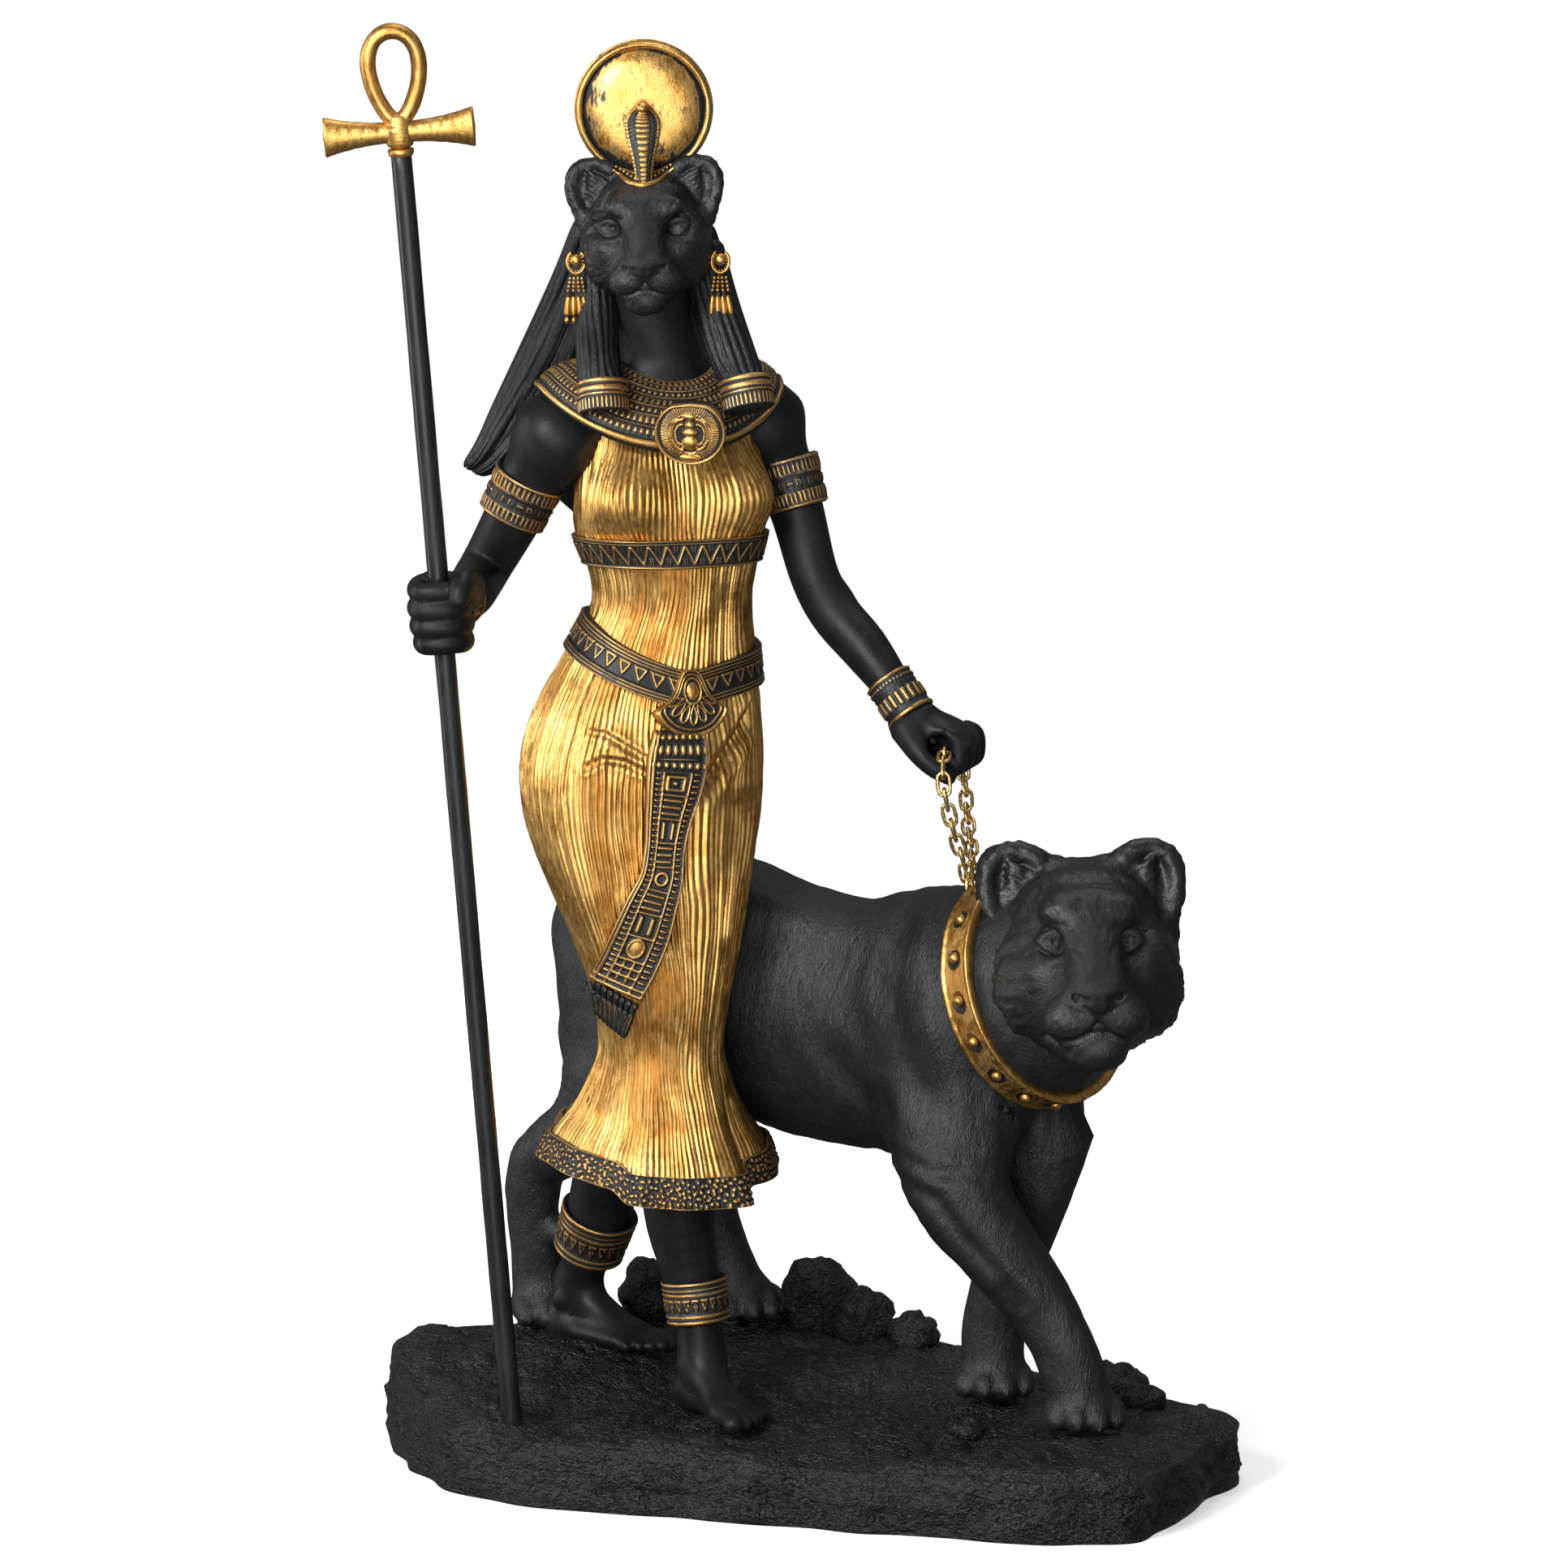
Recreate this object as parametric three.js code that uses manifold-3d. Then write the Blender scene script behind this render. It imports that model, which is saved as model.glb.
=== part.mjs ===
// A resin statuette of a lioness-headed goddess who walks beside a lioness on a rock base.
// She grips an ankh-topped staff in one fist and a fine metal chain in the other.
// Millimetres, +Z up. The origin is the middle of the base's flat underside, and the figure faces -Y.
import * as THREE from "three";
import { mergeVertices } from "three/addons/utils/BufferGeometryUtils.js";
import Module from "manifold-3d";

const wasm = await Module();
wasm.setup();

// Driving dimensions.
const GAP = 0.3; // clearance between separate pieces
const HEAD_WIDTH = 24; // the goddess's head across the cheeks
const LIONESS_HEAD_WIDTH = 35.5;
const DISC_RADIUS = 13.2;
const STAFF_RADIUS = 2;
const STAFF_FOOT = new THREE.Vector3(-57.9, -9.4, 6);
const STAFF_TOP = new THREE.Vector3(-78.3, -28, 268);
const LINK_LENGTH = 5.2;
const LINK_WIDTH = 3.1;
const WIRE_RADIUS = 0.34;
const CHAIN_PITCH = 3.15;
const CHEST_TURN = 20; // degrees that the chest is turned towards the lioness
const HEAD_CENTRE = [-32.6, 4, 246];
const LIONESS_HEAD_CENTRE = [52, -14, 106.5];
const DISC_CENTRE = [-32.3, 7, 271.2];
const GOWN_HEM = 57.5; // height of the gown's lowest edge
const BAND_RAISE = 1.1; // how far the gown's woven bands stand out
const BAND_SUNK = 1.5; // how deep a separate band reaches into what it lies on
const UP = new THREE.Vector3(0, 0, 1);

const COLOURS = {
  resin: new THREE.MeshStandardMaterial({ color: 0x23272a, roughness: 0.55, metalness: 0 }),
  staff: new THREE.MeshStandardMaterial({ color: 0x2b2e31, roughness: 0.45, metalness: 0.1 }),
  chain: new THREE.MeshStandardMaterial({ color: 0xd9b45a, roughness: 0.3, metalness: 1 }),
};

const rad = THREE.MathUtils.degToRad;
const vec = (p) => new THREE.Vector3(p[0], p[1], p[2]);

// Catmull-Rom value of a list of number rows at a place from 0 to its last index.
function rowAt(rows, place) {
  const i = Math.min(Math.floor(place), rows.length - 2);
  const t = place - i;
  const rowNumber = (k) => rows[Math.max(0, Math.min(rows.length - 1, k))];
  const [a, b, c, d] = [i - 1, i, i + 1, i + 2].map(rowNumber);
  return b.map((_, k) => {
    const bend = 2 * a[k] - 5 * b[k] + 4 * c[k] - d[k];
    const twist = 3 * b[k] - a[k] - 3 * c[k] + d[k];
    return 0.5 * (2 * b[k] + t * (c[k] - a[k] + t * (bend + t * twist)));
  });
}

const smoothRows = (rows, count) =>
  Array.from({ length: count }, (_, i) => rowAt(rows, (i / (count - 1)) * (rows.length - 1)));

const sum = (points) => points.reduce((total, p) => total.add(p), new THREE.Vector3());
const angles = (sides) => Array.from({ length: sides }, (_, s) => (2 * Math.PI * s) / sides);

// The point of an ellipse at an angle. Its half sizes lie along two directions.
function around(centre, across, deep, angle, wide, tall = wide) {
  const point = centre.clone().addScaledVector(across, Math.cos(angle) * wide);
  return point.addScaledVector(deep, Math.sin(angle) * tall);
}

// A closed solid from points and triangles, turned the right way out.
function solid(points, triangles) {
  const at = (i) => points[i];
  const volume = triangles.reduce((v, [a, b, c]) => v + at(a).dot(at(b).clone().cross(at(c))), 0);
  const faces = volume < 0 ? triangles.map(([a, b, c]) => [a, c, b]) : triangles;
  const vertProperties = new Float32Array(points.flatMap((p) => p.toArray()));
  return new wasm.Manifold(
    new wasm.Mesh({ numProp: 3, vertProperties, triVerts: new Uint32Array(faces.flat()) }),
  );
}

// A closed skin over rings of points, ended by two middle points, or joined end to end as a hoop.
function skin(rings, hoop = false) {
  const sides = rings[0].length;
  const points = rings.flat();
  const triangles = [];
  const last = hoop ? rings.length : rings.length - 1;
  for (let r = 0; r < last; r++)
    for (let s = 0; s < sides; s++) {
      const next = (r + 1) % rings.length;
      const [a, b] = [r * sides + s, r * sides + ((s + 1) % sides)];
      const [c, d] = [next * sides + s, next * sides + ((s + 1) % sides)];
      triangles.push([a, b, d], [a, d, c]);
    }
  if (!hoop) {
    for (const [ring, start] of [[rings[0], 0], [rings.at(-1), (rings.length - 1) * sides]]) {
      const middle = points.push(sum(ring).divideScalar(sides)) - 1;
      for (let s = 0; s < sides; s++) {
        const edge = [start + ((s + 1) % sides), start + s];
        triangles.push(start ? [middle, edge[1], edge[0]] : [middle, ...edge]);
      }
    }
  }
  return solid(points, triangles);
}

// A limb along rows of x, y, z, half width and half depth. The width lies along aside. Each end is rounded
// by one smaller ring, which stands out by a part of the half width.
const END_RING = 0.6;
function limb(rows, { sides = 8, count = rows.length, aside = [1, 0, 0], round = 0.6 } = {}) {
  const path = smoothRows(rows, count);
  const along = (i) =>
    vec(path[Math.min(i + 1, count - 1)]).sub(vec(path[Math.max(i - 1, 0)])).normalize();
  const ring = (row, direction, shift, grow) => {
    const across = vec(aside).addScaledVector(direction, -vec(aside).dot(direction)).normalize();
    const deep = direction.clone().cross(across);
    const centre = vec(row).addScaledVector(direction, shift);
    const [wide, tall] = [row[3] * grow, (row[4] ?? row[3]) * grow];
    return angles(sides).map((turn) => around(centre, across, deep, turn, wide, tall));
  };
  const rings = path.map((row, i) => ring(row, along(i), 0, 1));
  if (round) {
    const [first, end] = [path[0], path[count - 1]];
    rings.unshift(ring(first, along(0), -first[3] * round, END_RING));
    rings.push(ring(end, along(count - 1), end[3] * round, END_RING));
  }
  return skin(rings);
}

// An ellipsoid at a centre with three radii.
function ball(centre, radii, { wide = 8, high = 5, turn = [0, 0, 0] } = {}) {
  const shape = new THREE.SphereGeometry(1, wide, high);
  shape.rotateX(Math.PI / 2);
  shape.scale(...radii);
  shape.rotateX(rad(turn[0])).rotateY(rad(turn[1])).rotateZ(rad(turn[2]));
  shape.translate(...centre);
  return fromGeometry(shape);
}

// A three.js geometry as a solid.
function fromGeometry(geometry) {
  geometry.deleteAttribute("normal");
  geometry.deleteAttribute("uv");
  const merged = mergeVertices(geometry, 1e-4);
  const place = merged.attributes.position;
  const pointAt = (_, i) => new THREE.Vector3().fromBufferAttribute(place, i);
  const points = Array.from({ length: place.count }, pointAt);
  const index = Array.from(merged.index.array);
  const triangles = [];
  for (let i = 0; i < index.length; i += 3) {
    const [a, b, c] = index.slice(i, i + 3);
    if (a !== b && b !== c && a !== c) triangles.push([a, b, c]);
  }
  return solid(points, triangles);
}

const join = (parts) => parts.reduce((whole, part) => whole.add(part));

// The largest closed skin of a solid, which leaves out pockets that are shut in where pieces join.
const castSolid = (whole) => whole.decompose().sort((a, b) => b.volume() - a.volume())[0];

// The gown from hem to shoulder: height, centre x and y, half width, half depth and turn in degrees.
const GOWN = [
  [GOWN_HEM, -29.8, 11, 22.0, 26, 18],
  [64, -29.6, 11, 20.0, 24, 18],
  [70, -29.4, 10, 16.6, 20, 18],
  [77, -29.3, 8, 14.2, 16.6, 18],
  [86, -29.3, 6, 12.2, 13.4, 18],
  [97, -29.2, 5, 13.4, 13.2, 18],
  [108, -30.0, 6, 16.6, 14.4, 18],
  [120, -31.6, 7, 20.3, 16.0, 20],
  [132, -32.8, 9, 23.6, 17.6, 22],
  [143, -33.1, 10, 24.6, 18.4, 24],
  [153, -32.2, 10, 23.0, 17.2, 24],
  [162, -30.2, 10, 19.8, 14.6, 22],
  [168, -28.5, 9, 17.6, 12.8, 20],
  [175, -27.0, 8, 15.8, 11.6, 20],
  [182, -26.9, 8, 16.9, 12.4, 20],
  [190, -27.4, 8, 19.2, 12.6, 20],
  [198, -27.3, 8, 19.2, 12.0, 20],
  [206, -27.6, 8.5, 18.2, 11.2, 20],
  [213, -28, 9, 16.6, 10.0, 20],
];
// Swells of the body under the cloth: height and angle of the middle, reaches, and how far each stands out.
const SWELLS = [
  { height: 196, angle: -128, tall: 7.5, wide: 24, out: 5.6 },
  { height: 196, angle: -54, tall: 7.5, wide: 24, out: 5.6 },
  { height: 112, angle: -72, tall: 30, wide: 26, out: 2.6 },
  { height: 118, angle: -140, tall: 28, wide: 26, out: 1.8 },
];

// The gown's row at a height.
function gownRow(height) {
  const next = Math.max(1, GOWN.findIndex((row) => row[0] >= height));
  const place = next - 1 + (height - GOWN[next - 1][0]) / (GOWN[next][0] - GOWN[next - 1][0]);
  return rowAt(GOWN, place);
}

const bell = (x) => Math.exp(-x * x);

const swell = (height, angle) =>
  SWELLS.reduce((total, s) => {
    const past = THREE.MathUtils.radToDeg(angle) - s.angle;
    const turned = THREE.MathUtils.euclideanModulo(past + 180, 360) - 180;
    return total + s.out * bell((height - s.height) / s.tall) * bell(turned / s.wide);
  }, 0);

// A point of the gown's surface at a height and angle, grown outwards. The chest's front is at -90 degrees.
function gownPoint(height, angle, grow = 0) {
  const [, x, y, wide, deep, turn] = gownRow(height);
  const more = grow + swell(height, angle);
  const out = new THREE.Vector3(Math.cos(angle) * (wide + more), Math.sin(angle) * (deep + more), 0);
  return out.applyAxisAngle(UP, rad(turn)).add(vec([x, y, height]));
}

// The point of the gown's front, between 20 and 140 degrees round, that lies at a height and an x.
function frontPoint(height, x, grow) {
  const turns = Array.from({ length: 120 }, (_, i) => -rad(20 + i));
  const near = (a, b) => Math.abs(gownPoint(height, a).x - x) - Math.abs(gownPoint(height, b).x - x);
  return gownPoint(height, turns.sort(near)[0], grow);
}

const GOWN_SIDES = 20;
// The gown's two woven bands: the hem's border and the one under the bust.
const GOWN_BANDS = [[GOWN_HEM, 64], [182.6, 188.2]];
const GOWN_HEIGHTS = [
  GOWN_HEM, 64, 64.6, 72, 83, 97, 112, 127, 142, 156, 169, 182.2, 182.6, 188.2, 188.6, 194, 200, 213,
];
const FOLDS = { count: 6, deep: 1.1, reach: 30 };

// The gown's ring at a height. Folds spread towards the hem, which rises behind and at one side.
function gownRing(height) {
  const flare = Math.max(0, 1 - (height - GOWN_HEM) / FOLDS.reach);
  const raised = GOWN_BANDS.some(([low, high]) => height >= low && height <= high) ? BAND_RAISE : 0;
  return angles(GOWN_SIDES).map((angle) => {
    const fold = flare * FOLDS.deep * Math.cos(FOLDS.count * angle + 0.6);
    const rise = flare * (4 + 4 * Math.sin(angle) - 0.8 * Math.cos(angle));
    return gownPoint(height, angle, fold + raised).addScaledVector(UP, rise);
  });
}

const gown = () => skin(GOWN_HEIGHTS.map(gownRing));

// The belt: its height at the sides, how far it sags to the buckle, its half width and how far it stands out.
const BELT = { height: 168.5, sag: 11.5, half: 3.8, raise: 1.2, buckle: rad(-86) };
const beltHeight = (angle) => BELT.height - BELT.sag * (0.5 + 0.5 * Math.cos(angle - BELT.buckle)) ** 2;

function belt() {
  const { half, raise } = BELT;
  const corners = [[-half, -BAND_SUNK], [-half, raise], [half, raise], [half, -BAND_SUNK]];
  const ring = (angle) => corners.map(([above, grow]) => gownPoint(beltHeight(angle) + above, angle, grow));
  return skin(angles(18).map(ring), true);
}

// The belt's fan-shaped buckle and the long sash that hangs from it.
function sash() {
  const buckle = gownPoint(beltHeight(BELT.buckle), BELT.buckle, 1.6);
  const fan = [[0, 5.2], [2.4, 4.4], [3.6, 1.2], [6.2, -3.2], [3.4, -6.2], [0, -7]];
  const outline = [...fan, ...fan.slice(1, -1).reverse().map(([x, z]) => [-x, z])];
  const shape = new THREE.Shape(outline.map(([x, z]) => new THREE.Vector2(x, z)));
  const plate = new THREE.ExtrudeGeometry(shape, { depth: 3.4, bevelEnabled: false });
  plate.rotateX(Math.PI / 2).rotateZ(rad(25)).translate(buckle.x - 0.4, buckle.y + 1.6, buckle.z - 1);
  const lift = 0.7;
  const lay = ([height, x, wide, thick]) => [...frontPoint(height, x, lift).toArray(), wide, thick];
  const strip = [
    [151, -24.4, 5.4, 1.6],
    [137, -25.2, 5.2, 1.5],
    [122, -27, 5, 1.5],
    [109, -31, 5.8, 1.5],
    [96, -35.8, 6.8, 1.6],
  ];
  const tassel = [[97, -35.6, 7, 2.2], [88.5, -38.8, 5.2, 2.4]];
  return join([
    fromGeometry(plate),
    limb(strip.map(lay), { sides: 6, count: 7, round: 0 }),
    limb(tassel.map(lay), { sides: 6, round: 0, aside: [1, 0, -0.35] }),
  ]);
}

// Neck and shoulders, bare above the gown.
function shoulders() {
  const yoke = [
    [-49, 1.5, 207.5, 7.6, 7.6],
    [-44, 3.5, 211.5, 7.4, 7.2],
    [-29, 9, 215, 8.5, 7.4],
    [-12.5, 14.5, 212.5, 7.2, 7],
    [-7.5, 16, 209, 7.4, 7.2],
  ];
  const neck = [
    [-28.2, 11, 207, 10, 9.5],
    [-28.6, 9.5, 216, 9.4, 9],
    [-28.9, 8.5, 223, 8.2, 8],
    [-31.5, 7, 238, 8.2, 8.2],
  ];
  return join([limb(yoke, { aside: [0, 1, 0] }), limb(neck, { round: 0 })]);
}

// The broad collar, a cape of rings that lies on the chest and shoulders.
function broadCollar() {
  const sides = 22;
  // Each ring: half width, half depth, centre x and y, height, front drop and side drop.
  const rings = [
    [24.6, 14.6, -29.4, 8.5, 213.4, 10.0, 0.2],
    [25.2, 15.4, -29.4, 8.5, 215.0, 9.6, 0],
    [20.5, 14.2, -29.4, 8.8, 219.4, 7.6, -0.2],
    [14.0, 11.6, -29, 9, 221.8, 4.2, 0],
    [9.4, 8.8, -28.8, 9, 222.4, 1.6, 0],
  ].map(([wide, deep, x, y, height, front, side]) =>
    angles(sides).map((angle) => {
      const ahead = Math.pow(Math.max(0, -Math.sin(angle)), 1.4);
      const sideways = Math.pow(Math.abs(Math.cos(angle)), 4);
      const drop = front * ahead + side * sideways;
      const point = vec([Math.cos(angle) * wide, Math.sin(angle) * deep, -drop]);
      return point.applyAxisAngle(UP, rad(CHEST_TURN)).add(vec([x, y, height]));
    }),
  );
  const pendant = cuff([-23.2, -9.6, 208.6], [-22.8, -5.5, 209.4], [6.2, 6.2], 10);
  return join([skin(rings), pendant]);
}

// A cuff round a limb: two points of its axis and the outer radii there.
const cuff = (from, to, outer, sides = 8) =>
  limb([[...from, outer[0], outer[0]], [...to, outer[1], outer[1]]], { sides, round: 0 });

const RIGHT_ARM = [
  [-49.5, 1.5, 208.5, 7.4, 7.2],
  [-53.2, 3.4, 201.5, 6.8, 6.8],
  [-57.4, 7.5, 191.5, 5.9, 6.0],
  [-62.8, 13.4, 182, 4.6, 5.1],
  [-64.6, 9.5, 178, 4.6, 5.1],
  [-66.2, -1, 176.6, 4.6, 5.0],
  [-68.2, -9.5, 176.6, 3.7, 4.3],
  [-69.2, -14, 176.6, 3.8, 4.8],
];
const LEFT_ARM = [
  [-9.4, 15.5, 209.5, 6.6, 7.0],
  [-6.6, 15.6, 203, 6.0, 6.4],
  [-2.6, 14.8, 192, 5.0, 5.4],
  [1.0, 12.6, 179, 4.7, 4.9],
  [5, 11.2, 171.8, 4.9, 5.0],
  [11, 7, 165.2, 4.7, 4.8],
  [17.6, 1.2, 157.2, 3.5, 3.6],
  [20.6, -0.8, 153.6, 3.6, 4.2],
];

function arms() {
  const bracelets = [
    cuff([-55, 5, 197.6], [-58.8, 8.6, 188.2], [7.4, 6.8]),
    cuff([-5.2, 15.4, 200.2], [-2.2, 14.4, 189], [6.7, 6.2]),
    cuff([14.4, 3.6, 160.8], [18.8, 0.2, 155.8], [5.0, 4.7]),
    cuff([-67, -6, 176.6], [-68.4, -11, 176.6], [5.1, 5.0]),
  ];
  const options = { sides: 7, aside: [0.6, 0.8, 0] };
  return join([limb(RIGHT_ARM, options), limb(LEFT_ARM, options), ...bracelets]);
}

// A fist as rings stacked along its bore. Four swells of the rings make the fingers.
const FINGER_SWELL = 0.1;
const FIST_ENDS = 0.72;
const FIST_RINGS = Array.from({ length: 9 }, (_, i) => {
  const step = i / 4 - 1;
  const scale = Math.abs(step) === 1 ? FIST_ENDS : 1 - FINGER_SWELL * Math.cos(2 * Math.PI * step) ** 2;
  return { step, scale };
});

// The fist round the staff, leaning with it, and a thumb that lies up the side of the shaft.
const STAFF_FIST = { centre: vec([-70.7, -21, 176.4]), half: 7.2, reach: 6.5, lean: 0.078 };

function staffFist() {
  const { centre, half, reach, lean } = STAFF_FIST;
  const rings = FIST_RINGS.map(({ step, scale }) =>
    angles(8).map((angle) => {
      const [c, s] = [Math.cos(angle), Math.sin(angle)];
      const out = (reach * scale) / Math.max(Math.abs(c), Math.abs(s)) ** 0.5;
      return centre.clone().add(vec([out * c - lean * step * half, out * 1.05 * s, step * half]));
    }),
  );
  const thumb = [
    [-65.6, -15.5, 177, 2.4],
    [-65.2, -22, 181, 2.4],
    [-67, -27.4, 184.4, 2.0],
    [-68, -28.6, 186, 1.5],
  ];
  return join([skin(rings), limb(thumb, { sides: 6, round: 0.4 })]);
}

// The fist that holds the chain. A bore runs through it from front to back.
const CHAIN_BORE = [vec([25.5, -16, 146.8]), vec([29.4, 16, 144.6])];
const BORE_RADIUS = 2.4;
const CHAIN_FIST_MIDDLE = { x: 27, y: -1, z: 147, half: 8.4 };
const CHAIN_FIST = [
  [17, 151], [19.6, 145], [24, 141], [28.4, 139.8], [31.4, 141.6],
  [34.5, 144.6], [34.2, 150.4], [31, 152.8], [23.2, 155.6],
];

function chainFist() {
  const middle = CHAIN_FIST_MIDDLE;
  const rings = FIST_RINGS.map(({ step, scale }) =>
    CHAIN_FIST.map(([x, z]) => {
      const finger = x > middle.x || Math.abs(step) === 1 ? scale : 1;
      const place = [middle.x + (x - middle.x) * finger, middle.y + middle.half * step];
      return vec([...place, middle.z + (z - middle.z) * finger]);
    }),
  );
  const thumb = [
    [19.6, -4.8, 151.6, 2.6],
    [20.6, -7.6, 146, 2.7],
    [24.8, -8, 141.2, 2.2],
    [28.4, -7.8, 139.8, 1.6],
  ];
  return join([skin(rings), limb(thumb, { sides: 6, round: 0.4 })]);
}

// Outline of a bare foot in parts of its length and half width, from the heel past the big toe.
const FOOT_OUTLINE = [
  [0, -0.3], [0.1, -0.62], [0.42, -0.64], [0.72, -0.98], [0.9, -1], [1, -0.72], [0.93, -0.42], [0.99, -0.2],
  [0.92, 0], [0.96, 0.2], [0.88, 0.4], [0.91, 0.58], [0.82, 0.72], [0.83, 0.9], [0.68, 1], [0.35, 0.72],
  [0.1, 0.62], [0, 0.3],
];
// Outline of a paw with four toes, in the same terms.
const PAW_OUTLINE = [
  [0, -0.3], [0.14, -0.8], [0.5, -0.92], [0.74, -1], [0.88, -0.74], [0.8, -0.5], [1, -0.3], [0.88, 0],
  [1, 0.3], [0.8, 0.5], [0.88, 0.74], [0.74, 1], [0.5, 0.92], [0.14, 0.8], [0, 0.3],
];

// A foot or paw: its outline stacked at levels of height and scale, turned in plan to point in a direction.
function footShape(outline, heel, direction, length, halfWidth, levels, flip = 1) {
  const middle = 0.45;
  const ahead = heading(direction);
  const aside = leftOf(ahead).multiplyScalar(flip);
  const rings = levels.map(([height, scale]) =>
    outline.map(([along, sideways]) =>
      heel
        .clone()
        .addScaledVector(ahead, length * (middle + (along - middle) * scale))
        .addScaledVector(aside, halfWidth * sideways * scale)
        .addScaledVector(UP, height),
    ),
  );
  return skin(rings);
}

// The level direction at an angle in plan, and the one to its left.
const heading = (direction) => vec([Math.cos(rad(direction)), Math.sin(rad(direction)), 0]);
const leftOf = (ahead) => vec([-ahead.y, ahead.x, 0]);

const FOOT_LENGTH = 30;
const FOOT_HALF_WIDTH = 5.6;
const FOOT_LEVELS = [[-1, 1], [3, 0.94]];
const PAW_LEVELS = [[-2, 1], [3.4, 1], [7.8, 0.76]];

function bareFoot(heel, direction, ankle, flip) {
  const ahead = heading(direction);
  const place = (part, up) => heel.clone().addScaledVector(ahead, part * FOOT_LENGTH).addScaledVector(UP, up);
  const at = (part, up) => place(part, up).toArray();
  const instep = [
    [...ankle, 4.5, 4.8],
    [...at(0.17, 7), 4.3, 6],
    [...at(0.5, 4), 4.3, 3],
    [...at(0.76, 2), 4.4, 1.8],
  ];
  return join([
    footShape(FOOT_OUTLINE, heel, direction, FOOT_LENGTH, FOOT_HALF_WIDTH, FOOT_LEVELS, flip),
    limb(instep, { sides: 7, aside: leftOf(ahead).toArray() }),
  ]);
}

const FRONT_ANKLE = [-21.4, 2.5, 28];
const REAR_ANKLE = [-45.4, 37.5, 35];

function legs() {
  const front = [
    [-25.8, 2, 70, 7.6, 8],
    [-25.4, 3.2, 53, 7.2, 7.6],
    [-22.4, 3, 36, 4.9, 5.2],
    [...FRONT_ANKLE, 4.4, 4.8],
  ];
  const rear = [
    [-36.6, 20, 70, 7.2, 7.6],
    [-41, 28.6, 53, 6.8, 7],
    [-44.4, 34.8, 39.5, 5, 5.2],
    [...REAR_ANKLE, 4.5, 4.9],
  ];
  return join([
    limb(front, { sides: 7 }),
    limb(rear, { sides: 7 }),
    cuff([-22.8, 3.2, 40.4], [-21.8, 2.9, 31.6], [6.4, 6.0]),
    cuff([-41.8, 30.8, 48.6], [-44.4, 34.8, 39.4], [7.6, 6.8]),
    bareFoot(vec([-23.6, 8.4, 14.2]), -64, FRONT_ANKLE, 1),
    bareFoot(vec([-51, 42.4, 22]), -42, REAR_ANKLE, -1),
  ]);
}

// Rings of a lioness's head along its depth: place, half width, top and bottom, from the nape to the nose.
const HEAD_ROWS = [
  [12, 7, 7, -5],
  [6, 11.4, 12, -10.5],
  [-2, 12.1, 12.2, -13],
  [-7.2, 10.6, 9, -13.6],
  [-9.8, 8.4, 6.2, -14],
  [-12, 6.9, 2.8, -14],
  [-16.4, 5, -1.6, -11.4],
];

// A lioness's head about its own centre, 24 wide, that looks along -Y.
function lionHead() {
  const rings = HEAD_ROWS.map(([y, wide, top, bottom]) =>
    angles(12).map((angle) => {
      const [c, s] = [Math.cos(angle), Math.sin(angle)];
      const full = Math.sign(c) * Math.abs(c) ** 0.85;
      return vec([wide * full, y, (top + bottom) / 2 + ((top - bottom) / 2) * s]);
    }),
  );
  const small = { wide: 6, high: 4 };
  const tiny = { wide: 5, high: 3 };
  const side = (sign) => {
    const tilt = [10, sign * 24, sign * -14];
    const shell = ball([sign * 11.2, 3.6, 10.2], [5.6, 3.2, 6], { wide: 7, high: 4, turn: tilt });
    const cup = ball([sign * 11.6, 0.2, 11.2], [3.6, 2.4, 3.8], { wide: 5, high: 3, turn: tilt });
    return join([
      shell.subtract(cup),
      ball([sign * 5.8, -9.2, 4.9], [3.8, 2.4, 1.7], { ...tiny, turn: [0, sign * -12, 0] }),
      ball([sign * 5.8, -9.4, 2.2], [2, 2, 1.7], tiny),
      ball([sign * 3, -15.2, -7], [3.4, 3, 3.2], small),
    ]);
  };
  return join([skin(rings), side(-1), side(1), ball([0, -16.6, -3.4], [2.8, 1.6, 1.9], tiny)]);
}

// The head at a centre, made a number of millimetres wide, and turned by degrees about x, y and z.
function placedHead(centre, width, turn, stretch = [1, 1, 1]) {
  const k = width / HEAD_WIDTH;
  return lionHead().scale(stretch.map((s) => s * k)).rotate(turn).translate(centre);
}

// The sun disc with its rim, and the rearing cobra before it.
function crown() {
  const rim = DISC_RADIUS;
  const profile = [[0, -1.6], [rim, -1.4], [rim, 1], [rim - 1, 1.6], [rim - 1.4, 0.8], [8, 2.4], [0, 3.2]];
  const disc = new THREE.LatheGeometry(profile.map(([r, h]) => new THREE.Vector2(r, h)), 18);
  disc.rotateX(Math.PI).translate(...DISC_CENTRE);
  const cobra = [
    [-32.2, 1, 258.6, 1.7, 1.4],
    [-32.3, 2.4, 262, 1.8, 1.3],
    [-32.4, 3.6, 266, 3.6, 1.2],
    [-32.5, 3.4, 269.4, 2.9, 1.2],
    [-32.5, 2.0, 272, 1.3, 1.3],
    [-32.5, 0.6, 272.4, 1.1, 0.9],
  ];
  const cap = limb([[-32.4, 4, 256.4, 6.6, 5.6], [-32.4, 6, 259.6, 6.2, 5]], { sides: 8, round: 0 });
  return join([fromGeometry(disc), cap, limb(cobra, { sides: 5 })]);
}

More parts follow.
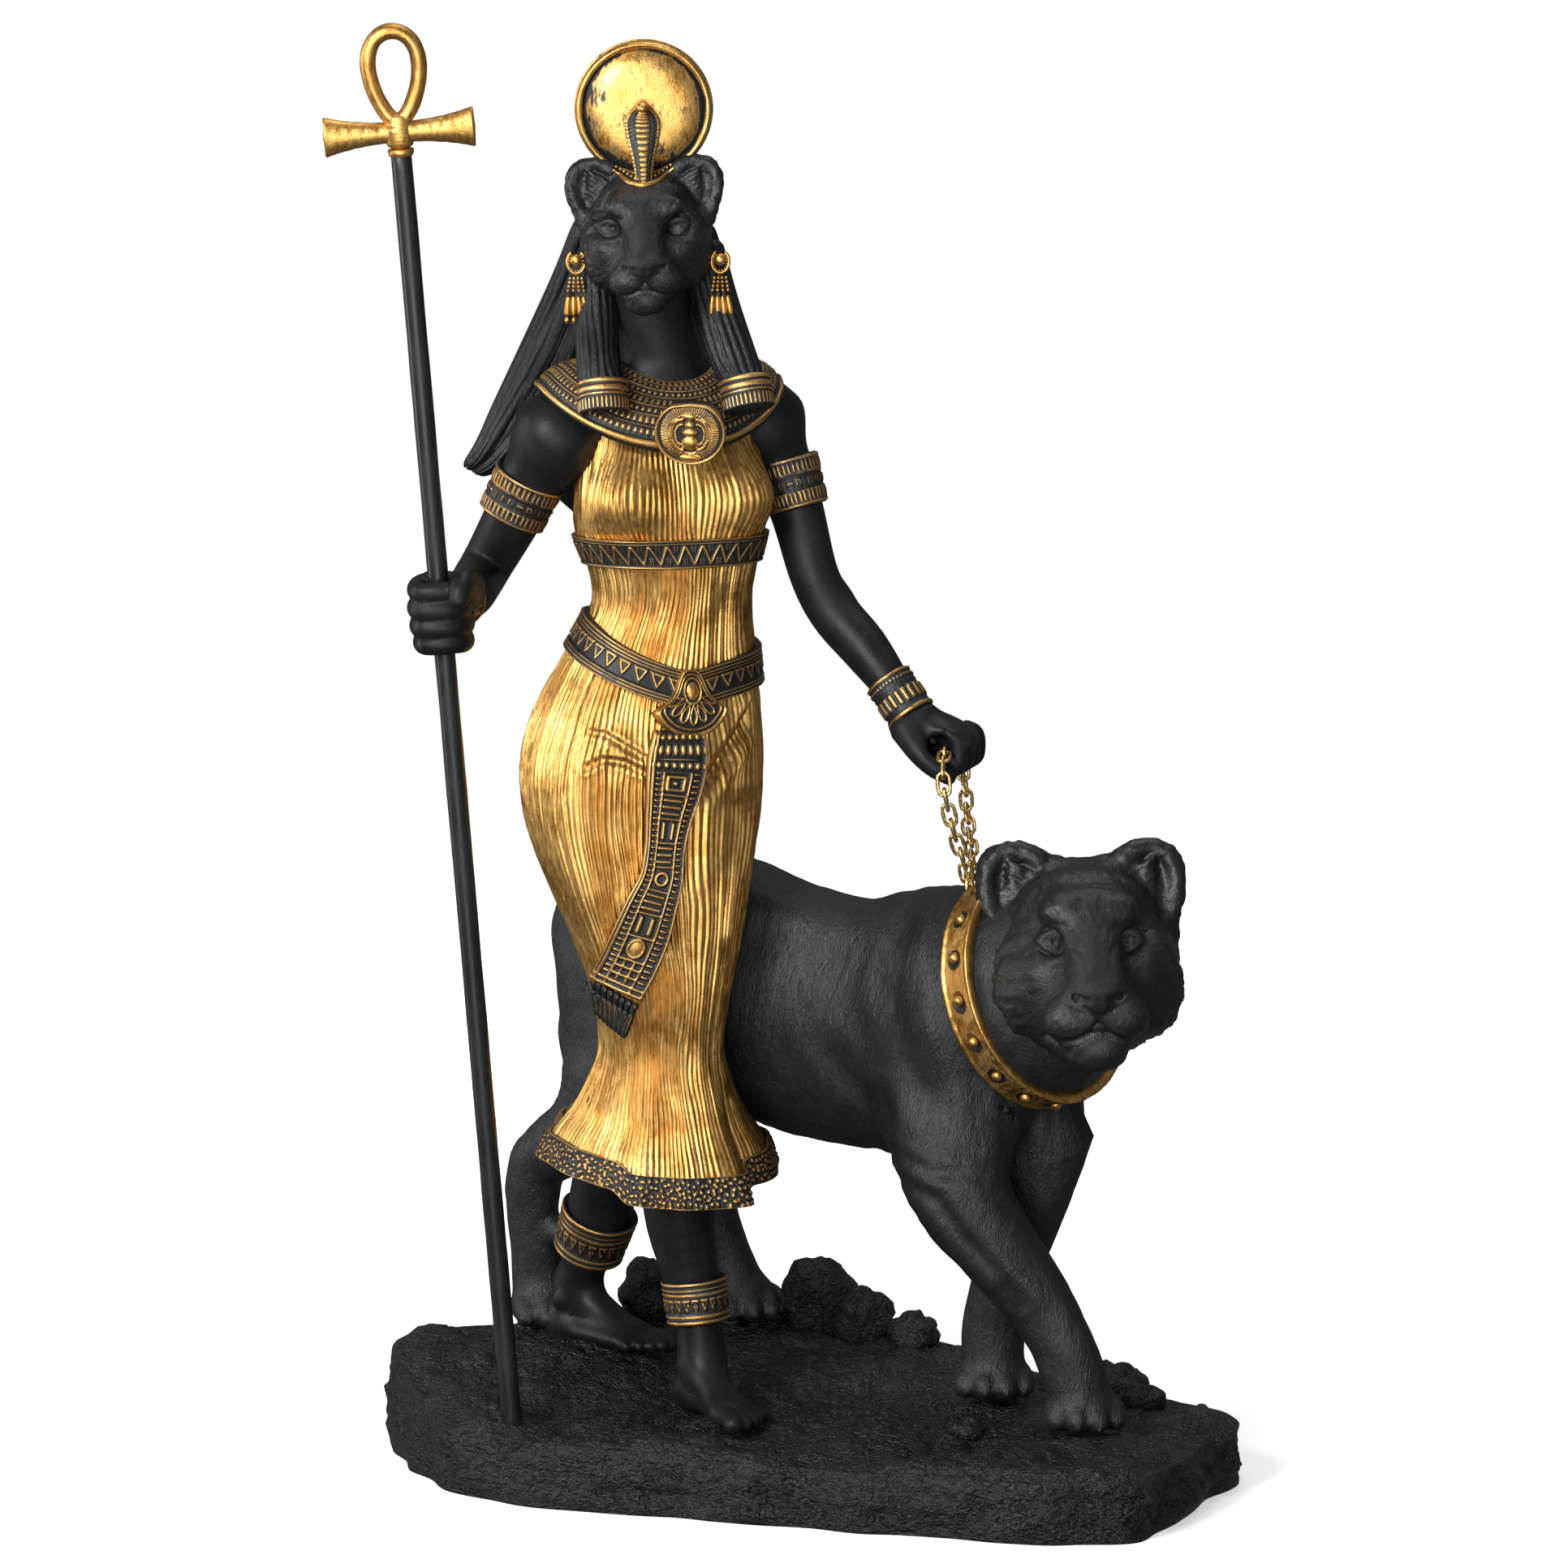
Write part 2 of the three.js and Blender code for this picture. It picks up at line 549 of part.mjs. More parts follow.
// The long wig: a mass down the back, a lock blown out to one side, and two lappets on the chest.
function wig() {
  const mass = [
    [-31.5, 13, 252, 10.6, 6],
    [-32, 17, 240, 12.4, 6.5],
    [-33.5, 20.5, 226, 15, 6.4],
    [-36.4, 22, 212, 17, 5.8],
    [-41.4, 22, 200, 13.6, 4.6],
    [-46.4, 21.4, 190.4, 7.6, 3.2],
  ];
  const lock = [
    [-40.6, 12, 248, 3.2, 4.4],
    [-44.8, 14, 236, 4.6, 5],
    [-51.4, 16, 222, 5.4, 4.6],
    [-59.2, 17, 209, 5.4, 4],
    [-64.6, 16.6, 201.8, 3.8, 3],
    [-67.4, 16.2, 198.8, 2.2, 1.6],
  ];
  const lappet = (rows) => limb(rows, { sides: 6, round: 0 });
  const left = [
    [-41.6, 7, 243, 3, 3.4],
    [-41.2, 2, 232, 3.9, 3.4],
    [-40.4, -3.6, 222.4, 4.4, 3],
    [-40, -6.2, 216.6, 4.8, 3.2],
    [-39.6, -7.6, 212.4, 4.9, 3.1],
  ];
  const right = [
    [-21.8, 9, 243, 3, 3.4],
    [-18.6, 5.4, 232, 3.9, 3.4],
    [-15.4, 1.4, 223, 4.4, 3],
    [-12.8, -1.2, 217.4, 4.8, 3.2],
    [-11.8, -2.6, 213.4, 4.9, 3.1],
  ];
  const ends = [
    cuff([-40.1, -5.8, 217.8], [-39.9, -7.0, 215.4], [5.6, 5.6]),
    cuff([-13.2, -0.8, 218.4], [-12.6, -1.9, 216.2], [5.6, 5.6]),
  ];
  const earrings = [[-44.2, 1.6], [-20.6, 4.2]].map(([x, y]) =>
    join([
      ball([x, y - 1.4, 241.4], [2.2, 1.5, 2.4], { wide: 6, high: 3 }),
      limb([[x - 0.2, y - 1.2, 240, 1.6, 1], [x - 0.2, y - 2, 230.8, 2.5, 1]], { sides: 4, round: 0 }),
    ]),
  );
  return join([
    limb(mass, { sides: 10 }),
    limb(lock, { sides: 6 }),
    lappet(left),
    lappet(right),
    ...ends,
    ...earrings,
  ]);
}

// The lioness beside her: x, y, z, half width and half height of her body from rump to throat.
const LIONESS_BODY = [
  [-44, 41, 98, 9, 16],
  [-35, 37.5, 100, 16, 22],
  [-22, 32.5, 98.5, 17, 24.5],
  [-6, 25.5, 92, 17, 25.2],
  [12, 17, 88.6, 17.5, 25],
  [26, 8.5, 91, 18.4, 26.4],
  [36, 1, 95, 19, 24.6],
  [43, -5, 98.6, 18.6, 22.4],
  [49, -10.4, 102.6, 15.4, 18],
];
const LIONESS_ASIDE = [0.6, 0.8, 0];

const PAW_HALF_WIDTH = 0.47; // in parts of a paw's length

// A leg down rows of x, y, z, width and depth, and its paw, turned in plan to point in a direction.
function pawLeg(rows, heel, direction, size) {
  const across = leftOf(heading(direction)).toArray();
  return join([
    limb(rows, { aside: across, sides: 7, round: 0 }),
    footShape(PAW_OUTLINE, heel, direction, size, size * PAW_HALF_WIDTH, PAW_LEVELS),
  ]);
}

// The collar's ring stands across the lioness's neck: its centre, sideways and upward directions, and radii.
const COLLAR = {
  centre: vec([42.5, -4, 98.8]),
  across: vec([0.727, 0.686, 0]),
  upward: vec([-0.185, 0.196, 0.962]),
  wide: 20.2,
  tall: 23.2,
  strap: 5,
};

// A point of the collar at an angle, grown outwards, and moved along the neck.
function collarPoint(angle, grow, along) {
  const ahead = COLLAR.across.clone().cross(COLLAR.upward);
  const { centre, across, upward, wide, tall } = COLLAR;
  return around(centre, across, upward, angle, wide + grow, tall + grow).addScaledVector(ahead, along);
}

function lionessCollar() {
  const half = COLLAR.strap / 2;
  const corners = [[-3, -half], [0.6, -half], [0.6, half], [-3, half]];
  const ring = (angle) => corners.map(([grow, along]) => collarPoint(angle, grow, along));
  return skin(angles(20).map(ring), true);
}

function lioness() {
  const nearFore = [
    [27, 0, 88, 9, 15],
    [28, -4, 71, 11, 12.5],
    [29.4, -9, 60.5, 10, 10],
    [36.4, -12, 50, 8.4, 8.2],
    [44.4, -14, 40, 6.4, 6.8],
    [50.2, -15.4, 29.5, 5.6, 6.2],
    [53, -15.4, 19, 6.4, 6],
  ];
  const farFore = [
    [47.4, 2.4, 84, 9, 13],
    [45.6, 3.6, 66, 7, 9.6],
    [42, 5, 50, 5.8, 7],
    [38.6, 6.5, 39, 5.4, 6.2],
    [36.6, 9, 29, 6, 6.4],
    [36.6, 9.5, 19, 6.4, 6],
  ];
  const nearHind = [
    [-35, 30, 92, 9, 16],
    [-38, 27, 76, 8.4, 13],
    [-45, 33, 65, 6.6, 8.4],
    [-53.6, 41, 57.4, 5.2, 6.2],
    [-55.8, 44, 48, 4.8, 5.6],
    [-55, 45.6, 35, 5, 5.4],
    [-54, 46, 26, 5.6, 5.6],
  ];
  const farHind = [
    [-26, 42, 90, 9, 16],
    [-23, 45, 72, 8, 11],
    [-21.6, 50, 58, 6.4, 7.6],
    [-20.6, 53, 47, 5, 6],
    [-17.2, 52, 36, 4.6, 5.4],
    [-13.4, 50.4, 27, 5.6, 5.6],
  ];
  const tail = [
    [-44, 42, 106, 2.8],
    [-47.2, 42, 96, 2.4],
    [-48.2, 41, 84, 2.2],
    [-47, 42, 72, 2.2],
    [-52, 47, 62, 2.4],
    [-57.4, 50, 55, 2.8],
  ];
  return join([
    limb(LIONESS_BODY, { sides: 11, aside: LIONESS_ASIDE, round: 0.4 }),
    ball([27.5, -1, 96], [12, 9.6, 17], { turn: [0, 12, -34] }),
    ball([-37.5, 30, 93], [12.4, 9.6, 18], { turn: [0, -8, -28], wide: 6, high: 4 }),
    pawLeg(nearFore, vec([53, -8.4, 13.6]), -84, 14.6),
    pawLeg(farFore, vec([36.4, 16, 15]), -88, 14.6),
    pawLeg(nearHind, vec([-56, 51, 22]), -66, 14),
    pawLeg(farHind, vec([-15.4, 56, 22]), -62, 14),
    limb(tail, { sides: 5 }),
    limb([[-54, 44, 42.6, 3], [-45, 37, 41.6, 3]], { sides: 6, aside: [0, 0, 1] }),
    lionessCollar(),
  ]);
}

// The rock base: an outline in plan, and a top that climbs towards the back.
const BASE_OUTLINE = [
  [-84, 34], [-79, 8], [-66, -16], [-47, -27], [-15, -38], [16, -48.5], [46, -56.5], [62, -54.5], [71, -39],
  [78, -18], [85, -2], [80, 14], [66, 27], [42, 40], [16, 56], [-18, 61], [-52, 56], [-75, 48],
];

const EDGE_POINTS = 30;
const GROUND = { front: 13.4, climb: 7.6, corner: 1.4 };

const groundHeight = (x, y) => {
  const back = THREE.MathUtils.smoothstep(y - 0.3 * x, 4, 58);
  return GROUND.front + GROUND.climb * back + GROUND.corner * THREE.MathUtils.smoothstep(-x, 10, 60);
};

function rockBase() {
  const curve = new THREE.CatmullRomCurve3(BASE_OUTLINE.map(([x, y]) => vec([x, y, 0])), true);
  const edge = curve.getSpacedPoints(EDGE_POINTS).slice(0, -1);
  const rough = (i, size) => size * (Math.sin(i * 2.4) + Math.sin(i * 1.1 + 2));
  const ring = (scale, size, heightAt) =>
    edge.map((p, i) => {
      const k = scale + rough(i, size);
      return new THREE.Vector3(p.x * k, p.y * k, heightAt(p.x * k, p.y * k));
    });
  const rings = [
    ring(0.975, 0, () => 0),
    ring(1, 0.005, () => 4),
    ring(0.995, 0.008, () => 9),
    ring(0.965, 0.004, (x, y) => groundHeight(x, y) - 1),
    ring(0.84, 0.006, (x, y) => groundHeight(x, y) + 0.4),
    ring(0.45, 0.01, groundHeight),
  ];
  const rock = (centre, radii, turn) => ball(centre, radii, { turn, wide: 6, high: 4 });
  const rocks = [
    rock([2, 52, 25.4], [8, 6, 9.4], [0, 20, 0]),
    rock([11, 49, 22], [7, 6, 7], [0, -15, 30]),
    rock([-33, 53, 26.4], [6.6, 5, 8], [0, 10, 15]),
    rock([60, 18, 15.5], [8, 6, 4.4], [0, 8, -30]),
  ];
  return join([skin(rings), ...rocks]);
}

// The staff: a straight shaft into the base, with an ankh on top.
const STAFF_AXIS = STAFF_TOP.clone().sub(STAFF_FOOT).normalize();

function shaft(radius, from, to, sides = 10) {
  const [a, b] = [from, to].map((along) => STAFF_FOOT.clone().addScaledVector(STAFF_AXIS, along));
  return limb([[...a.toArray(), radius], [...b.toArray(), radius]], { sides, round: 0 });
}

// The ankh, measured from the shaft's top: its loop and its two arms, which flare to their ends.
const ANKH = {
  loopMiddle: 12.2,
  loopReach: 8.6,
  loopHalf: 4.7,
  loopWire: [1.7, 1.5],
  armHalf: 14.6,
  armHeight: 1.4,
};

function ankhStaff() {
  const length = STAFF_TOP.distanceTo(STAFF_FOOT);
  const across = vec([1, 0, 0.04]).normalize();
  const at = (x, z) => STAFF_TOP.clone().addScaledVector(across, x).addScaledVector(STAFF_AXIS, z);
  // The loop's middle line is a drop, round above and drawn in to the knot below.
  const loop = angles(14).map((turn) => {
    const drawnIn = 1 - 0.3 * Math.cos(turn);
    return at(ANKH.loopHalf * Math.sin(turn) * drawnIn, ANKH.loopMiddle - ANKH.loopReach * Math.cos(turn));
  });
  const rings = loop.map((centre, i) => {
    const direction = loop[(i + 1) % loop.length].clone().sub(loop.at(i - 1)).normalize();
    const deep = vec([0, -1, 0]).addScaledVector(direction, direction.y).normalize();
    const aside = direction.clone().cross(deep);
    return angles(6).map((angle) => around(centre, aside, deep, angle, ...ANKH.loopWire));
  });
  const bar = [-1, -0.55, 0, 0.55, 1].map((part) => {
    const wide = 2 + 2 * Math.pow(Math.abs(part), 2.2);
    return [...at(part * ANKH.armHalf, ANKH.armHeight).toArray(), wide, 1.7 + 0.6 * Math.abs(part)];
  });
  return join([
    shaft(STAFF_RADIUS, 0, length + 1),
    skin(rings, true),
    limb(bar, { sides: 8, aside: [0, 0, 1], round: 0 }),
    limb([[...at(0, -1.6).toArray(), 2.4], [...at(0, 4.6).toArray(), 2.4]], { round: 0 }),
  ]);
}

// The eye on top of the collar that the chain hangs in. It stands upright, and its wire runs fore and aft.
const EYE = { centre: vec([31.2, -7.2, 120.6]), along: vec([0.25, 0.97, 0]), radius: 2.3, wire: 0.45 };

// The place on the eye's wire at an angle from its top.
const onEye = (angle) => around(EYE.centre, UP, EYE.along, angle, EYE.radius);

// The chain's route: up one strand, through the fist's bore from front to back, and down the other strand.
const EYE_SPREAD = rad(40);
const CHAIN_ROUTE = [
  onEye(-EYE_SPREAD).add(vec([0.1, 0.2, -0.6])),
  vec([29.8, -10, 126.4]),
  vec([28.3, -11.4, 131]),
  vec([26.8, -12.6, 137]),
  vec([26.1, -13.4, 141]),
  vec([25.9, -12.8, 144.3]),
  vec([26.1, -10.4, 146.3]),
  vec([26.5, -6.4, 146.7]),
  vec([27.4, -1, 145.9]),
  vec([28.6, 6, 145.6]),
  vec([29.2, 9.4, 145.2]),
  vec([29.8, 11.8, 143.2]),
  vec([30.3, 12.4, 140]),
  vec([30.8, 10.8, 136]),
  vec([31.2, 6, 130.8]),
  vec([31.8, -1.2, 125.8]),
  onEye(EYE_SPREAD).add(vec([0, -0.5, -0.5])),
];

// A link round its middle. It runs in a direction, and its wide side lies along across.
function chainLink(middle, direction, across) {
  const deep = direction.clone().cross(across);
  const straight = (LINK_LENGTH - LINK_WIDTH) / 2;
  const radius = LINK_WIDTH / 2 - WIRE_RADIUS;
  const rings = angles(6).map((angle) => {
    const [c, s] = [Math.cos(angle + Math.PI / 6), Math.sin(angle + Math.PI / 6)];
    const out = across.clone().multiplyScalar(c).addScaledVector(direction, s);
    const centre = middle.clone().addScaledVector(out, radius);
    centre.addScaledVector(direction, Math.sign(s) * straight);
    return angles(4).map((turn) => around(centre, out, deep, turn, WIRE_RADIUS));
  });
  return skin(rings, true);
}

function chainLinks() {
  const curve = new THREE.CatmullRomCurve3(CHAIN_ROUTE);
  // An odd count lets the first and the last link both pass round the eye's wire.
  const count = 2 * Math.floor(curve.getLength() / CHAIN_PITCH / 2) + 1;
  const { tangents, normals, binormals } = curve.computeFrenetFrames(2 * count);
  return Array.from({ length: count }, (_, i) => {
    const at = 2 * i + 1;
    const across = i % 2 ? binormals[at] : normals[at];
    return chainLink(curve.getPointAt(at / (2 * count)), tangents[at], across);
  });
}

function collarEye() {
  const aside = EYE.along.clone().cross(UP);
  const rings = angles(8).map((angle) => {
    const out = onEye(angle).sub(EYE.centre).normalize();
    return angles(4).map((turn) => around(onEye(angle), out, aside, turn, EYE.wire));
  });
  return skin(rings, true);
}

// A named mesh from a solid.
function mesh(name, whole, material) {
  const { numProp, vertProperties, triVerts } = whole.getMesh();
  const points = new Float32Array((vertProperties.length / numProp) * 3);
  for (let i = 0; i < points.length / 3; i++) {
    const start = i * numProp;
    points.set(vertProperties.subarray(start, start + 3), i * 3);
  }
  const geometry = new THREE.BufferGeometry()
    .setAttribute("position", new THREE.BufferAttribute(points, 3))
    .setIndex(new THREE.BufferAttribute(new Uint32Array(triVerts), 1));
  const made = new THREE.Mesh(geometry, material);
  made.name = name;
  return made;
}

const links = chainLinks();
const fistBore = limb(CHAIN_BORE.map((p) => [...p.toArray(), BORE_RADIUS]), { sides: 10, round: 0 });
const parts = [
  rockBase(),
  gown(),
  belt(),
  sash(),
  shoulders(),
  broadCollar(),
  arms(),
  staffFist(),
  chainFist(),
  legs(),
  placedHead(HEAD_CENTRE, HEAD_WIDTH, [4, 0, 2]),
  crown(),
  wig(),
  lioness(),
  placedHead(LIONESS_HEAD_CENTRE, LIONESS_HEAD_WIDTH, [8, 0, 9], [1, 1.02, 1.02]),
  collarEye(),
];
// The clear way for the staff, from its foot in the base to above the fist.
const socket = shaft(STAFF_RADIUS + GAP, -GAP, 220);
const statue = castSolid(join(parts).subtract(socket).subtract(fistBore));

const group = new THREE.Group();
group.name = "sekhmet_statue";
group.add(mesh("statue", statue, COLOURS.resin));
group.add(mesh("ankh_staff", ankhStaff(), COLOURS.staff));
links.forEach((link, i) => {
  const number = String(i + 1).padStart(2, "0");
  group.add(mesh(`chain_link_${number}`, link, COLOURS.chain));
});

export default group;
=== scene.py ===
"""Looks of a resin statuette: a lioness-headed goddess in a gilt gown leads a lioness on a chain.

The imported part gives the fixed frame. Each sub-assembly below is a class that shapes its pieces in
millimetres and hands them over in metres. The black casting, its gilt ornament, the staff and the chain each
have a finish.
"""
from __future__ import annotations

import logging
import math
from dataclasses import dataclass, field
from enum import Enum
from typing import Callable, Iterable, Sequence

import bmesh
import bpy
import numpy as np
from mathutils import Matrix, Vector


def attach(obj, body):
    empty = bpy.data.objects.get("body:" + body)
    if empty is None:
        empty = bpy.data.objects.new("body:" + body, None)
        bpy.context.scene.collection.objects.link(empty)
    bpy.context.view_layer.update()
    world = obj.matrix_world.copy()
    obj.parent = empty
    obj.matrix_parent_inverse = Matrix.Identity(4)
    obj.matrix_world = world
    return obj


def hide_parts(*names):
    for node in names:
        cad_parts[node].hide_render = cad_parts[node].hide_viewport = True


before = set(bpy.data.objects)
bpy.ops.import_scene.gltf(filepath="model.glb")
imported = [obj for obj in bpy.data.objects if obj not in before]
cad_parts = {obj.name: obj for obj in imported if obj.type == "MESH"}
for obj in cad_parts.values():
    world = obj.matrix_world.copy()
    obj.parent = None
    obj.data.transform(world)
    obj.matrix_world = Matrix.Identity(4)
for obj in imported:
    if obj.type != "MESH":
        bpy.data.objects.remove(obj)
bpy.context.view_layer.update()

Array = np.ndarray
Piece = bpy.types.Object
Socket = bpy.types.NodeSocket
Triple = tuple[float, float, float]
Colour = tuple[float, float, float, float]
Faces = tuple[int, int]
Table = Sequence[Sequence[float]]
Pair = tuple[Array, Array]
Placed = tuple[Array, dict[str, Array]]
Place = Callable[[Array, Array], Placed]
Relief = Callable[[Array, Array], Pair]

LOG = logging.getLogger("statuette")
MM = 0.001
TURN = 2 * math.pi
UP = np.array([0.0, 0.0, 1.0])
MERGE = 1e-4
THINNEST = 0.05
NEARLY_ONE = 0.9999
TO_MM = (1000, 1000, 1000)
STATUE = "statue"
STAFF = "ankh_staff"


class Slot(Enum):
    """Names of the material slots."""

    RESIN = "resin"
    GILT = "gilt"
    STAFF = "staff"
    CHAIN = "chain"


# Numbers and curves


def unit(vectors: Array) -> Array:
    """Scales vectors to length one."""
    return vectors / np.maximum(np.linalg.norm(vectors, axis=-1, keepdims=True), 1e-9)


def smoothstep(values: Array, low: float, high: float) -> Array:
    """Rises smoothly from 0 at low to 1 at high."""
    t = np.clip((values - low) / (high - low), 0, 1)
    return t * t * (3 - 2 * t)


def bell(values: Array, middle: float, width: float) -> Array:
    """A bell curve of height 1 round a middle."""
    return np.exp(-(((values - middle) / width) ** 2))


def cell_place(values: Array) -> Array:
    """How far values lie across their whole cells, from -0.5 to 0.5."""
    return values - np.floor(values) - 0.5


def rounded_off(t: Array, share: float) -> Array:
    """1 along a run from 0 to 1, rounding off to 0 in a share of it at each end."""
    return np.sqrt(np.clip(1 - np.clip(1 - np.minimum(t, 1 - t) / share, 0, 1) ** 2, 0, 1))


def seamless(t: Array) -> Array:
    """Moves the last places of a closed run onto the first."""
    return np.where(t > NEARLY_ONE, 0.0, t)


def folded(v: Array, face: float) -> Pair:
    """Whether places lie on the face or else on the back, and how far across either they lie."""
    front = v <= face
    return front, np.where(front, v / face, (1 - v) / (1 - face))


def rows_at(rows: Table, t: Array) -> Array:
    """Reads a table of rows along a smooth curve.

    Args:
        rows: The rows, each of the same length.
        t: Places from 0 at the first row to 1 at the last.

    Returns:
        One row for each place.
    """
    table = np.asarray(rows, float)
    spans = len(table) - 1
    ends = [2 * table[:1] - table[1:2], table, 2 * table[-1:] - table[-2:-1]]
    padded = np.concatenate(ends)
    s = np.clip(np.asarray(t, float), 0, 1) * spans
    i = np.minimum(s.astype(int), spans - 1)
    f = (s - i)[..., None]
    a, b, c, d = padded[i], padded[i + 1], padded[i + 2], padded[i + 3]
    bend = (2 * a - 5 * b + 4 * c - d) * f**2 + (3 * b - a - 3 * c + d) * f**3
    return 0.5 * (2 * b + (c - a) * f + bend)


def turned(degrees: Sequence[float]) -> Array:
    """The matrix of turns about x, then y, then z."""
    x, y, z = (Matrix.Rotation(math.radians(a), 3, k) for a, k in zip(degrees, "XYZ"))
    return np.array(x @ y @ z)


def hashed(cells: Array, seed: int) -> Array:
    """A fixed value from 0 to 1 for each whole-numbered cell."""
    h = cells[..., 0] * 73856093 ^ cells[..., 1] * 19349663 ^ cells[..., 2] * 83492791
    h = (h ^ seed * 2654435761) & 0xFFFFFFFF
    h = (h ^ h >> 15) * 2246822519 & 0xFFFFFFFF
    h = (h ^ h >> 13) * 3266489917 & 0xFFFFFFFF
    return ((h ^ h >> 16) & 0xFFFF) / 65535.0


def number_hash(number: Array, seed: int, row: float = 0.0) -> Array:
    """A fixed value from 0 to 1 for each whole number in a row of them."""
    cells = np.stack([number, number * 0 + row, number * 0], axis=-1).astype(np.int64)
    return hashed(cells, seed)


def noise(points: Array, size: float, seed: int = 0) -> Array:
    """Smooth noise from -1 to 1 with lumps of a size."""
    q = points / size
    base = np.floor(q).astype(np.int64)
    f = q - base
    f = f * f * (3 - 2 * f)
    total = np.zeros(len(points))
    for corner in range(8):
        step = np.array([corner & 1, corner >> 1 & 1, corner >> 2])
        weight = np.prod(np.where(step, f, 1 - f), axis=-1)
        total += weight * hashed(base + step, seed)
    return total * 2 - 1


def fractal(points: Array, size: float, octaves: int, seed: int = 0) -> Array:
    """Noise in several sizes, each half of the last."""
    total = np.zeros(len(points))
    for k in range(octaves):
        total += noise(points, size / 2**k, seed + k) * 0.55**k
    return total


def cells_near(points: Array, size: float, seed: int = 0) -> Pair:
    """The nearest and next nearest of scattered seeds, as distances over the cell size."""
    q = points / size
    base = np.floor(q).astype(np.int64)
    near = np.full(len(points), 9.0)
    following = near.copy()
    for index in np.ndindex(3, 3, 3):
        cell = base + np.array(index) - 1
        jitter = np.stack([hashed(cell, seed + k) for k in range(3)], axis=-1)
        gap = np.linalg.norm(cell + jitter - q, axis=-1)
        following = np.minimum(following, np.maximum(near, gap))
        near = np.minimum(near, gap)
    return near, following


# Meshes


def read_points(mesh: bpy.types.Mesh) -> Array:
    """The mesh's points as an array."""
    flat = np.empty(len(mesh.vertices) * 3)
    mesh.vertices.foreach_get("co", flat)
    return flat.reshape(-1, 3)


def write_points(mesh: bpy.types.Mesh, points: Array) -> None:
    """Moves the mesh's points."""
    mesh.vertices.foreach_set("co", np.ascontiguousarray(points, float).ravel())
    mesh.update()


def read_normals(mesh: bpy.types.Mesh) -> Array:
    """The normals at the mesh's points."""
    flat = np.empty(len(mesh.vertices) * 3, np.float32)
    mesh.vertex_normals.foreach_get("vector", flat)
    return flat.reshape(-1, 3).astype(float)


def keep_values(mesh: bpy.types.Mesh, name: str, values: Array) -> None:
    """Stores a value or a vector on each point, for the finish to read."""
    if name in mesh.attributes:
        mesh.attributes.remove(mesh.attributes[name])
    kind, key = ("FLOAT", "value") if values.ndim == 1 else ("FLOAT_VECTOR", "vector")
    made = mesh.attributes.new(name, kind, "POINT")
    made.data.foreach_set(key, np.ascontiguousarray(values, np.float32).ravel())


def raise_all(piece: Piece, height: float = 1.0) -> None:
    """Stores one height of relief on all of a piece's points."""
    keep_values(piece.data, "relief", np.full(len(piece.data.vertices), height))


def object_of(name: str, bm: bmesh.types.BMesh) -> Piece:
    """Makes a linked object of a bmesh, and frees the bmesh."""
    mesh = bpy.data.meshes.new(name)
    bm.to_mesh(mesh)
    bm.free()
    made = bpy.data.objects.new(name, mesh)
    bpy.context.scene.collection.objects.link(made)
    return made


def shaped_grid(name: str, across: int, along: int, place: Place) -> Piece:
    """A grid whose points are laid on a surface, with its seams and poles closed.

    Args:
        name: The object's name.
        across: The number of faces one way, where the place's first value runs.
        along: The number the other way.
        place: Gives the points, and values to store, for places from 0 to 1 both ways.

    Returns:
        The object, in millimetres.
    """
    bm = bmesh.new()
    bmesh.ops.create_grid(bm, x_segments=across, y_segments=along, size=0.5)
    made = object_of(name, bm)
    flat = read_points(made.data)
    points, values = place(flat[:, 0] + 0.5, flat[:, 1] + 0.5)
    write_points(made.data, points)
    for key, value in values.items():
        keep_values(made.data, key, value)
    bm = bmesh.new()
    bm.from_mesh(made.data)
    bmesh.ops.remove_doubles(bm, verts=bm.verts, dist=MERGE)
    bmesh.ops.recalc_face_normals(bm, faces=bm.faces)
    bm.to_mesh(made.data)
    bm.free()
    return made


def rod_frames(path: Array, aside: Sequence[float]) -> tuple[Array, Array, Array]:
    """Directions along a path, to its side and out of it, the side staying near a given one."""
    along = unit(np.gradient(path, axis=0))
    side = np.asarray(aside, float)
    side = unit(side - along * (along @ side)[:, None])
    return along, side, np.cross(along, side)


def full_rows(rows: Table) -> Array:
    """Rows of x, y, z and two half widths, where a single one stands for both."""
    table = np.asarray(rows, float)
    return np.hstack([table, table[:, 3:]]) if table.shape[1] == 4 else table


def rod(
    name: str,
    rows: Table,
    sides: int = 16,
    steps: int = 24,
    aside: Sequence[float] = (1, 0, 0),
    relief: Relief | None = None,
    round_ends: float = 0.04,
) -> Piece:
    """A rod along rows of x, y, z and one or two half widths, with rounded ends.

    Args:
        name: The object's name.
        rows: The rows, whose last two values are the half widths to the side and out.
        sides: Faces round it.
        steps: Faces along it.
        aside: The direction that the first half width lies along.
        relief: Gives a height and a raised mask for an angle and a place along the rod.
        round_ends: The share of the length in which each end rounds off.

    Returns:
        The object, in millimetres.
    """
    table = full_rows(rows)
    dense = rows_at(table, np.linspace(0, 1, 8 * len(table)))
    frames = rod_frames(dense[:, :3], aside)
    at = np.linspace(0, 1, len(dense))

    def place(u: Array, v: Array) -> Placed:
        """Points round the rod, and its mask."""
        row = rows_at(table, v)
        side, out = (
            np.stack([np.interp(v, at, f[:, k]) for k in range(3)], axis=-1)
            for f in frames[1:]
        )
        angle = u * TURN
        cap = rounded_off(v, round_ends)
        height, mask = relief(angle, v) if relief else (0 * u, 0 * u + 1)
        wide = (row[:, 3] + height) * cap
        deep = (row[:, 4] + height) * cap
        ring = side * (np.cos(angle) * wide)[:, None] + out * (np.sin(angle) * deep)[:, None]
        return row[:, :3] + ring, {"relief": mask}

    return shaped_grid(name, sides, steps, place)


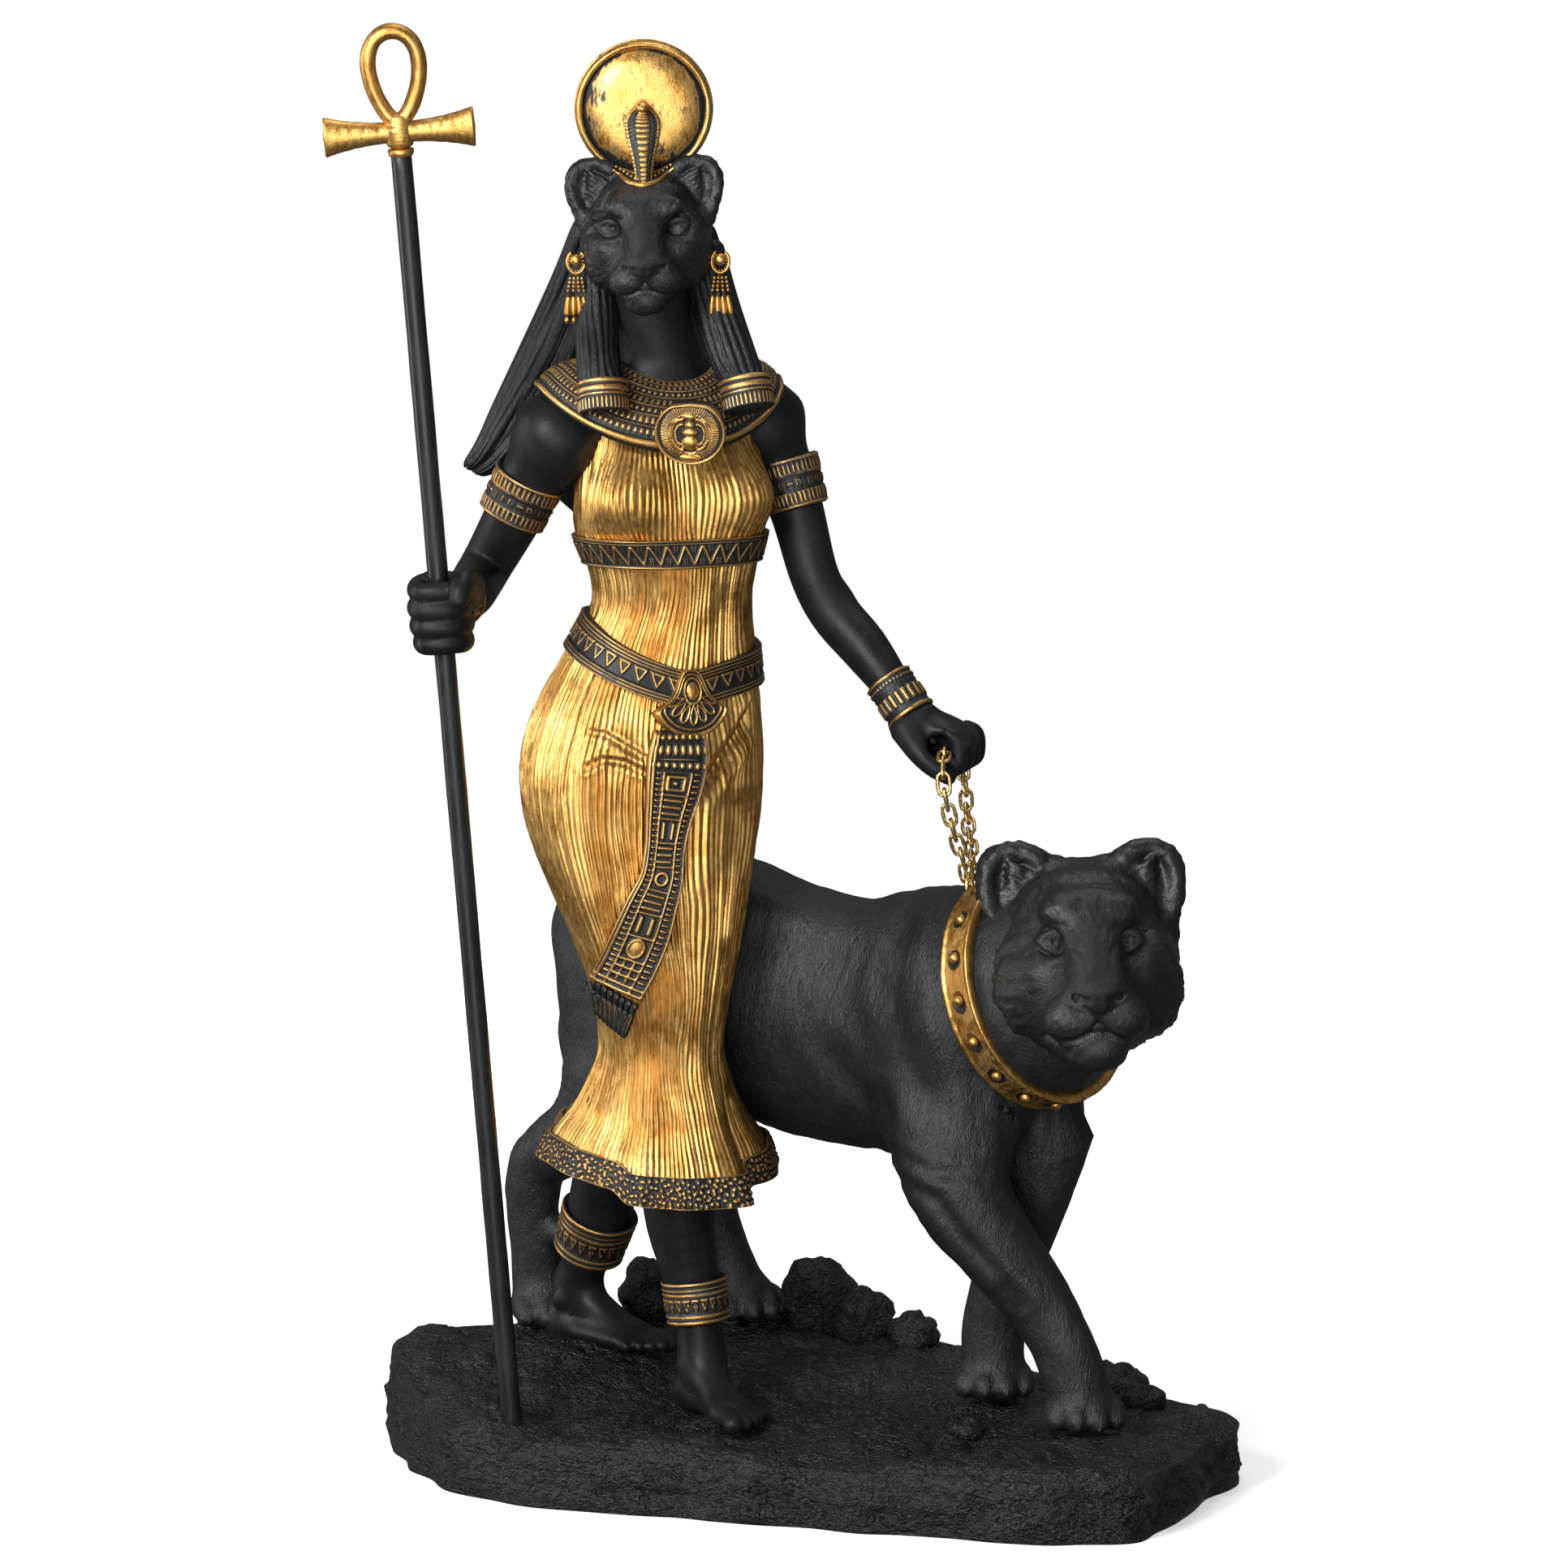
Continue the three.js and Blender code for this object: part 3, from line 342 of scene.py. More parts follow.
def ball(
    name: str,
    centre: Sequence[float],
    radii: Sequence[float],
    turn: Sequence[float] = (0, 0, 0),
    fine: int = 20,
) -> Piece:
    """A closed ball with three radii, turned by degrees about x, y and z."""
    bm = bmesh.new()
    bmesh.ops.create_uvsphere(bm, u_segments=fine, v_segments=fine // 2, radius=1)
    place = Matrix(turned(turn) @ np.diag(radii)).to_4x4()
    bmesh.ops.transform(bm, matrix=Matrix.Translation(centre) @ place, verts=bm.verts)
    return object_of(name, bm)


def joined(name: str, pieces: Iterable[Piece]) -> Piece:
    """Joins pieces into one object, and removes the pieces."""
    pieces = list(pieces)
    bm = bmesh.new()
    raised = any("relief" in p.data.attributes for p in pieces)
    for piece in pieces:
        if raised and "relief" not in piece.data.attributes:
            raise_all(piece)
        bm.from_mesh(piece.data)
        bpy.data.objects.remove(piece)
    return object_of(name, bm)


def many_balls(name: str, centres: Table, radii: float | Sequence[float], fine: int = 8) -> Piece:
    """Small round beads of one radius, or of three."""
    bm = bmesh.new()
    for centre, size in zip(centres, np.broadcast_to(radii, (len(centres), 3))):
        made = bmesh.ops.create_uvsphere(bm, u_segments=fine, v_segments=fine - 2, radius=1)
        place = Matrix.Translation(centre) @ Matrix.Diagonal((*size, 1))
        bmesh.ops.transform(bm, matrix=place, verts=made["verts"])
    return object_of(name, bm)


def settle(
    piece: Piece, finish: "Finish", slot: Slot, node: str = STATUE
) -> Piece:
    """Puts a piece in metres, dresses it, and binds it to the frame.

    Args:
        piece: The object, in millimetres.
        finish: Its finish.
        slot: The material slot that the finish stands for. It is not used.
        node: The node that the piece stands for.

    Returns:
        The same object.
    """
    piece.data.transform(Matrix.Scale(MM, 4))
    piece.data.polygons.foreach_set("use_smooth", np.ones(len(piece.data.polygons), bool))
    piece.data.materials.clear()
    piece.data.materials.append(finish.material())
    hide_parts(node)
    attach(piece, "root")
    LOG.info("%s: %d faces", piece.name, len(piece.data.polygons))
    return piece


# Clay: masses that run into each other


@dataclass
class Limb:
    """A mass along rows of x, y, z and two half widths. soft is how far it runs into its neighbours."""

    rows: Table
    aside: Sequence[float] = (1, 0, 0)
    soft: float = 2.0
    cut: bool = False
    combed: bool = True
    steps: int = 22

    def __post_init__(self) -> None:
        """Works out the stations along the limb."""
        self.stations = rows_at(full_rows(self.rows), np.linspace(0, 1, self.steps + 1))
        self.path = self.stations[:, :3]
        self.half = np.maximum(self.stations[:, 3:], THINNEST)
        self.along, self.side, self.out = rod_frames(self.path, self.aside)
        self.run = np.r_[0, np.cumsum(np.linalg.norm(np.diff(self.path, axis=0), axis=1))]

    def reach(self) -> Pair:
        """The lowest and highest corners of the limb's room."""
        most = self.half.max() + 1
        return self.path.min(0) - most, self.path.max(0) + most

    def measure(self, points: Array) -> Pair:
        """Signed distances of points, and their places along, beside and out of the limb."""
        best = np.full(len(points), 1e6)
        comb = np.zeros((len(points), 3))
        for i in range(self.steps):
            span = self.path[i + 1] - self.path[i]
            length = max(float(span @ span), 1e-9)
            t = np.clip((points - self.path[i]) @ span / length, 0, 1)
            off = points - self.path[i] - t[:, None] * span
            half = self.half[i] + t[:, None] * (self.half[i + 1] - self.half[i])
            parts = np.stack(
                [off @ self.side[i], off @ self.out[i], off @ self.along[i]], axis=-1
            )
            sizes = np.column_stack([half, half.min(1) * 0.75])
            q = np.sqrt(((parts / sizes) ** 2).sum(1))
            slope = np.sqrt(((parts / sizes**2) ** 2).sum(1))
            gap = np.where(q < 1e-3, -half.min(1), q * (q - 1) / np.maximum(slope, 1e-9))
            nearer = gap < best
            best = np.where(nearer, gap, best)
            place = self.run[i] + t * math.sqrt(length) + parts[:, 2]
            comb[nearer] = np.column_stack([place, parts[:, 0], parts[:, 1]])[nearer]
        return best, comb

    def primitive(self) -> Piece:
        """A plain closed mesh of the limb."""
        return rod("limb", np.column_stack([self.path, self.half]), 18, 3 * self.steps // 2, self.aside)


@dataclass
class Ball:
    """A ball with three radii, turned by degrees about x, y and z."""

    centre: Sequence[float]
    radii: Sequence[float]
    turn: Sequence[float] = (0, 0, 0)
    soft: float = 2.0
    cut: bool = False
    combed: bool = False

    def reach(self) -> Pair:
        """The lowest and highest corners of the ball's room."""
        most = max(self.radii) + 1
        return np.array(self.centre) - most, np.array(self.centre) + most

    def measure(self, points: Array) -> Pair:
        """Signed distances of points, and their places in the ball."""
        parts = (points - np.array(self.centre)) @ turned(self.turn)
        sizes = np.array(self.radii, float)
        q = np.sqrt(((parts / sizes) ** 2).sum(1))
        slope = np.sqrt(((parts / sizes**2) ** 2).sum(1))
        gap = np.where(q < 1e-3, -sizes.min(), q * (q - 1) / np.maximum(slope, 1e-9))
        return gap, parts

    def primitive(self) -> Piece:
        """A plain closed mesh of the ball."""
        return ball("ball", self.centre, self.radii, self.turn)


Form = Limb | Ball


def mirrored(form: Form) -> Form:
    """The same form on the other side of x = 0."""
    if isinstance(form, Limb):
        rows = [(-r[0], *r[1:]) for r in form.rows]
        return Limb(rows, form.aside, form.soft, form.cut, form.combed, form.steps)
    centre = (-form.centre[0], *form.centre[1:])
    turn = (form.turn[0], -form.turn[1], -form.turn[2])
    return Ball(centre, form.radii, turn, form.soft, form.cut, form.combed)


@dataclass
class Clay:
    """Forms that run softly into each other, and the one skin over them."""

    forms: list[Form] = field(default_factory=list)
    room: float = 1.5
    most_step: float = 1.5
    step_share: float = 0.9
    smoothing: float = 0.5
    last_smoothing: float = 0.25

    def measure(self, points: Array) -> Array:
        """Signed distances of points from the skin."""
        total = np.full(len(points), 1e3)
        for form in self.forms:
            low, high = form.reach()
            room = form.soft + self.room
            inside = np.all((points > low - room) & (points < high + room), axis=1)
            if not inside.any():
                continue
            gap = form.measure(points[inside])[0] * (-1 if form.cut else 1)
            here = total[inside]
            blend = np.clip(1 - np.abs(here - gap) / form.soft, 0, 1) ** 2 * form.soft / 4
            if form.cut:
                total[inside] = np.maximum(here, gap) + blend
                continue
            total[inside] = np.minimum(here, gap) - blend
        return total

    def comb(self, points: Array) -> Array:
        """Places along, beside and out of the limb that lies nearest to each point."""
        nearest = np.full(len(points), 1e3)
        comb = np.zeros((len(points), 3))
        for form in self.forms:
            if not form.combed or form.cut:
                continue
            gap, places = form.measure(points)
            closer = gap < nearest
            nearest[closer] = gap[closer]
            comb[closer] = places[closer]
        return comb

    def skin(self, name: str, voxel: float, rounds: int = 4) -> Piece:
        """One mesh over the forms.

        Args:
            name: The object's name.
            voxel: The size of its faces.
            rounds: How often the points are drawn to the skin.

        Returns:
            The object, in millimetres.
        """
        rough = joined(name + "_rough", [f.primitive() for f in self.forms if not f.cut])
        cells = rough.modifiers.new("cells", "REMESH")
        cells.mode = "VOXEL"
        cells.voxel_size = voxel
        graph = bpy.context.evaluated_depsgraph_get()
        mesh = bpy.data.meshes.new_from_object(rough.evaluated_get(graph))
        bpy.data.objects.remove(rough)
        made = bpy.data.objects.new(name, mesh)
        bpy.context.scene.collection.objects.link(made)
        edges = np.empty(len(mesh.edges) * 2, int)
        mesh.edges.foreach_get("vertices", edges)
        ends = edges.reshape(-1, 2)
        for k in range(rounds):
            share = self.smoothing if k < rounds - 1 else self.last_smoothing
            points = spread_out(read_points(mesh), ends, share)
            write_points(mesh, points)
            step = np.clip(self.measure(points), -self.most_step, self.most_step) * self.step_share
            write_points(mesh, points - read_normals(mesh) * step[:, None])
        keep_values(mesh, "comb", self.comb(read_points(mesh)))
        return made


def spread_out(values: Array, ends: Array, share: float) -> Array:
    """Moves each point's values part of the way to the mean of its neighbours."""
    count = np.bincount(ends.ravel(), minlength=len(values))
    flat = values if values.ndim == 2 else values[:, None]
    mean = np.empty_like(flat)
    for k in range(flat.shape[1]):
        pulled = np.bincount(ends[:, 0], flat[ends[:, 1], k], len(flat))
        pulled += np.bincount(ends[:, 1], flat[ends[:, 0], k], len(flat))
        mean[:, k] = pulled / np.maximum(count, 1)
    moved = flat + (mean - flat) * share
    return moved if values.ndim == 2 else moved[:, 0]


def pushed(piece: Piece, out: Array) -> None:
    """Moves a piece's points out along their normals."""
    points, normals = read_points(piece.data), read_normals(piece.data)
    write_points(piece.data, points + normals * out[:, None])


def gap_to_line(points: Array, line: Table) -> Pair:
    """Distances of flat points from a line of flat points, and their share along it."""
    best = np.full(len(points), 1e6)
    share = np.zeros(len(points))
    corners = np.asarray(line, float)
    for i, (a, b) in enumerate(zip(corners, corners[1:])):
        span = b - a
        t = np.clip((points - a) @ span / max(float(span @ span), 1e-9), 0, 1)
        gap = np.linalg.norm(points - a - t[:, None] * span, axis=1)
        share = np.where(gap < best, (i + t) / (len(corners) - 1), share)
        best = np.minimum(best, gap)
    return best, share


# Finishes

Feed = "Socket | float | Sequence[float]"


class Graph:
    """Adds nodes to a tree and joins them up."""

    def __init__(self, tree: bpy.types.NodeTree) -> None:
        """Keeps the tree."""
        self.tree = tree

    def feed(self, node: bpy.types.Node, key: str | int, value: Feed) -> None:
        """Sets or joins one socket of a node."""
        if isinstance(value, Socket):
            self.tree.links.new(value, node.inputs[key])
        else:
            node.inputs[key].default_value = value

    def node(self, kind: str, feeds: dict | None = None, **settings: object) -> bpy.types.Node:
        """Adds a node, sets it and feeds its sockets with values or other sockets."""
        made = self.tree.nodes.new(kind)
        for key, value in settings.items():
            setattr(made, key, value)
        for key, value in (feeds or {}).items():
            self.feed(made, key, value)
        return made

    def group(self, tree: bpy.types.NodeTree, **feeds: Feed) -> bpy.types.Node:
        """Adds a node for a group and feeds it."""
        return self.node("ShaderNodeGroup", feeds, node_tree=tree)

    def bump(self, height: Feed, deep: float, under: Socket | None = None) -> Socket:
        """A normal bent by a height of so many millimetres, over another normal."""
        feeds = {"Height": height, "Strength": 1.0, "Distance": deep * MM}
        if under is not None:
            feeds["Normal"] = under
        return self.node("ShaderNodeBump", feeds).outputs[0]

    def maths(self, work: str, a: Feed, b: Feed = 0.0, c: Feed = 0.0) -> Socket:
        """The result of a sum on values."""
        return self.node("ShaderNodeMath", {0: a, 1: b, 2: c}, operation=work).outputs[0]

    def scaled(self, vector: Feed, by: Sequence[float]) -> Socket:
        """A vector times another, part by part."""
        made = self.node("ShaderNodeVectorMath", {0: vector, 1: by}, operation="MULTIPLY")
        return made.outputs[0]

    def cloud(self, vector: Feed, scale: Feed, detail: float = 3, rough: float = 0.55) -> Socket:
        """Noise from 0 to 1."""
        feeds = {"Vector": vector, "Scale": scale, "Detail": detail, "Roughness": rough}
        return self.node("ShaderNodeTexNoise", feeds).outputs[0]

    def ranged(self, value: Feed, low: Feed, high: Feed, to: tuple[float, float] = (0, 1)) -> Socket:
        """A value eased from one range to another."""
        feeds = {0: value, 1: low, 2: high, 3: to[0], 4: to[1]}
        made = self.node("ShaderNodeMapRange", feeds, interpolation_type="SMOOTHSTEP")
        return made.outputs[0]

    def tint(self, share: Feed, low: Feed, high: Feed) -> Socket:
        """A colour between two."""
        made = self.node("ShaderNodeMix", {0: share, 6: low, 7: high}, data_type="RGBA")
        return made.outputs[2]


def shader_group(
    name: str, takes: dict[str, str], gives: Sequence[str], build: Callable[[Graph, dict], dict]
) -> bpy.types.NodeTree:
    """A node group that several finishes share, built once.

    Args:
        name: The group's name.
        takes: The inputs and their kinds.
        gives: The outputs, all values.
        build: Adds the nodes for the inputs, and returns the sockets for the outputs.

    Returns:
        The group.
    """
    if name in bpy.data.node_groups:
        return bpy.data.node_groups[name]
    tree = bpy.data.node_groups.new(name, "ShaderNodeTree")
    for key, kind in takes.items():
        tree.interface.new_socket(key, in_out="INPUT", socket_type=kind)
    for key in gives:
        tree.interface.new_socket(key, in_out="OUTPUT", socket_type="NodeSocketFloat")
    graph = Graph(tree)
    entry = graph.node("NodeGroupInput")
    made = build(graph, {key: entry.outputs[key] for key in takes})
    graph.node("NodeGroupOutput", made)
    return tree


def combed_coat() -> bpy.types.NodeTree:
    """Fine strokes that run along a carved limb: hair on the lioness, strands on the wig."""

    def build(g: Graph, at: dict) -> dict:
        """Adds the strokes and the broader locks."""
        drawn = g.scaled(at["Comb"], (0.22, 1, 1))
        bent = g.cloud(g.scaled(at["Comb"], (0.2, 0.2, 0.2)), 1.0, 2)
        shift = g.node("ShaderNodeVectorMath", {0: drawn, 1: bent}, operation="ADD").outputs[0]
        fine = g.cloud(shift, at["Fine"], 2, 0.6)
        locks = g.cloud(shift, g.maths("MULTIPLY", at["Fine"], 0.35), 2, 0.5)
        sharp = g.maths("ABSOLUTE", g.maths("SUBTRACT", fine, 0.5))
        height = g.maths("ADD", g.maths("MULTIPLY", sharp, -1.6), g.maths("MULTIPLY", locks, 0.9))
        return {"Height": height, "Locks": locks}

    kinds = {"Comb": "NodeSocketVector", "Fine": "NodeSocketFloat"}
    return shader_group("combed_coat", kinds, ("Height", "Locks"), build)


def cast_grain() -> bpy.types.NodeTree:
    """The faint grain, pits and cloudiness of cast resin."""

    def build(g: Graph, at: dict) -> dict:
        """Adds the grain, the pits and the clouds."""
        point = g.scaled(at["Point"], TO_MM)
        grain = g.cloud(point, at["Size"], 4, 0.6)
        pits = g.ranged(g.cloud(point, 1.3, 2), 0.62, 0.75)
        height = g.maths("SUBTRACT", grain, g.maths("MULTIPLY", pits, 0.5))
        return {"Height": height, "Mottle": g.ranged(g.cloud(point, 0.11, 4), 0.3, 0.72)}

    kinds = {"Point": "NodeSocketVector", "Size": "NodeSocketFloat"}
    return shader_group("cast_grain", kinds, ("Height", "Mottle"), build)


def broken_stone() -> bpy.types.NodeTree:
    """Thin flakes and sharp chips of broken rock."""

    def build(g: Graph, at: dict) -> dict:
        """Adds the flakes and chips."""
        point = g.scaled(at["Point"], (1000, 1000, 1600))
        layers = g.maths("MULTIPLY", g.cloud(point, 0.16, 4, 0.62), 7.0)
        step = g.ranged(g.maths("FRACT", layers), 0.0, 0.3)
        chips = g.maths("ABSOLUTE", g.maths("SUBTRACT", g.cloud(point, 0.5, 3, 0.6), 0.5))
        return {"Height": g.maths("MULTIPLY_ADD", chips, -2.2, g.maths("MULTIPLY", step, 0.6))}

    return shader_group("broken_stone", {"Point": "NodeSocketVector"}, ("Height",), build)


def rubbed_gilt() -> bpy.types.NodeTree:
    """Where gold paint lies: on what stands up, thin in the recesses, rubbed off in patches."""

    def build(g: Graph, at: dict) -> dict:
        """Adds the mask of the paint and its streaks."""
        point = g.scaled(at["Point"], TO_MM)
        drawn = g.scaled(point, (1.0, 1.0, 0.25))
        streak = g.cloud(drawn, 1.4, 4, 0.65)
        patch = g.cloud(point, 0.16, 4, 0.6)
        wear = g.maths("SUBTRACT", g.maths("MULTIPLY_ADD", patch, 1.4, streak), 1.05)
        loss = g.maths("MULTIPLY", at["Rub"], wear)
        laid = g.maths("SUBTRACT", at["Relief"], loss)
        edge = g.maths("SUBTRACT", 1.0, at["Cover"])
        mask = g.ranged(laid, g.maths("SUBTRACT", edge, 0.16), g.maths("ADD", edge, 0.16))
        return {"Mask": mask, "Streak": streak, "Patch": patch}

    kinds = {"Point": "NodeSocketVector", **{k: "NodeSocketFloat" for k in ("Relief", "Cover", "Rub")}}
    return shader_group("rubbed_gilt", kinds, ("Mask", "Streak", "Patch"), build)


class Finish:
    """A finish, whose material is built once."""

    name: str

    def material(self) -> bpy.types.Material:
        """The finish's material."""
        made = bpy.data.materials.get(self.name)
        if made is None:
            made = bpy.data.materials.new(self.name)
            made.use_nodes = True
            graph = Graph(made.node_tree)
            self.dress(graph, made.node_tree.nodes["Principled BSDF"])
        return made

    def dress(self, g: Graph, coat: bpy.types.Node) -> None:
        """Feeds the material's shader."""
        raise NotImplementedError


@dataclass(frozen=True)
class Resin(Finish):
    """Black cast resin with a satin face.

    hair is the depth of the carved hair, fine its strokes to a millimetre, and flakes the depth of broken
    stone.
    """

    name: str
    dark: Colour = (0.0055, 0.0066, 0.0082, 1)
    pale: Colour = (0.0105, 0.0122, 0.0148, 1)
    rough: float = 0.46
    hair: float = 0.0
    fine: float = 1.6
    grain: float = 0.05
    flakes: float = 0.0
    shine: float = 0.36
    grain_size: float = 2.2
    rough_spread: tuple[float, float] = (-0.05, 0.06)

    def dress(self, g: Graph, coat: bpy.types.Node) -> None:
        """Feeds the material's shader."""
        point = g.node("ShaderNodeTexCoord").outputs["Object"]
        cast = g.group(cast_grain(), Point=point, Size=self.grain_size)
        share = cast.outputs["Mottle"]
        bump = g.bump(cast.outputs["Height"], self.grain)
        if self.flakes:
            broken = g.group(broken_stone(), Point=point)
            bump = g.bump(broken.outputs["Height"], self.flakes, bump)
        if self.hair:
            comb = g.node("ShaderNodeAttribute", attribute_name="comb")
            strokes = g.group(combed_coat(), Comb=comb.outputs["Vector"], Fine=self.fine)
            bump = g.bump(strokes.outputs["Height"], self.hair, bump)
            share = g.maths("MULTIPLY_ADD", strokes.outputs["Locks"], 0.5, g.maths("MULTIPLY", share, 0.5))
        low, high = self.rough_spread
        g.feed(coat, "Base Color", g.tint(share, self.dark, self.pale))
        g.feed(coat, "Roughness", g.ranged(share, 0.0, 1.0, (self.rough + low, self.rough + high)))
        g.feed(coat, "Normal", bump)
        g.feed(coat, "Specular IOR Level", self.shine)


@dataclass(frozen=True)
class Gilt(Finish):
    """Gold paint rubbed over black, after the stored relief.

    cover is how low the paint reaches, and rub how worn it is.
    """

    name: str
    gold: Colour = (0.84, 0.50, 0.155, 1)
    deep: Colour = (0.46, 0.215, 0.045, 1)
    dark: Colour = (0.008, 0.0078, 0.0078, 1)
    cover: float = 0.5
    rub: float = 0.5
    rough: float = 0.34
    grain: float = 0.06
    grain_size: float = 3.0
    rough_spread: tuple[float, float] = (-0.06, 0.12)
    bare_rough: float = 0.5
    metal: float = 0.96

    def dress(self, g: Graph, coat: bpy.types.Node) -> None:
        """Feeds the material's shader."""
        point = g.node("ShaderNodeTexCoord").outputs["Object"]
        relief = g.node("ShaderNodeAttribute", attribute_name="relief")
        feeds = {"Point": point, "Relief": relief.outputs["Fac"], "Cover": self.cover, "Rub": self.rub}
        paint = g.group(rubbed_gilt(), **feeds)
        mask, streak, patch = (paint.outputs[k] for k in ("Mask", "Streak", "Patch"))
        cast = g.group(cast_grain(), Point=point, Size=self.grain_size)
        tone = g.ranged(g.maths("MULTIPLY_ADD", patch, 0.6, g.maths("MULTIPLY", streak, 0.5)), 0.38, 0.68)
        gold = g.tint(tone, self.deep, self.gold)
        low, high = self.rough_spread
        spread = g.ranged(streak, 0.3, 0.7, (self.rough + low, self.rough + high))
        rough = g.node("ShaderNodeMix", {0: mask, 2: self.bare_rough, 3: spread}, data_type="FLOAT")
        g.feed(coat, "Base Color", g.tint(mask, self.dark, gold))
        g.feed(coat, "Metallic", g.maths("MULTIPLY", mask, self.metal))
        g.feed(coat, "Roughness", rough.outputs[0])
        g.feed(coat, "Normal", g.bump(cast.outputs["Height"], self.grain))


@dataclass(frozen=True)
class Backdrop(Finish):
    """Pale paper that glows evenly away from the figures, so that it runs into the white behind."""

    name: str = "pale_paper"
    tone: Colour = (0.9, 0.9, 0.9, 1)

    def dress(self, g: Graph, coat: bpy.types.Node) -> None:
        """Feeds the material's shader."""
        point = g.node("ShaderNodeTexCoord").outputs["Object"]
        far = g.node("ShaderNodeVectorMath", {0: point}, operation="LENGTH").outputs["Value"]
        shaded = tuple(0.98 * c for c in self.tone)
        g.feed(coat, "Base Color", g.tint(g.cloud(point, 40.0, 2), self.tone, shaded))
        g.feed(coat, "Roughness", 0.9)
        g.feed(coat, "Specular IOR Level", 0.0)
        g.feed(coat, "Emission Color", (1, 1, 1, 1))
        g.feed(coat, "Emission Strength", g.ranged(far, 0.1, 0.42, (0.5, 1.1)))


SKIN = Resin("black_resin", shine=0.22)
HIDE = Resin("black_resin_combed", hair=0.3, fine=1.7, rough=0.5, shine=0.46)
FACE = Resin("black_resin_face", hair=0.14, fine=2.4, rough=0.42, shine=0.46)
STRANDS = Resin("black_resin_strands", hair=0.14, fine=2.6, rough=0.36, shine=0.3)
STONE = Resin("black_resin_stone", grain=0.25, rough=0.36, flakes=0.9, shine=0.46)
ROD = Resin("black_staff", grain=0.02, rough=0.42, shine=0.5)
CLOTH = Gilt("gilt_cloth", dark=(0.055, 0.022, 0.006, 1), cover=0.76, rub=0.12, rough=0.33)
TRIM = Gilt("gilt_trim", gold=(0.70, 0.42, 0.15, 1), cover=0.37, rub=0.5, rough=0.38)
JEWEL = Gilt("gilt_jewel", gold=(0.74, 0.45, 0.15, 1), cover=0.6, rub=0.4, rough=0.34)
DISC = Gilt("gilt_disc", cover=0.66, rub=1.15, rough=0.33)
STRAP = Gilt("gilt_strap", cover=0.7, rub=0.9, rough=0.34)
ANKH = Gilt("gilt_ankh", gold=(0.70, 0.41, 0.12, 1), cover=0.8, rub=0.35, rough=0.36)
LINKS = Gilt(
    "gilt_links", gold=(0.86, 0.62, 0.26, 1), deep=(0.66, 0.42, 0.12, 1), cover=0.95, rub=0.1, rough=0.2
)


# Bands of ornament


class Motif(Enum):
    """What a row of ornament repeats."""

    EDGE = "edge"
    BEADS = "beads"
    BARS = "bars"
    ZIGZAG = "zigzag"
    TRIANGLES = "triangles"
    SIGNS = "signs"
    FLOWERS = "flowers"


def box(values: Array, low: float, high: float, soft: float = 0.08) -> Array:
    """1 between two values, with soft ends."""
    return smoothstep(values, low - soft, low + soft) * (1 - smoothstep(values, high - soft, high + soft))


def stroke(gap: Array, half: float) -> Array:
    """A rounded stroke for distances from its middle."""
    return np.sqrt(np.clip(1 - (gap / half) ** 2, 0, 1))


def sign(kind: Array, f: Array, y: Array) -> Array:
    """Plain strokes that stand for no letter: bars, a ring, a box, a cross or a chevron.

    Args:
        kind: A value from 0 to 1 that chooses the strokes.
        f: Places across the cell, from -0.5 to 0.5.
        y: Places up the cell, from 0 to 1.

    Returns:
        Heights from 0 to 1.
    """
    c = y - 0.5
    inside = box(np.abs(f), -1, 0.36, 0.03) * box(np.abs(c), -1, 0.36, 0.03)
    bars = np.maximum(stroke(f - 0.2, 0.09), stroke(f + 0.2, 0.09))
    lines = np.maximum.reduce([stroke(c - k, 0.08) for k in (-0.28, 0.0, 0.28)])
    ring = stroke(np.hypot(f, c) - 0.25, 0.09)
    square = np.maximum(stroke(np.maximum(np.abs(f), np.abs(c)) - 0.28, 0.08), stroke(np.hypot(f, c), 0.1))
    cross = np.maximum(stroke(f, 0.09), stroke(c - 0.1, 0.08))
    chevron = stroke(c - 0.6 * np.abs(f) + 0.1, 0.1)
    choice = (kind * 5.999).astype(int)
    return np.choose(choice, [bars, lines, ring, square, cross, chevron]) * inside


def blossoms(across: Array, up: Array, repeats: int) -> Array:
    """Crowded small flowers of five loose petals, in two staggered rows a unit high."""
    best = np.zeros_like(across)
    for row in (-1, 0, 1, 2):
        for step in (-1, 0, 1):
            column = np.floor(across - 0.5 * (row % 2)) + step
            number = column % repeats
            x = across - column - 0.5 - 0.5 * (row % 2) + 0.3 * (number_hash(number, 3, row) - 0.5)
            z = up - row - 0.5 + 0.24 * (number_hash(number, 5, row) - 0.5)
            far = np.hypot(x, z)
            petal = (np.arctan2(z, x) * 5 / TURN + number_hash(number, 4, row)) % 1 - 0.5
            leaf = np.sqrt(np.clip(1 - ((far - 0.36) / 0.23) ** 2 - (petal / 0.36) ** 2, 0, 1))
            best = np.maximum(best, np.maximum(leaf, 0.9 * stroke(far, 0.1)))
    return best


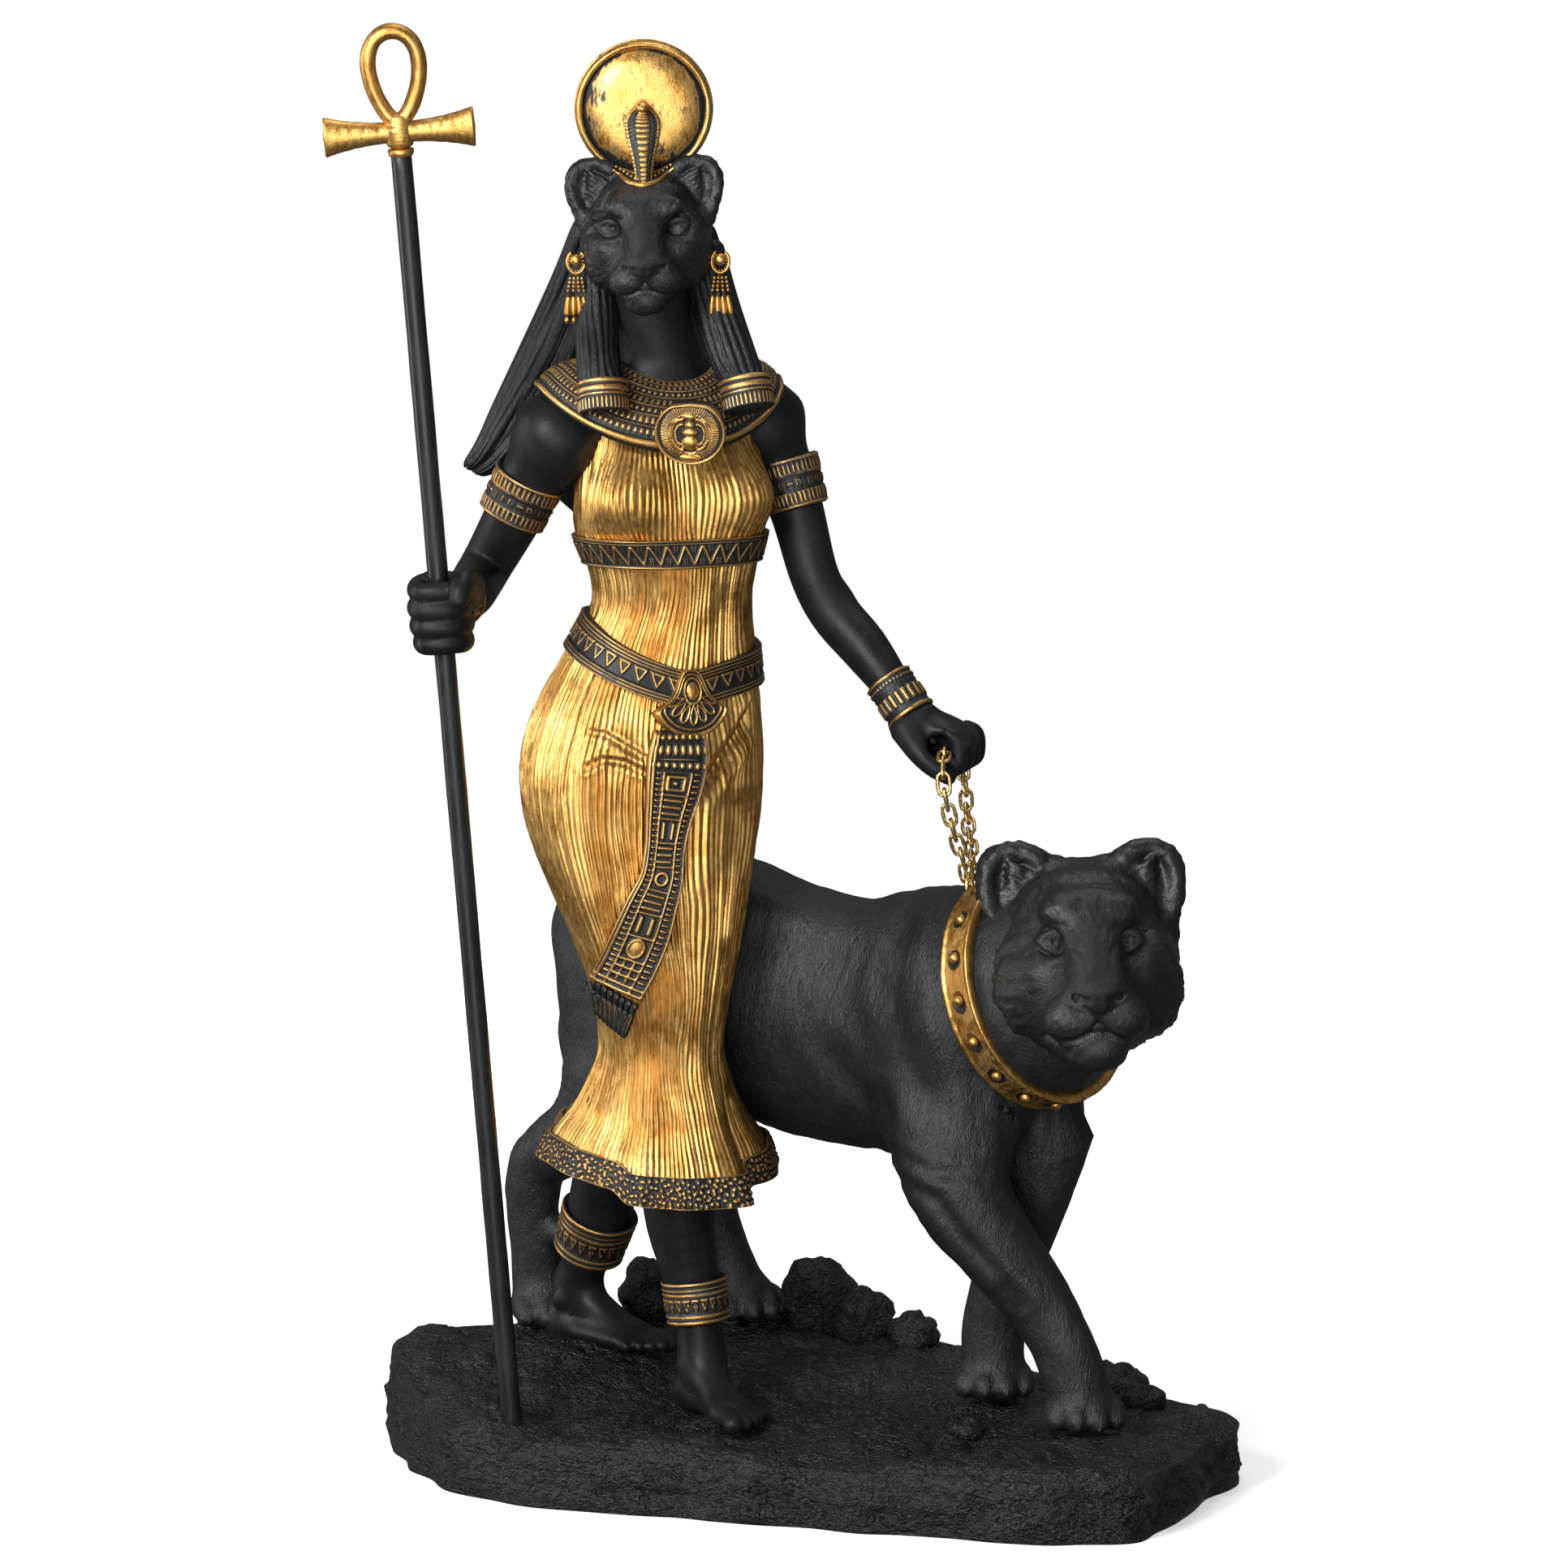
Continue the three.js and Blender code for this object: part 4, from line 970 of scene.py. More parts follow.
@dataclass(frozen=True)
class Row:
    """One row of ornament, from a low to a high share of the band's width."""

    motif: Motif
    low: float
    high: float
    repeats: int = 1

    def relief(self, s: Array, t: Array) -> Array:
        """Heights from 0 to 1 for shares round and across the band."""
        y = (t - self.low) / (self.high - self.low)
        cell = s * self.repeats
        f = cell_place(cell)
        inside = (y > 0) & (y < 1)
        if self.motif is Motif.EDGE:
            made = stroke(y - 0.5, 0.5)
        elif self.motif is Motif.BEADS:
            made = stroke(np.hypot(f / 0.46, (y - 0.5) / 0.46), 1.0)
        elif self.motif is Motif.BARS:
            made = stroke(f, 0.34) * box(y, 0.06, 0.94, 0.05)
        elif self.motif is Motif.ZIGZAG:
            clear = np.where(np.abs(f) < 0.25, y > 0.62, y < 0.38)
            inner = stroke(np.minimum(np.abs(f), 0.5 - np.abs(f)) - 0.08, 0.045) * clear
            made = np.maximum(stroke(y - 2 * np.abs(f), 0.2), 0.8 * inner)
        elif self.motif is Motif.TRIANGLES:
            inner = 0.46 * y - np.abs(f)
            rim = np.maximum(stroke(inner - 0.07, 0.08), stroke(y - 0.93, 0.1) * (inner > 0))
            made = np.maximum(rim, 0.45 * (inner > 0.1) * (y < 0.9))
        elif self.motif is Motif.FLOWERS:
            made = blossoms(cell, 2 * y, self.repeats)
        else:
            made = sign(number_hash(np.floor(cell), self.repeats, round(self.low * 100)), f, y)
        return np.where(inside, made, 0.0)


def edges(*spans: tuple[float, float]) -> list[Row]:
    """Plain raised rows, each from a low to a high share."""
    return [Row(Motif.EDGE, low, high) for low, high in spans]


Surface = Callable[[Array, Array, Array], Array]


@dataclass
class Band:
    """A closed band round something, its outer face worked in rows of ornament."""

    name: str
    surface: Surface
    rows: Sequence[Row]
    around: int = 360
    across: int = 30
    thick: float = 0.8
    tall: float = 0.35
    sunk: float = 1.2
    bulge: float = 0.0
    crowd: float = 0.0
    face: float = 0.88
    rounding: float = 0.05

    def build(self) -> Piece:
        """The band's mesh, in millimetres."""

        def place(u: Array, v: Array) -> Placed:
            """Points of the band's face and of its hidden back."""
            outer, t = folded(seamless(v), self.face)
            height = np.zeros_like(u)
            turn = (u - self.crowd * np.cos(u * TURN) / TURN) % 1
            for row in self.rows:
                height = np.maximum(height, row.relief(turn, t))
            swell = self.bulge * np.sin(np.clip(t, 0, 1) * math.pi)
            raised = self.thick * rounded_off(t, self.rounding) + height * self.tall + swell
            out = np.where(outer, raised, -self.sunk)
            return self.surface(turn * TURN, t, out), {"relief": np.where(outer, height, 0.0)}

        return shaped_grid(self.name, self.around, self.across, place)


def cone_surface(
    start: Sequence[float], end: Sequence[float], radii: tuple[float, float], flat: float = 1.0
) -> Surface:
    """The surface of a cone between two points, flattened by a share one way."""
    a, b = np.array(start, float), np.array(end, float)
    axis = unit(b - a)
    side = unit(np.cross(axis, [0.0, 1.0, 0.2]))
    out = np.cross(side, axis)

    def surface(angle: Array, t: Array, more: Array) -> Array:
        """Points of the cone, moved out by more."""
        radius = radii[0] + (radii[1] - radii[0]) * t + more
        middle = a + t[:, None] * (b - a)
        ring = side * (np.cos(angle) * radius)[:, None] + out * (np.sin(angle) * radius * flat)[:, None]
        return middle + ring

    return surface


# The rock base


@dataclass
class RockBase:
    """The low slab of rock under both figures, with a few boulders behind them."""

    centre: tuple[float, float] = (0.0, 2.0)
    rim: float = 0.66
    foot: float = 0.9
    faces: Faces = (320, 100)
    outline: Sequence[tuple[float, float]] = (
        (-84, 34), (-79, 8), (-66, -16), (-47, -27), (-15, -38), (16, -48.5), (46, -56.5), (62, -54.5),
        (71, -39), (78, -18), (85, -2), (80, 14), (66, 27), (42, 40), (16, 56), (-18, 61), (-52, 56),
        (-75, 48),
    )
    rocks: Sequence[tuple[Triple, Triple, float]] = (
        ((2, 52, 25.4), (8, 6, 9.4), 10), ((11, 49, 22), (7, 6, 7), 40), ((-33, 53, 26.4), (6.6, 5, 8), 70),
        ((60, 18, 15.5), (8, 6, 4.4), 20), ((21, 45, 20), (6, 5, 4.5), 55), ((66, 8, 14.5), (5, 4, 3.4), 5),
        ((31, -16, 14), (4.2, 3, 2), 30), ((-8, 50, 24), (5, 4, 4), 15),
    )

    def ground(self, x: Array, y: Array) -> Array:
        """The ground's height without its roughness."""
        back = smoothstep(y - 0.3 * x, 4, 58)
        return 13.4 + 7.6 * back + 1.4 * smoothstep(-x, 10, 60)

    def edge(self, u: Array) -> Array:
        """Points of the outline for shares round it."""
        pad = 3
        ring = [*self.outline[-pad:], *self.outline, *self.outline[: pad + 1]]
        spans, count = len(ring) - 1, len(self.outline)
        flat = rows_at(ring, (u * count + pad) / spans)
        chips = noise(np.column_stack([flat, np.zeros(len(u))]), 9, 5) * 1.3
        out = unit(flat - np.array(self.centre))
        return flat + out * (chips - 0.8)[:, None]

    def flakes(self, points: Array) -> Array:
        """Layers that have flaked off the rock, and lumps between them."""
        level = fractal(points * [1, 1, 1.6], 13, 4, 11) * 3.2
        step = np.floor(level) + smoothstep(level - np.floor(level), 0.55, 0.95)
        near, following = cells_near(points, 8.5, 3)
        crack = np.exp(-(((following - near) / 0.07) ** 2))
        fine = fractal(points, 2.6, 3, 31)
        return 0.55 * step + 0.42 * fine - 0.5 * crack

    def build(self) -> None:
        """Shapes the slab and its boulders, and settles them."""

        def place(u: Array, v: Array) -> Placed:
            """Points of the top, the sides and the underside."""
            edge = self.edge(u)
            middle = np.array(self.centre)
            top, side = v <= self.rim, (v > self.rim) & (v <= self.foot)
            share = np.where(top, v / self.rim, np.where(side, 1.0, (1 - v) / (1 - self.foot)))
            down = np.clip((v - self.rim) / (self.foot - self.rim), 0, 1)
            flat = middle + share[:, None] * (edge - middle)
            height = self.ground(flat[:, 0], flat[:, 1])
            shoulder = 1.6 * smoothstep(share, 0.93, 1.0) * top + 1.6 * (~top)
            z = (height - shoulder) * (1 - down)
            points = np.column_stack([flat, z])
            rough = self.flakes(points)
            out = np.column_stack([unit(edge - middle), np.zeros(len(u))])
            belly = np.sin(np.clip(down, 0, 1) * math.pi)
            strata = noise(points * [0.5, 0.5, 2.4], 5, 8) * 0.7 + rough * 1.1
            points[:, 2] += np.where(top, rough, 0) * smoothstep(1 - share, 0.0, 0.03)
            points += out * (np.where(side, strata * belly + 1.1 * belly, 0))[:, None]
            points[:, 2] = np.where(v >= self.foot, 0, points[:, 2])
            return points, {}

        slab = shaped_grid("rock_base", *self.faces, place)
        settle(slab, STONE, Slot.RESIN)
        boulders = []
        for centre, radii, spin in self.rocks:
            made = ball("boulder", centre, radii, (0, 0, spin), 42)
            points = read_points(made.data)
            near, following = cells_near(points, 5.5, 17)
            facets = np.clip(following - near, 0, 0.4) * 2.6
            pushed(made, facets + 0.4 * fractal(points, 3, 3, 41) - 0.5)
            boulders.append(made)
        settle(joined("boulders", boulders), STONE, Slot.RESIN)


# Hands, feet and the goddess's skin


def placed_rows(rows: Table, origin: Array, axes: Array) -> list[list[float]]:
    """Moves rows of x, y, z and widths from a local frame to the object's."""
    return [[*(origin + np.array(r[:3]) @ axes), *r[3:]] for r in rows]


@dataclass
class Foot:
    """A bare foot with five toes, from its heel along a heading in degrees. inner is the big toe's side."""

    heel: Triple
    heading: float
    inner: int

    def forms(self) -> list[Form]:
        """The foot's masses."""
        a = math.radians(self.heading)
        ahead = np.array([math.cos(a), math.sin(a), 0])
        axes = np.array([ahead, self.inner * np.array([-ahead[1], ahead[0], 0]), UP])
        origin = np.array(self.heel)
        across = axes[1]

        def limb(rows: Table, soft: float) -> Limb:
            """A limb given from the heel."""
            return Limb(placed_rows(rows, origin, axes), across, soft, steps=12)

        made: list[Form] = [
            Ball(origin + np.array([2.6, 0, 4.2]) @ axes, (4.4, 4.4, 4.3), soft=3),
            limb([(2, 0, 3, 3.9, 2.8), (10, -0.6, 2.6, 4.0, 2.4), (17, -0.2, 2.4, 4.9, 2.2),
                  (22, 0, 2.2, 5.2, 1.9)], 3),
            limb([(4.6, 0, 13, 3.7, 4), (9, 0.4, 8.6, 3.7, 3.4), (15, 0.9, 5.4, 3.6, 2.6),
                  (21, 1.2, 3.4, 3.8, 1.8)], 3),
            Ball(origin + np.array([5.6, 3.6, 9.6]) @ axes, (1.6, 1.3, 1.7), soft=1.6),
            Ball(origin + np.array([4.8, -3.6, 8.8]) @ axes, (1.6, 1.3, 1.7), soft=1.6),
        ]
        toes = ((3.7, 30.0, 1.95), (1.1, 29.6, 1.3), (-0.9, 28.3, 1.2), (-2.7, 26.8, 1.1), (-4.4, 24.8, 1.05))
        for side, reach, thick in toes:
            rows = [
                (20.5, side * 0.92, 2.4, thick, thick), (reach - 4.2, side, 2.6, thick * 0.92, thick * 0.95),
                (reach - thick, side * 1.04, 1.7, thick * 1.06, thick),
            ]
            made.append(limb(rows, 0.7))
        return made


@dataclass
class Goddess:
    """Her shoulders, arms, hands, legs and feet: smooth black skin."""

    shoulders: Limb = field(default_factory=lambda: Limb(
        [(-49, 1.5, 207.5, 7.6, 7.6), (-44, 3.5, 211.5, 7.4, 7.2), (-29, 9, 215, 8.5, 7.4),
         (-12.5, 14.5, 212.5, 7.2, 7), (-7.5, 16, 209, 7.4, 7.2)], (0, 1, 0), 4))
    neck: Limb = field(default_factory=lambda: Limb(
        [(-28.2, 11, 207, 10, 9.5), (-28.6, 9.5, 216, 9.4, 9), (-28.9, 8.5, 223, 8.2, 8),
         (-30.8, 7, 232, 7.6, 7.8), (-31.5, 7, 238, 8.2, 8.2)], (1, 0, 0), 4))
    right_arm: Limb = field(default_factory=lambda: Limb(
        [(-49.5, 1.5, 208.5, 7.2, 7.2), (-53.2, 4.4, 201.5, 6.5, 6.4), (-58.0, 7.0, 191.5, 5.7, 5.8),
         (-63.0, 12.4, 182, 5.1, 5.3), (-64.9, 9.0, 179, 5.0, 5.3), (-66.6, -1, 177.2, 4.8, 5.1),
         (-68.8, -9.5, 177, 3.9, 4.3), (-70, -14, 177, 3.9, 4.8)], (1, 0, 0), 3.2, steps=34))
    left_arm: Limb = field(default_factory=lambda: Limb(
        [(-9.4, 15.5, 209.5, 6.6, 7), (-6.6, 15.6, 203, 6.1, 6.5), (-2.6, 14.8, 192, 5.1, 5.5),
         (1, 12.6, 179, 4.7, 4.9), (5, 11.2, 171.8, 4.9, 5), (11, 7, 165.2, 4.7, 4.8),
         (17.9, 1.2, 156.4, 3.5, 3.6), (20.8, -0.8, 152.4, 3.6, 4.2)], (0.6, 0.8, 0), 3.2, steps=34))
    front_leg: Limb = field(default_factory=lambda: Limb(
        [(-25.8, 2, 70, 7.6, 8), (-25.4, 3.2, 53, 7.2, 7.6), (-22.4, 3, 36, 4.9, 5.2),
         (-21.4, 2.7, 26, 4.3, 4.7), (-21.2, 3.4, 19, 4.2, 4.6)], (1, 0, 0), 3.4))
    rear_leg: Limb = field(default_factory=lambda: Limb(
        [(-36.6, 20, 70, 7.2, 7.6), (-41, 28.6, 53, 6.8, 7), (-44.4, 34.8, 39.5, 5, 5.2),
         (-46.2, 38.8, 33, 4.2, 4.6), (-47.8, 40.6, 27, 4.2, 4.4)], (1, 0, 0), 3.2))
    staff_fist: Triple = (-70.7, -21.0, 176.4)
    staff_way: Triple = (-0.0776, -0.0708, 0.9945)
    arms_voxel: float = 0.67
    legs_voxel: float = 0.7

    def gripping_hand(self) -> list[Form]:
        """The fist round the staff: four stacked fingers, the palm and the thumb."""
        up = unit(np.array(self.staff_way))
        right = unit(np.array([1.0, 0, 0]) - up * up[0])
        back = np.cross(up, right)
        axes = np.array([right, back, up])
        centre = np.array(self.staff_fist)

        def limb(rows: Table, soft: float, steps: int = 14) -> Limb:
            """A limb given from the middle of the fist."""
            return Limb(placed_rows(rows, centre, axes), up, soft, steps=steps)

        made: list[Form] = [
            limb([(1.4, 8, 0.4, 4.8, 3.9), (0.4, 5.2, 0.4, 6.6, 3.6), (-2.4, 4.2, 0.2, 7, 3)], 2.4, 8),
            limb([(3.4, 5.4, 2, 4, 2.4), (4.6, 2, 4, 3.2, 2.2), (4.2, -0.6, 5, 2.6, 2)], 2),
        ]
        bend = (
            (-4.0, 5.6), (-5.0, 2.4), (-5.0, -1.6), (-4.0, -4.2), (-1.2, -5.0), (1.6, -4.7), (3.7, -2.8),
            (4.3, 0.2), (3.6, 2.2),
        )
        for lift, far in ((4.6, 0.97), (1.1, 1.03), (-2.4, 1.0), (-5.7, 0.92)):
            rows = [(x * far, y * far, lift - 0.25 * (x > 2), 2.0, 1.75 if x < 2 else 1.6) for x, y in bend]
            made.append(limb(rows, 0.55, 26))
        thumb = [
            (-65.4, -15, 178.5, 2.6), (-65.3, -20, 181.6, 2.5), (-66.2, -25, 183.0, 2.35),
            (-67.0, -28.4, 181.6, 2.2), (-67.5, -29.4, 179.4, 1.9),
        ]
        made.append(Limb(thumb, (0, 0, 1), 0.9, steps=16))
        made.append(Ball((-67.4, -30.7, 180.4), (1.35, 0.5, 2.0), (-14, 0, 0), soft=0.15))
        return made

    def leading_hand(self) -> list[Form]:
        """The fist that holds the chain: its back above, the fingers curled under, and the thumb."""
        side = (0.0, 1.0, 0.0)
        back = [
            (18.2, 0.7, 152.6, 4.0, 3.3), (22.0, 0, 151.5, 5.2, 3.5), (26.0, -0.6, 150.2, 6.6, 3.4),
            (29.2, -0.9, 149.0, 7.4, 3.0), (31.0, -0.9, 148.2, 7.2, 2.5),
        ]
        palm = [
            (19.6, -0.4, 150.9, 5.2, 3.4), (22.6, 0.6, 147.8, 6, 3.6), (26, 1.4, 146, 6.2, 3.6),
            (29, 1.2, 145.6, 6, 3.2),
        ]
        made: list[Form] = [Limb(back, side, 2.4, steps=14), Limb(palm, side, 2.4, steps=10)]
        for aside, edge, lift in ((-6.5, 30.9, 0.2), (-2.7, 32.2, 0.2), (1.0, 33.4, 0.0), (4.6, 34.5, -0.1)):
            rows = [
                (edge - 3.9, aside, 149.8 + lift, 2.0, 1.9), (edge - 2.1, aside, 148.7 + lift, 2.0, 1.95),
                (edge - 1.8, aside, 145.6 + 0.2 * lift, 2.0, 1.85),
                (edge - 2.4, aside, 144.1 - lift, 1.95, 1.8),
                (edge - 4.6, aside, 143.2 - 0.9 * lift, 1.9, 1.7),
                (edge - 6.6, aside, 144.2 - 0.6 * lift, 1.8, 1.6),
            ]
            made.append(Limb(rows, side, 0.42, steps=20))
        thumb = [
            (18.6, -3.4, 150.8, 3.0), (21.4, -7.0, 146.9, 2.45), (24.1, -8.4, 144.2, 2.1),
            (26.2, -8.8, 142.9, 1.85), (27.4, -8.8, 141.8, 1.4),
        ]
        made.append(Limb(thumb, side, 1.1, steps=16))
        made.append(
            Limb([(24.8, -14, 148.4, 2.3), (25.4, -4.4, 147.9, 2.2)], (1, 0, 0), 0.8, cut=True, steps=3)
        )
        return made

    def build(self) -> None:
        """Shapes her skin in two pieces, above and below the gown."""
        upper = Clay([
            self.shoulders, self.neck, self.right_arm, self.left_arm,
            Ball((-49.6, 1.8, 207.6), (7.8, 7.6, 8.4), soft=3),
            Ball((-9.3, 15.6, 208.0), (6.1, 7.0, 7.4), soft=3),
            Ball((-63.9, 14.6, 180.6), (3.2, 3, 3.2), soft=3),
            Ball((4.6, 13.6, 173.6), (3, 2.8, 3.4), soft=3),
            *self.gripping_hand(), *self.leading_hand(),
        ])
        settle(upper.skin("goddess_arms", self.arms_voxel), SKIN, Slot.RESIN)
        lower = Clay([self.front_leg, self.rear_leg])
        lower.forms += Foot((-23.6, 8.4, 13.4), -64, -1).forms()
        lower.forms += Foot((-51, 42.4, 20.4), -42, 1).forms()
        settle(lower.skin("goddess_legs", self.legs_voxel), SKIN, Slot.RESIN)


# The cat's head, which both figures share


@dataclass
class CatHead:
    """A lioness's head, 24 mm wide as drawn and looking to -y, placed at a centre and a width."""

    name: str
    centre: Triple
    width: float
    turn: Triple
    stretch: Triple = (1.0, 1.0, 1.0)
    voxel: float = 0.36
    eye: float = 6.4
    eye_height: float = 2.4
    eye_size: float = 1.0
    ear: Triple = (10.9, 2.6, 9.2)
    ear_size: Triple = (4.5, 2.4, 5.5)
    ear_turn: Triple = (4, 18, -14)
    ruff: float = 0.3
    nose: float = 1.0
    drawn: float = 24.0

    def skull(self) -> list[Form]:
        """The head's broad masses, as drawn."""
        made: list[Form] = [
            Ball((0, 3.6, 1.8), (11.4, 10, 11), soft=4),
            Limb([(0, 2, -3.5, 10.4, 8.6), (0, -4, -4.2, 8.8, 7.8), (0, -8.6, -5.4, 6.8, 6.2),
                  (0, -12, -6.3, 5.5, 4.4)],
                 soft=4, steps=12),
            Limb([(0, -2.6, 8.2, 6.8, 3), (0, -7.2, 5.2, 4.8, 2.8), (0, -10.8, 1.6, 3.5, 2.6),
                  (0, -13.9, -1.7, 3.2, 2.1), (0, -15.1, -2.9, 3.1, 1.6)], soft=3, steps=16),
            Limb(
                [(0, -4, -9.2, 6.2, 4), (0, -8.4, -10.4, 4.8, 3.4), (0, -11, -10.9, 3.6, 2.8)], soft=2.6,
                steps=8,
            ),
        ]
        pairs = [
            Ball((8.0, -1.6, -3.4), (4.4, 6, 6.4), soft=4),
            Ball((self.eye - 1.7, -7.7, 6.4), (2.9, 1.8, 1.8), (0, -6, -20), soft=3.6),
            Ball((self.eye + 0.6, -7.2, -1.6), (3.0, 2.5, 2.3), (0, -8, -24), soft=3),
        ]
        return made + [form for pair in pairs for form in (pair, mirrored(pair))]

    def lids(self, depth: float) -> list[Form]:
        """One eye's socket, ball and two lids, for the depth of the face there."""
        size, radius = self.eye_size, 2.5 * self.eye_size
        middle = np.array([self.eye, depth + 0.86 * radius, self.eye_height])
        made: list[Form] = [
            Ball(
                (self.eye - 0.1, depth - 0.35, self.eye_height), (2.8 * size, 1.35, 1.7 * size), (0, 10, -24),
                soft=1.2, cut=True,
            ),
            Ball(tuple(middle), (radius, radius, radius), soft=0.2),
        ]
        for high, thick in ((1.4, 0.58), (-1.12, 0.4)):
            rows = []
            for t in np.linspace(-1, 1, 11):
                u = t * 2.2 * size
                w = high * size * (1 - t * t) ** 0.75 + 0.34 * size * t - 0.1 * size
                lie = middle[1] - math.sqrt(max((radius + 0.12) ** 2 - u * u - w * w, 0.3))
                out = lie + 0.34 * size * max(-t, 0) ** 2
                wide = thick * size * (1 - 0.45 * t * t)
                rows.append((self.eye + u, out, self.eye_height + w, wide, thick * size * 0.8))
            made.append(Limb(rows, (0, 0, 1), 0.55, combed=False, steps=14))
        return made

    def forms(self) -> list[Form]:
        """The head's masses and hollows, as drawn."""
        made = self.skull()
        depth = float(self.front(Clay(made), self.eye, self.eye_height)[1])
        n = self.nose
        made += [
            Limb([(-3.9 * n, -14.5, -3.9, 0.9, 0.8), (-2 * n, -15.7, -3.6, 1.2, 1),
                  (0, -16.1, -3.6, 1.3, 1.1), (2 * n, -15.7, -3.6, 1.2, 1),
                  (3.9 * n, -14.5, -3.9, 0.9, 0.8)], (0, 0, 1), soft=0.8, steps=12),
            Ball((0, -15.9, -4.9), (1.7 * n, 1.0, 1.6), soft=0.8),
            Ball((0, -12.1, -11.5), (3.7, 2.8, 2.6), soft=1.8),
        ]
        pairs: list[Form] = [
            Ball((3.4, -13.1, -7.4), (3.5, 2.9, 2.8), (0, 0, -14), soft=2.2),
            Limb([(1.5 * n, -16.9, -4.75, 0.45, 0.3), (2.7 * n, -16.3, -4.7, 0.5, 0.4),
                  (3.6 * n, -15.4, -4.2, 0.4, 0.3)],
                 (0, 0, 1), 0.25, cut=True, steps=6),
            *self.ear_forms(),
            *self.lids(depth),
        ]
        for ring, back in enumerate((-3.6, -1.4, 0.8, 3.0)):
            for k in range(7):
                share = (k + 0.5 * (ring % 2)) / 6.5
                a = math.radians(18 - 92 * share)
                x, z = 10.2 * math.cos(a) + 0.5 * ring - 0.3, 9.4 * math.sin(a) - 1.4
                out = (0.55 * math.cos(a), 0.55 * math.sin(a) - 0.5)
                tip = (x + 1.5 * out[0] + 0.3, back + 1.4, z + 1.8 * out[1] - 0.5, 0.45, 0.4)
                root = (x - 1.1, back - 0.6, z + 1.0, 1.0, 0.8)
                rows = [root, (x + 0.2, back + 0.2, z - 0.1, 0.85, 0.7), tip]
                pairs.append(Limb(rows, soft=0.7, steps=6))
        for form in pairs:
            made += [form, mirrored(form)]
        return made

    def ear_forms(self) -> list[Form]:
        """One ear: a rolled rim about a hollow, a back that runs to the skull, and tufts inside."""
        x, y, z = self.ear
        wide, _, tall = self.ear_size
        path = (
            (-1.0, 0.6, -0.4, 1.5), (-0.55, 0.8, -0.2, 1.35), (0.02, 0.82, -0.1, 1.2),
            (0.5, 0.62, -0.3, 1.15), (0.73, 0.22, -0.6, 1.1), (0.68, -0.3, -0.9, 1.15),
            (0.46, -0.76, -1.2, 1.3), (0.2, -1.15, -1.4, 1.6),
        )
        rim = [(x + a * wide, y + c, z + b * tall, r, r) for a, b, c, r in path]
        made: list[Form] = [
            Ball((x - 0.1, y + 0.8, z + 0.1), (wide * 0.94, 1.5, tall * 0.96), self.ear_turn, soft=1.8),
            Limb(
                [(x - 4.8, y + 0.8, z + 0.4, 3.4, 2.0), (x - 2.4, y + 1.2, z + 1.4, 3.0, 1.6)], (0, 0, 1),
                2.6, steps=4,
            ),
            Limb([(x + 0.9, y + 1.8, z - 2, 2.8, 1.9), (x + 0.3, y + 1.2, z - 5, 2.4, 2.2),
                  (x - 0.9, y + 0.4, z - 7.4, 2.2, 2.4)], soft=3, steps=8),
            Limb(rim, (0, 1, 0), 1.1, steps=26),
        ]
        for k in range(7):
            rise = 1.05 * k - 4.2
            rows = [
                (x - 3.6, y - 1.3, z + rise - 1.0, 0.62, 0.8), (x - 2.2, y - 1.4, z + rise - 0.1, 0.55, 0.55),
                (x - 0.6, y - 1.5, z + rise + 0.8, 0.42, 0.45),
                (x + 1.3 - 0.2 * k, y - 0.8, z + rise + 1.7, 0.2, 0.3),
            ]
            made.append(Limb(rows, (0, 0, 1), 0.4, steps=8))
        return made

    def to_object(self) -> Array:
        """The matrix from the drawn head to the object's frame."""
        k = self.width / self.drawn
        return turned(self.turn) @ np.diag(np.array(self.stretch) * k)

    def carving(self, points: Array, normals: Array) -> Array:
        """How far drawn points stand out: mouth, nostrils, whisker dots and the eye's ring and pupil."""
        out = np.zeros(len(points))
        facing = smoothstep(-normals[:, 1], -0.15, 0.3) * (points[:, 1] < -4)
        flat = points[:, [0, 2]].copy()
        flat[:, 0] = np.abs(flat[:, 0])
        for line, deep, wide in (
            (((0.0, -4.8), (0.0, -8.2)), 0.6, 0.26),
            (((0.0, -8.2), (1.3, -9.2), (3.0, -10.0), (4.9, -10.2), (6.3, -9.5)), 0.85, 0.34),
            (((0.8, -6.6), (1.7, -5.9), (3.0, -5.5), (4.3, -4.7)), 0.3, 0.26),
            (((0.0, -2.9), (1.8, -2.9), (3.2, -3.1)), 0.12, 0.3),
            (((self.eye - 2.2, 2.0), (self.eye - 3.0, 0.9), (self.eye - 3.2, -0.6)), 0.34, 0.32),
            (((self.eye - 1.4, 0.2), (self.eye + 0.4, -0.3), (self.eye + 1.8, 0.3)), 0.22, 0.32),
            (((self.eye - 2.0, 4.2), (self.eye, 4.9), (self.eye + 2.3, 4.3)), 0.26, 0.36),
        ):
            gap, share = gap_to_line(flat, line)
            out -= deep * bell(gap, 0, wide) * facing * (1 - 0.4 * share)
        eye = np.hypot(flat[:, 0] - self.eye + 0.1, flat[:, 1] - self.eye_height - 0.15) / self.eye_size
        at_eye = facing * (eye < 1.6)
        for deep, where, wide in ((0.36, 0, 0.42), (0.16, 1.08, 0.16), (-0.08, 0.72, 0.2)):
            out -= at_eye * deep * bell(eye, where, wide)
        for row in range(4):
            for dot in range(5):
                spot = (1.4 + 0.98 * dot + 0.2 * (row % 2), -6.0 - 0.82 * row - 0.07 * dot * (dot - 1))
                gap = np.hypot(flat[:, 0] - spot[0], flat[:, 1] - spot[1])
                out -= 0.22 * bell(gap, 0, 0.2) * facing
        return out

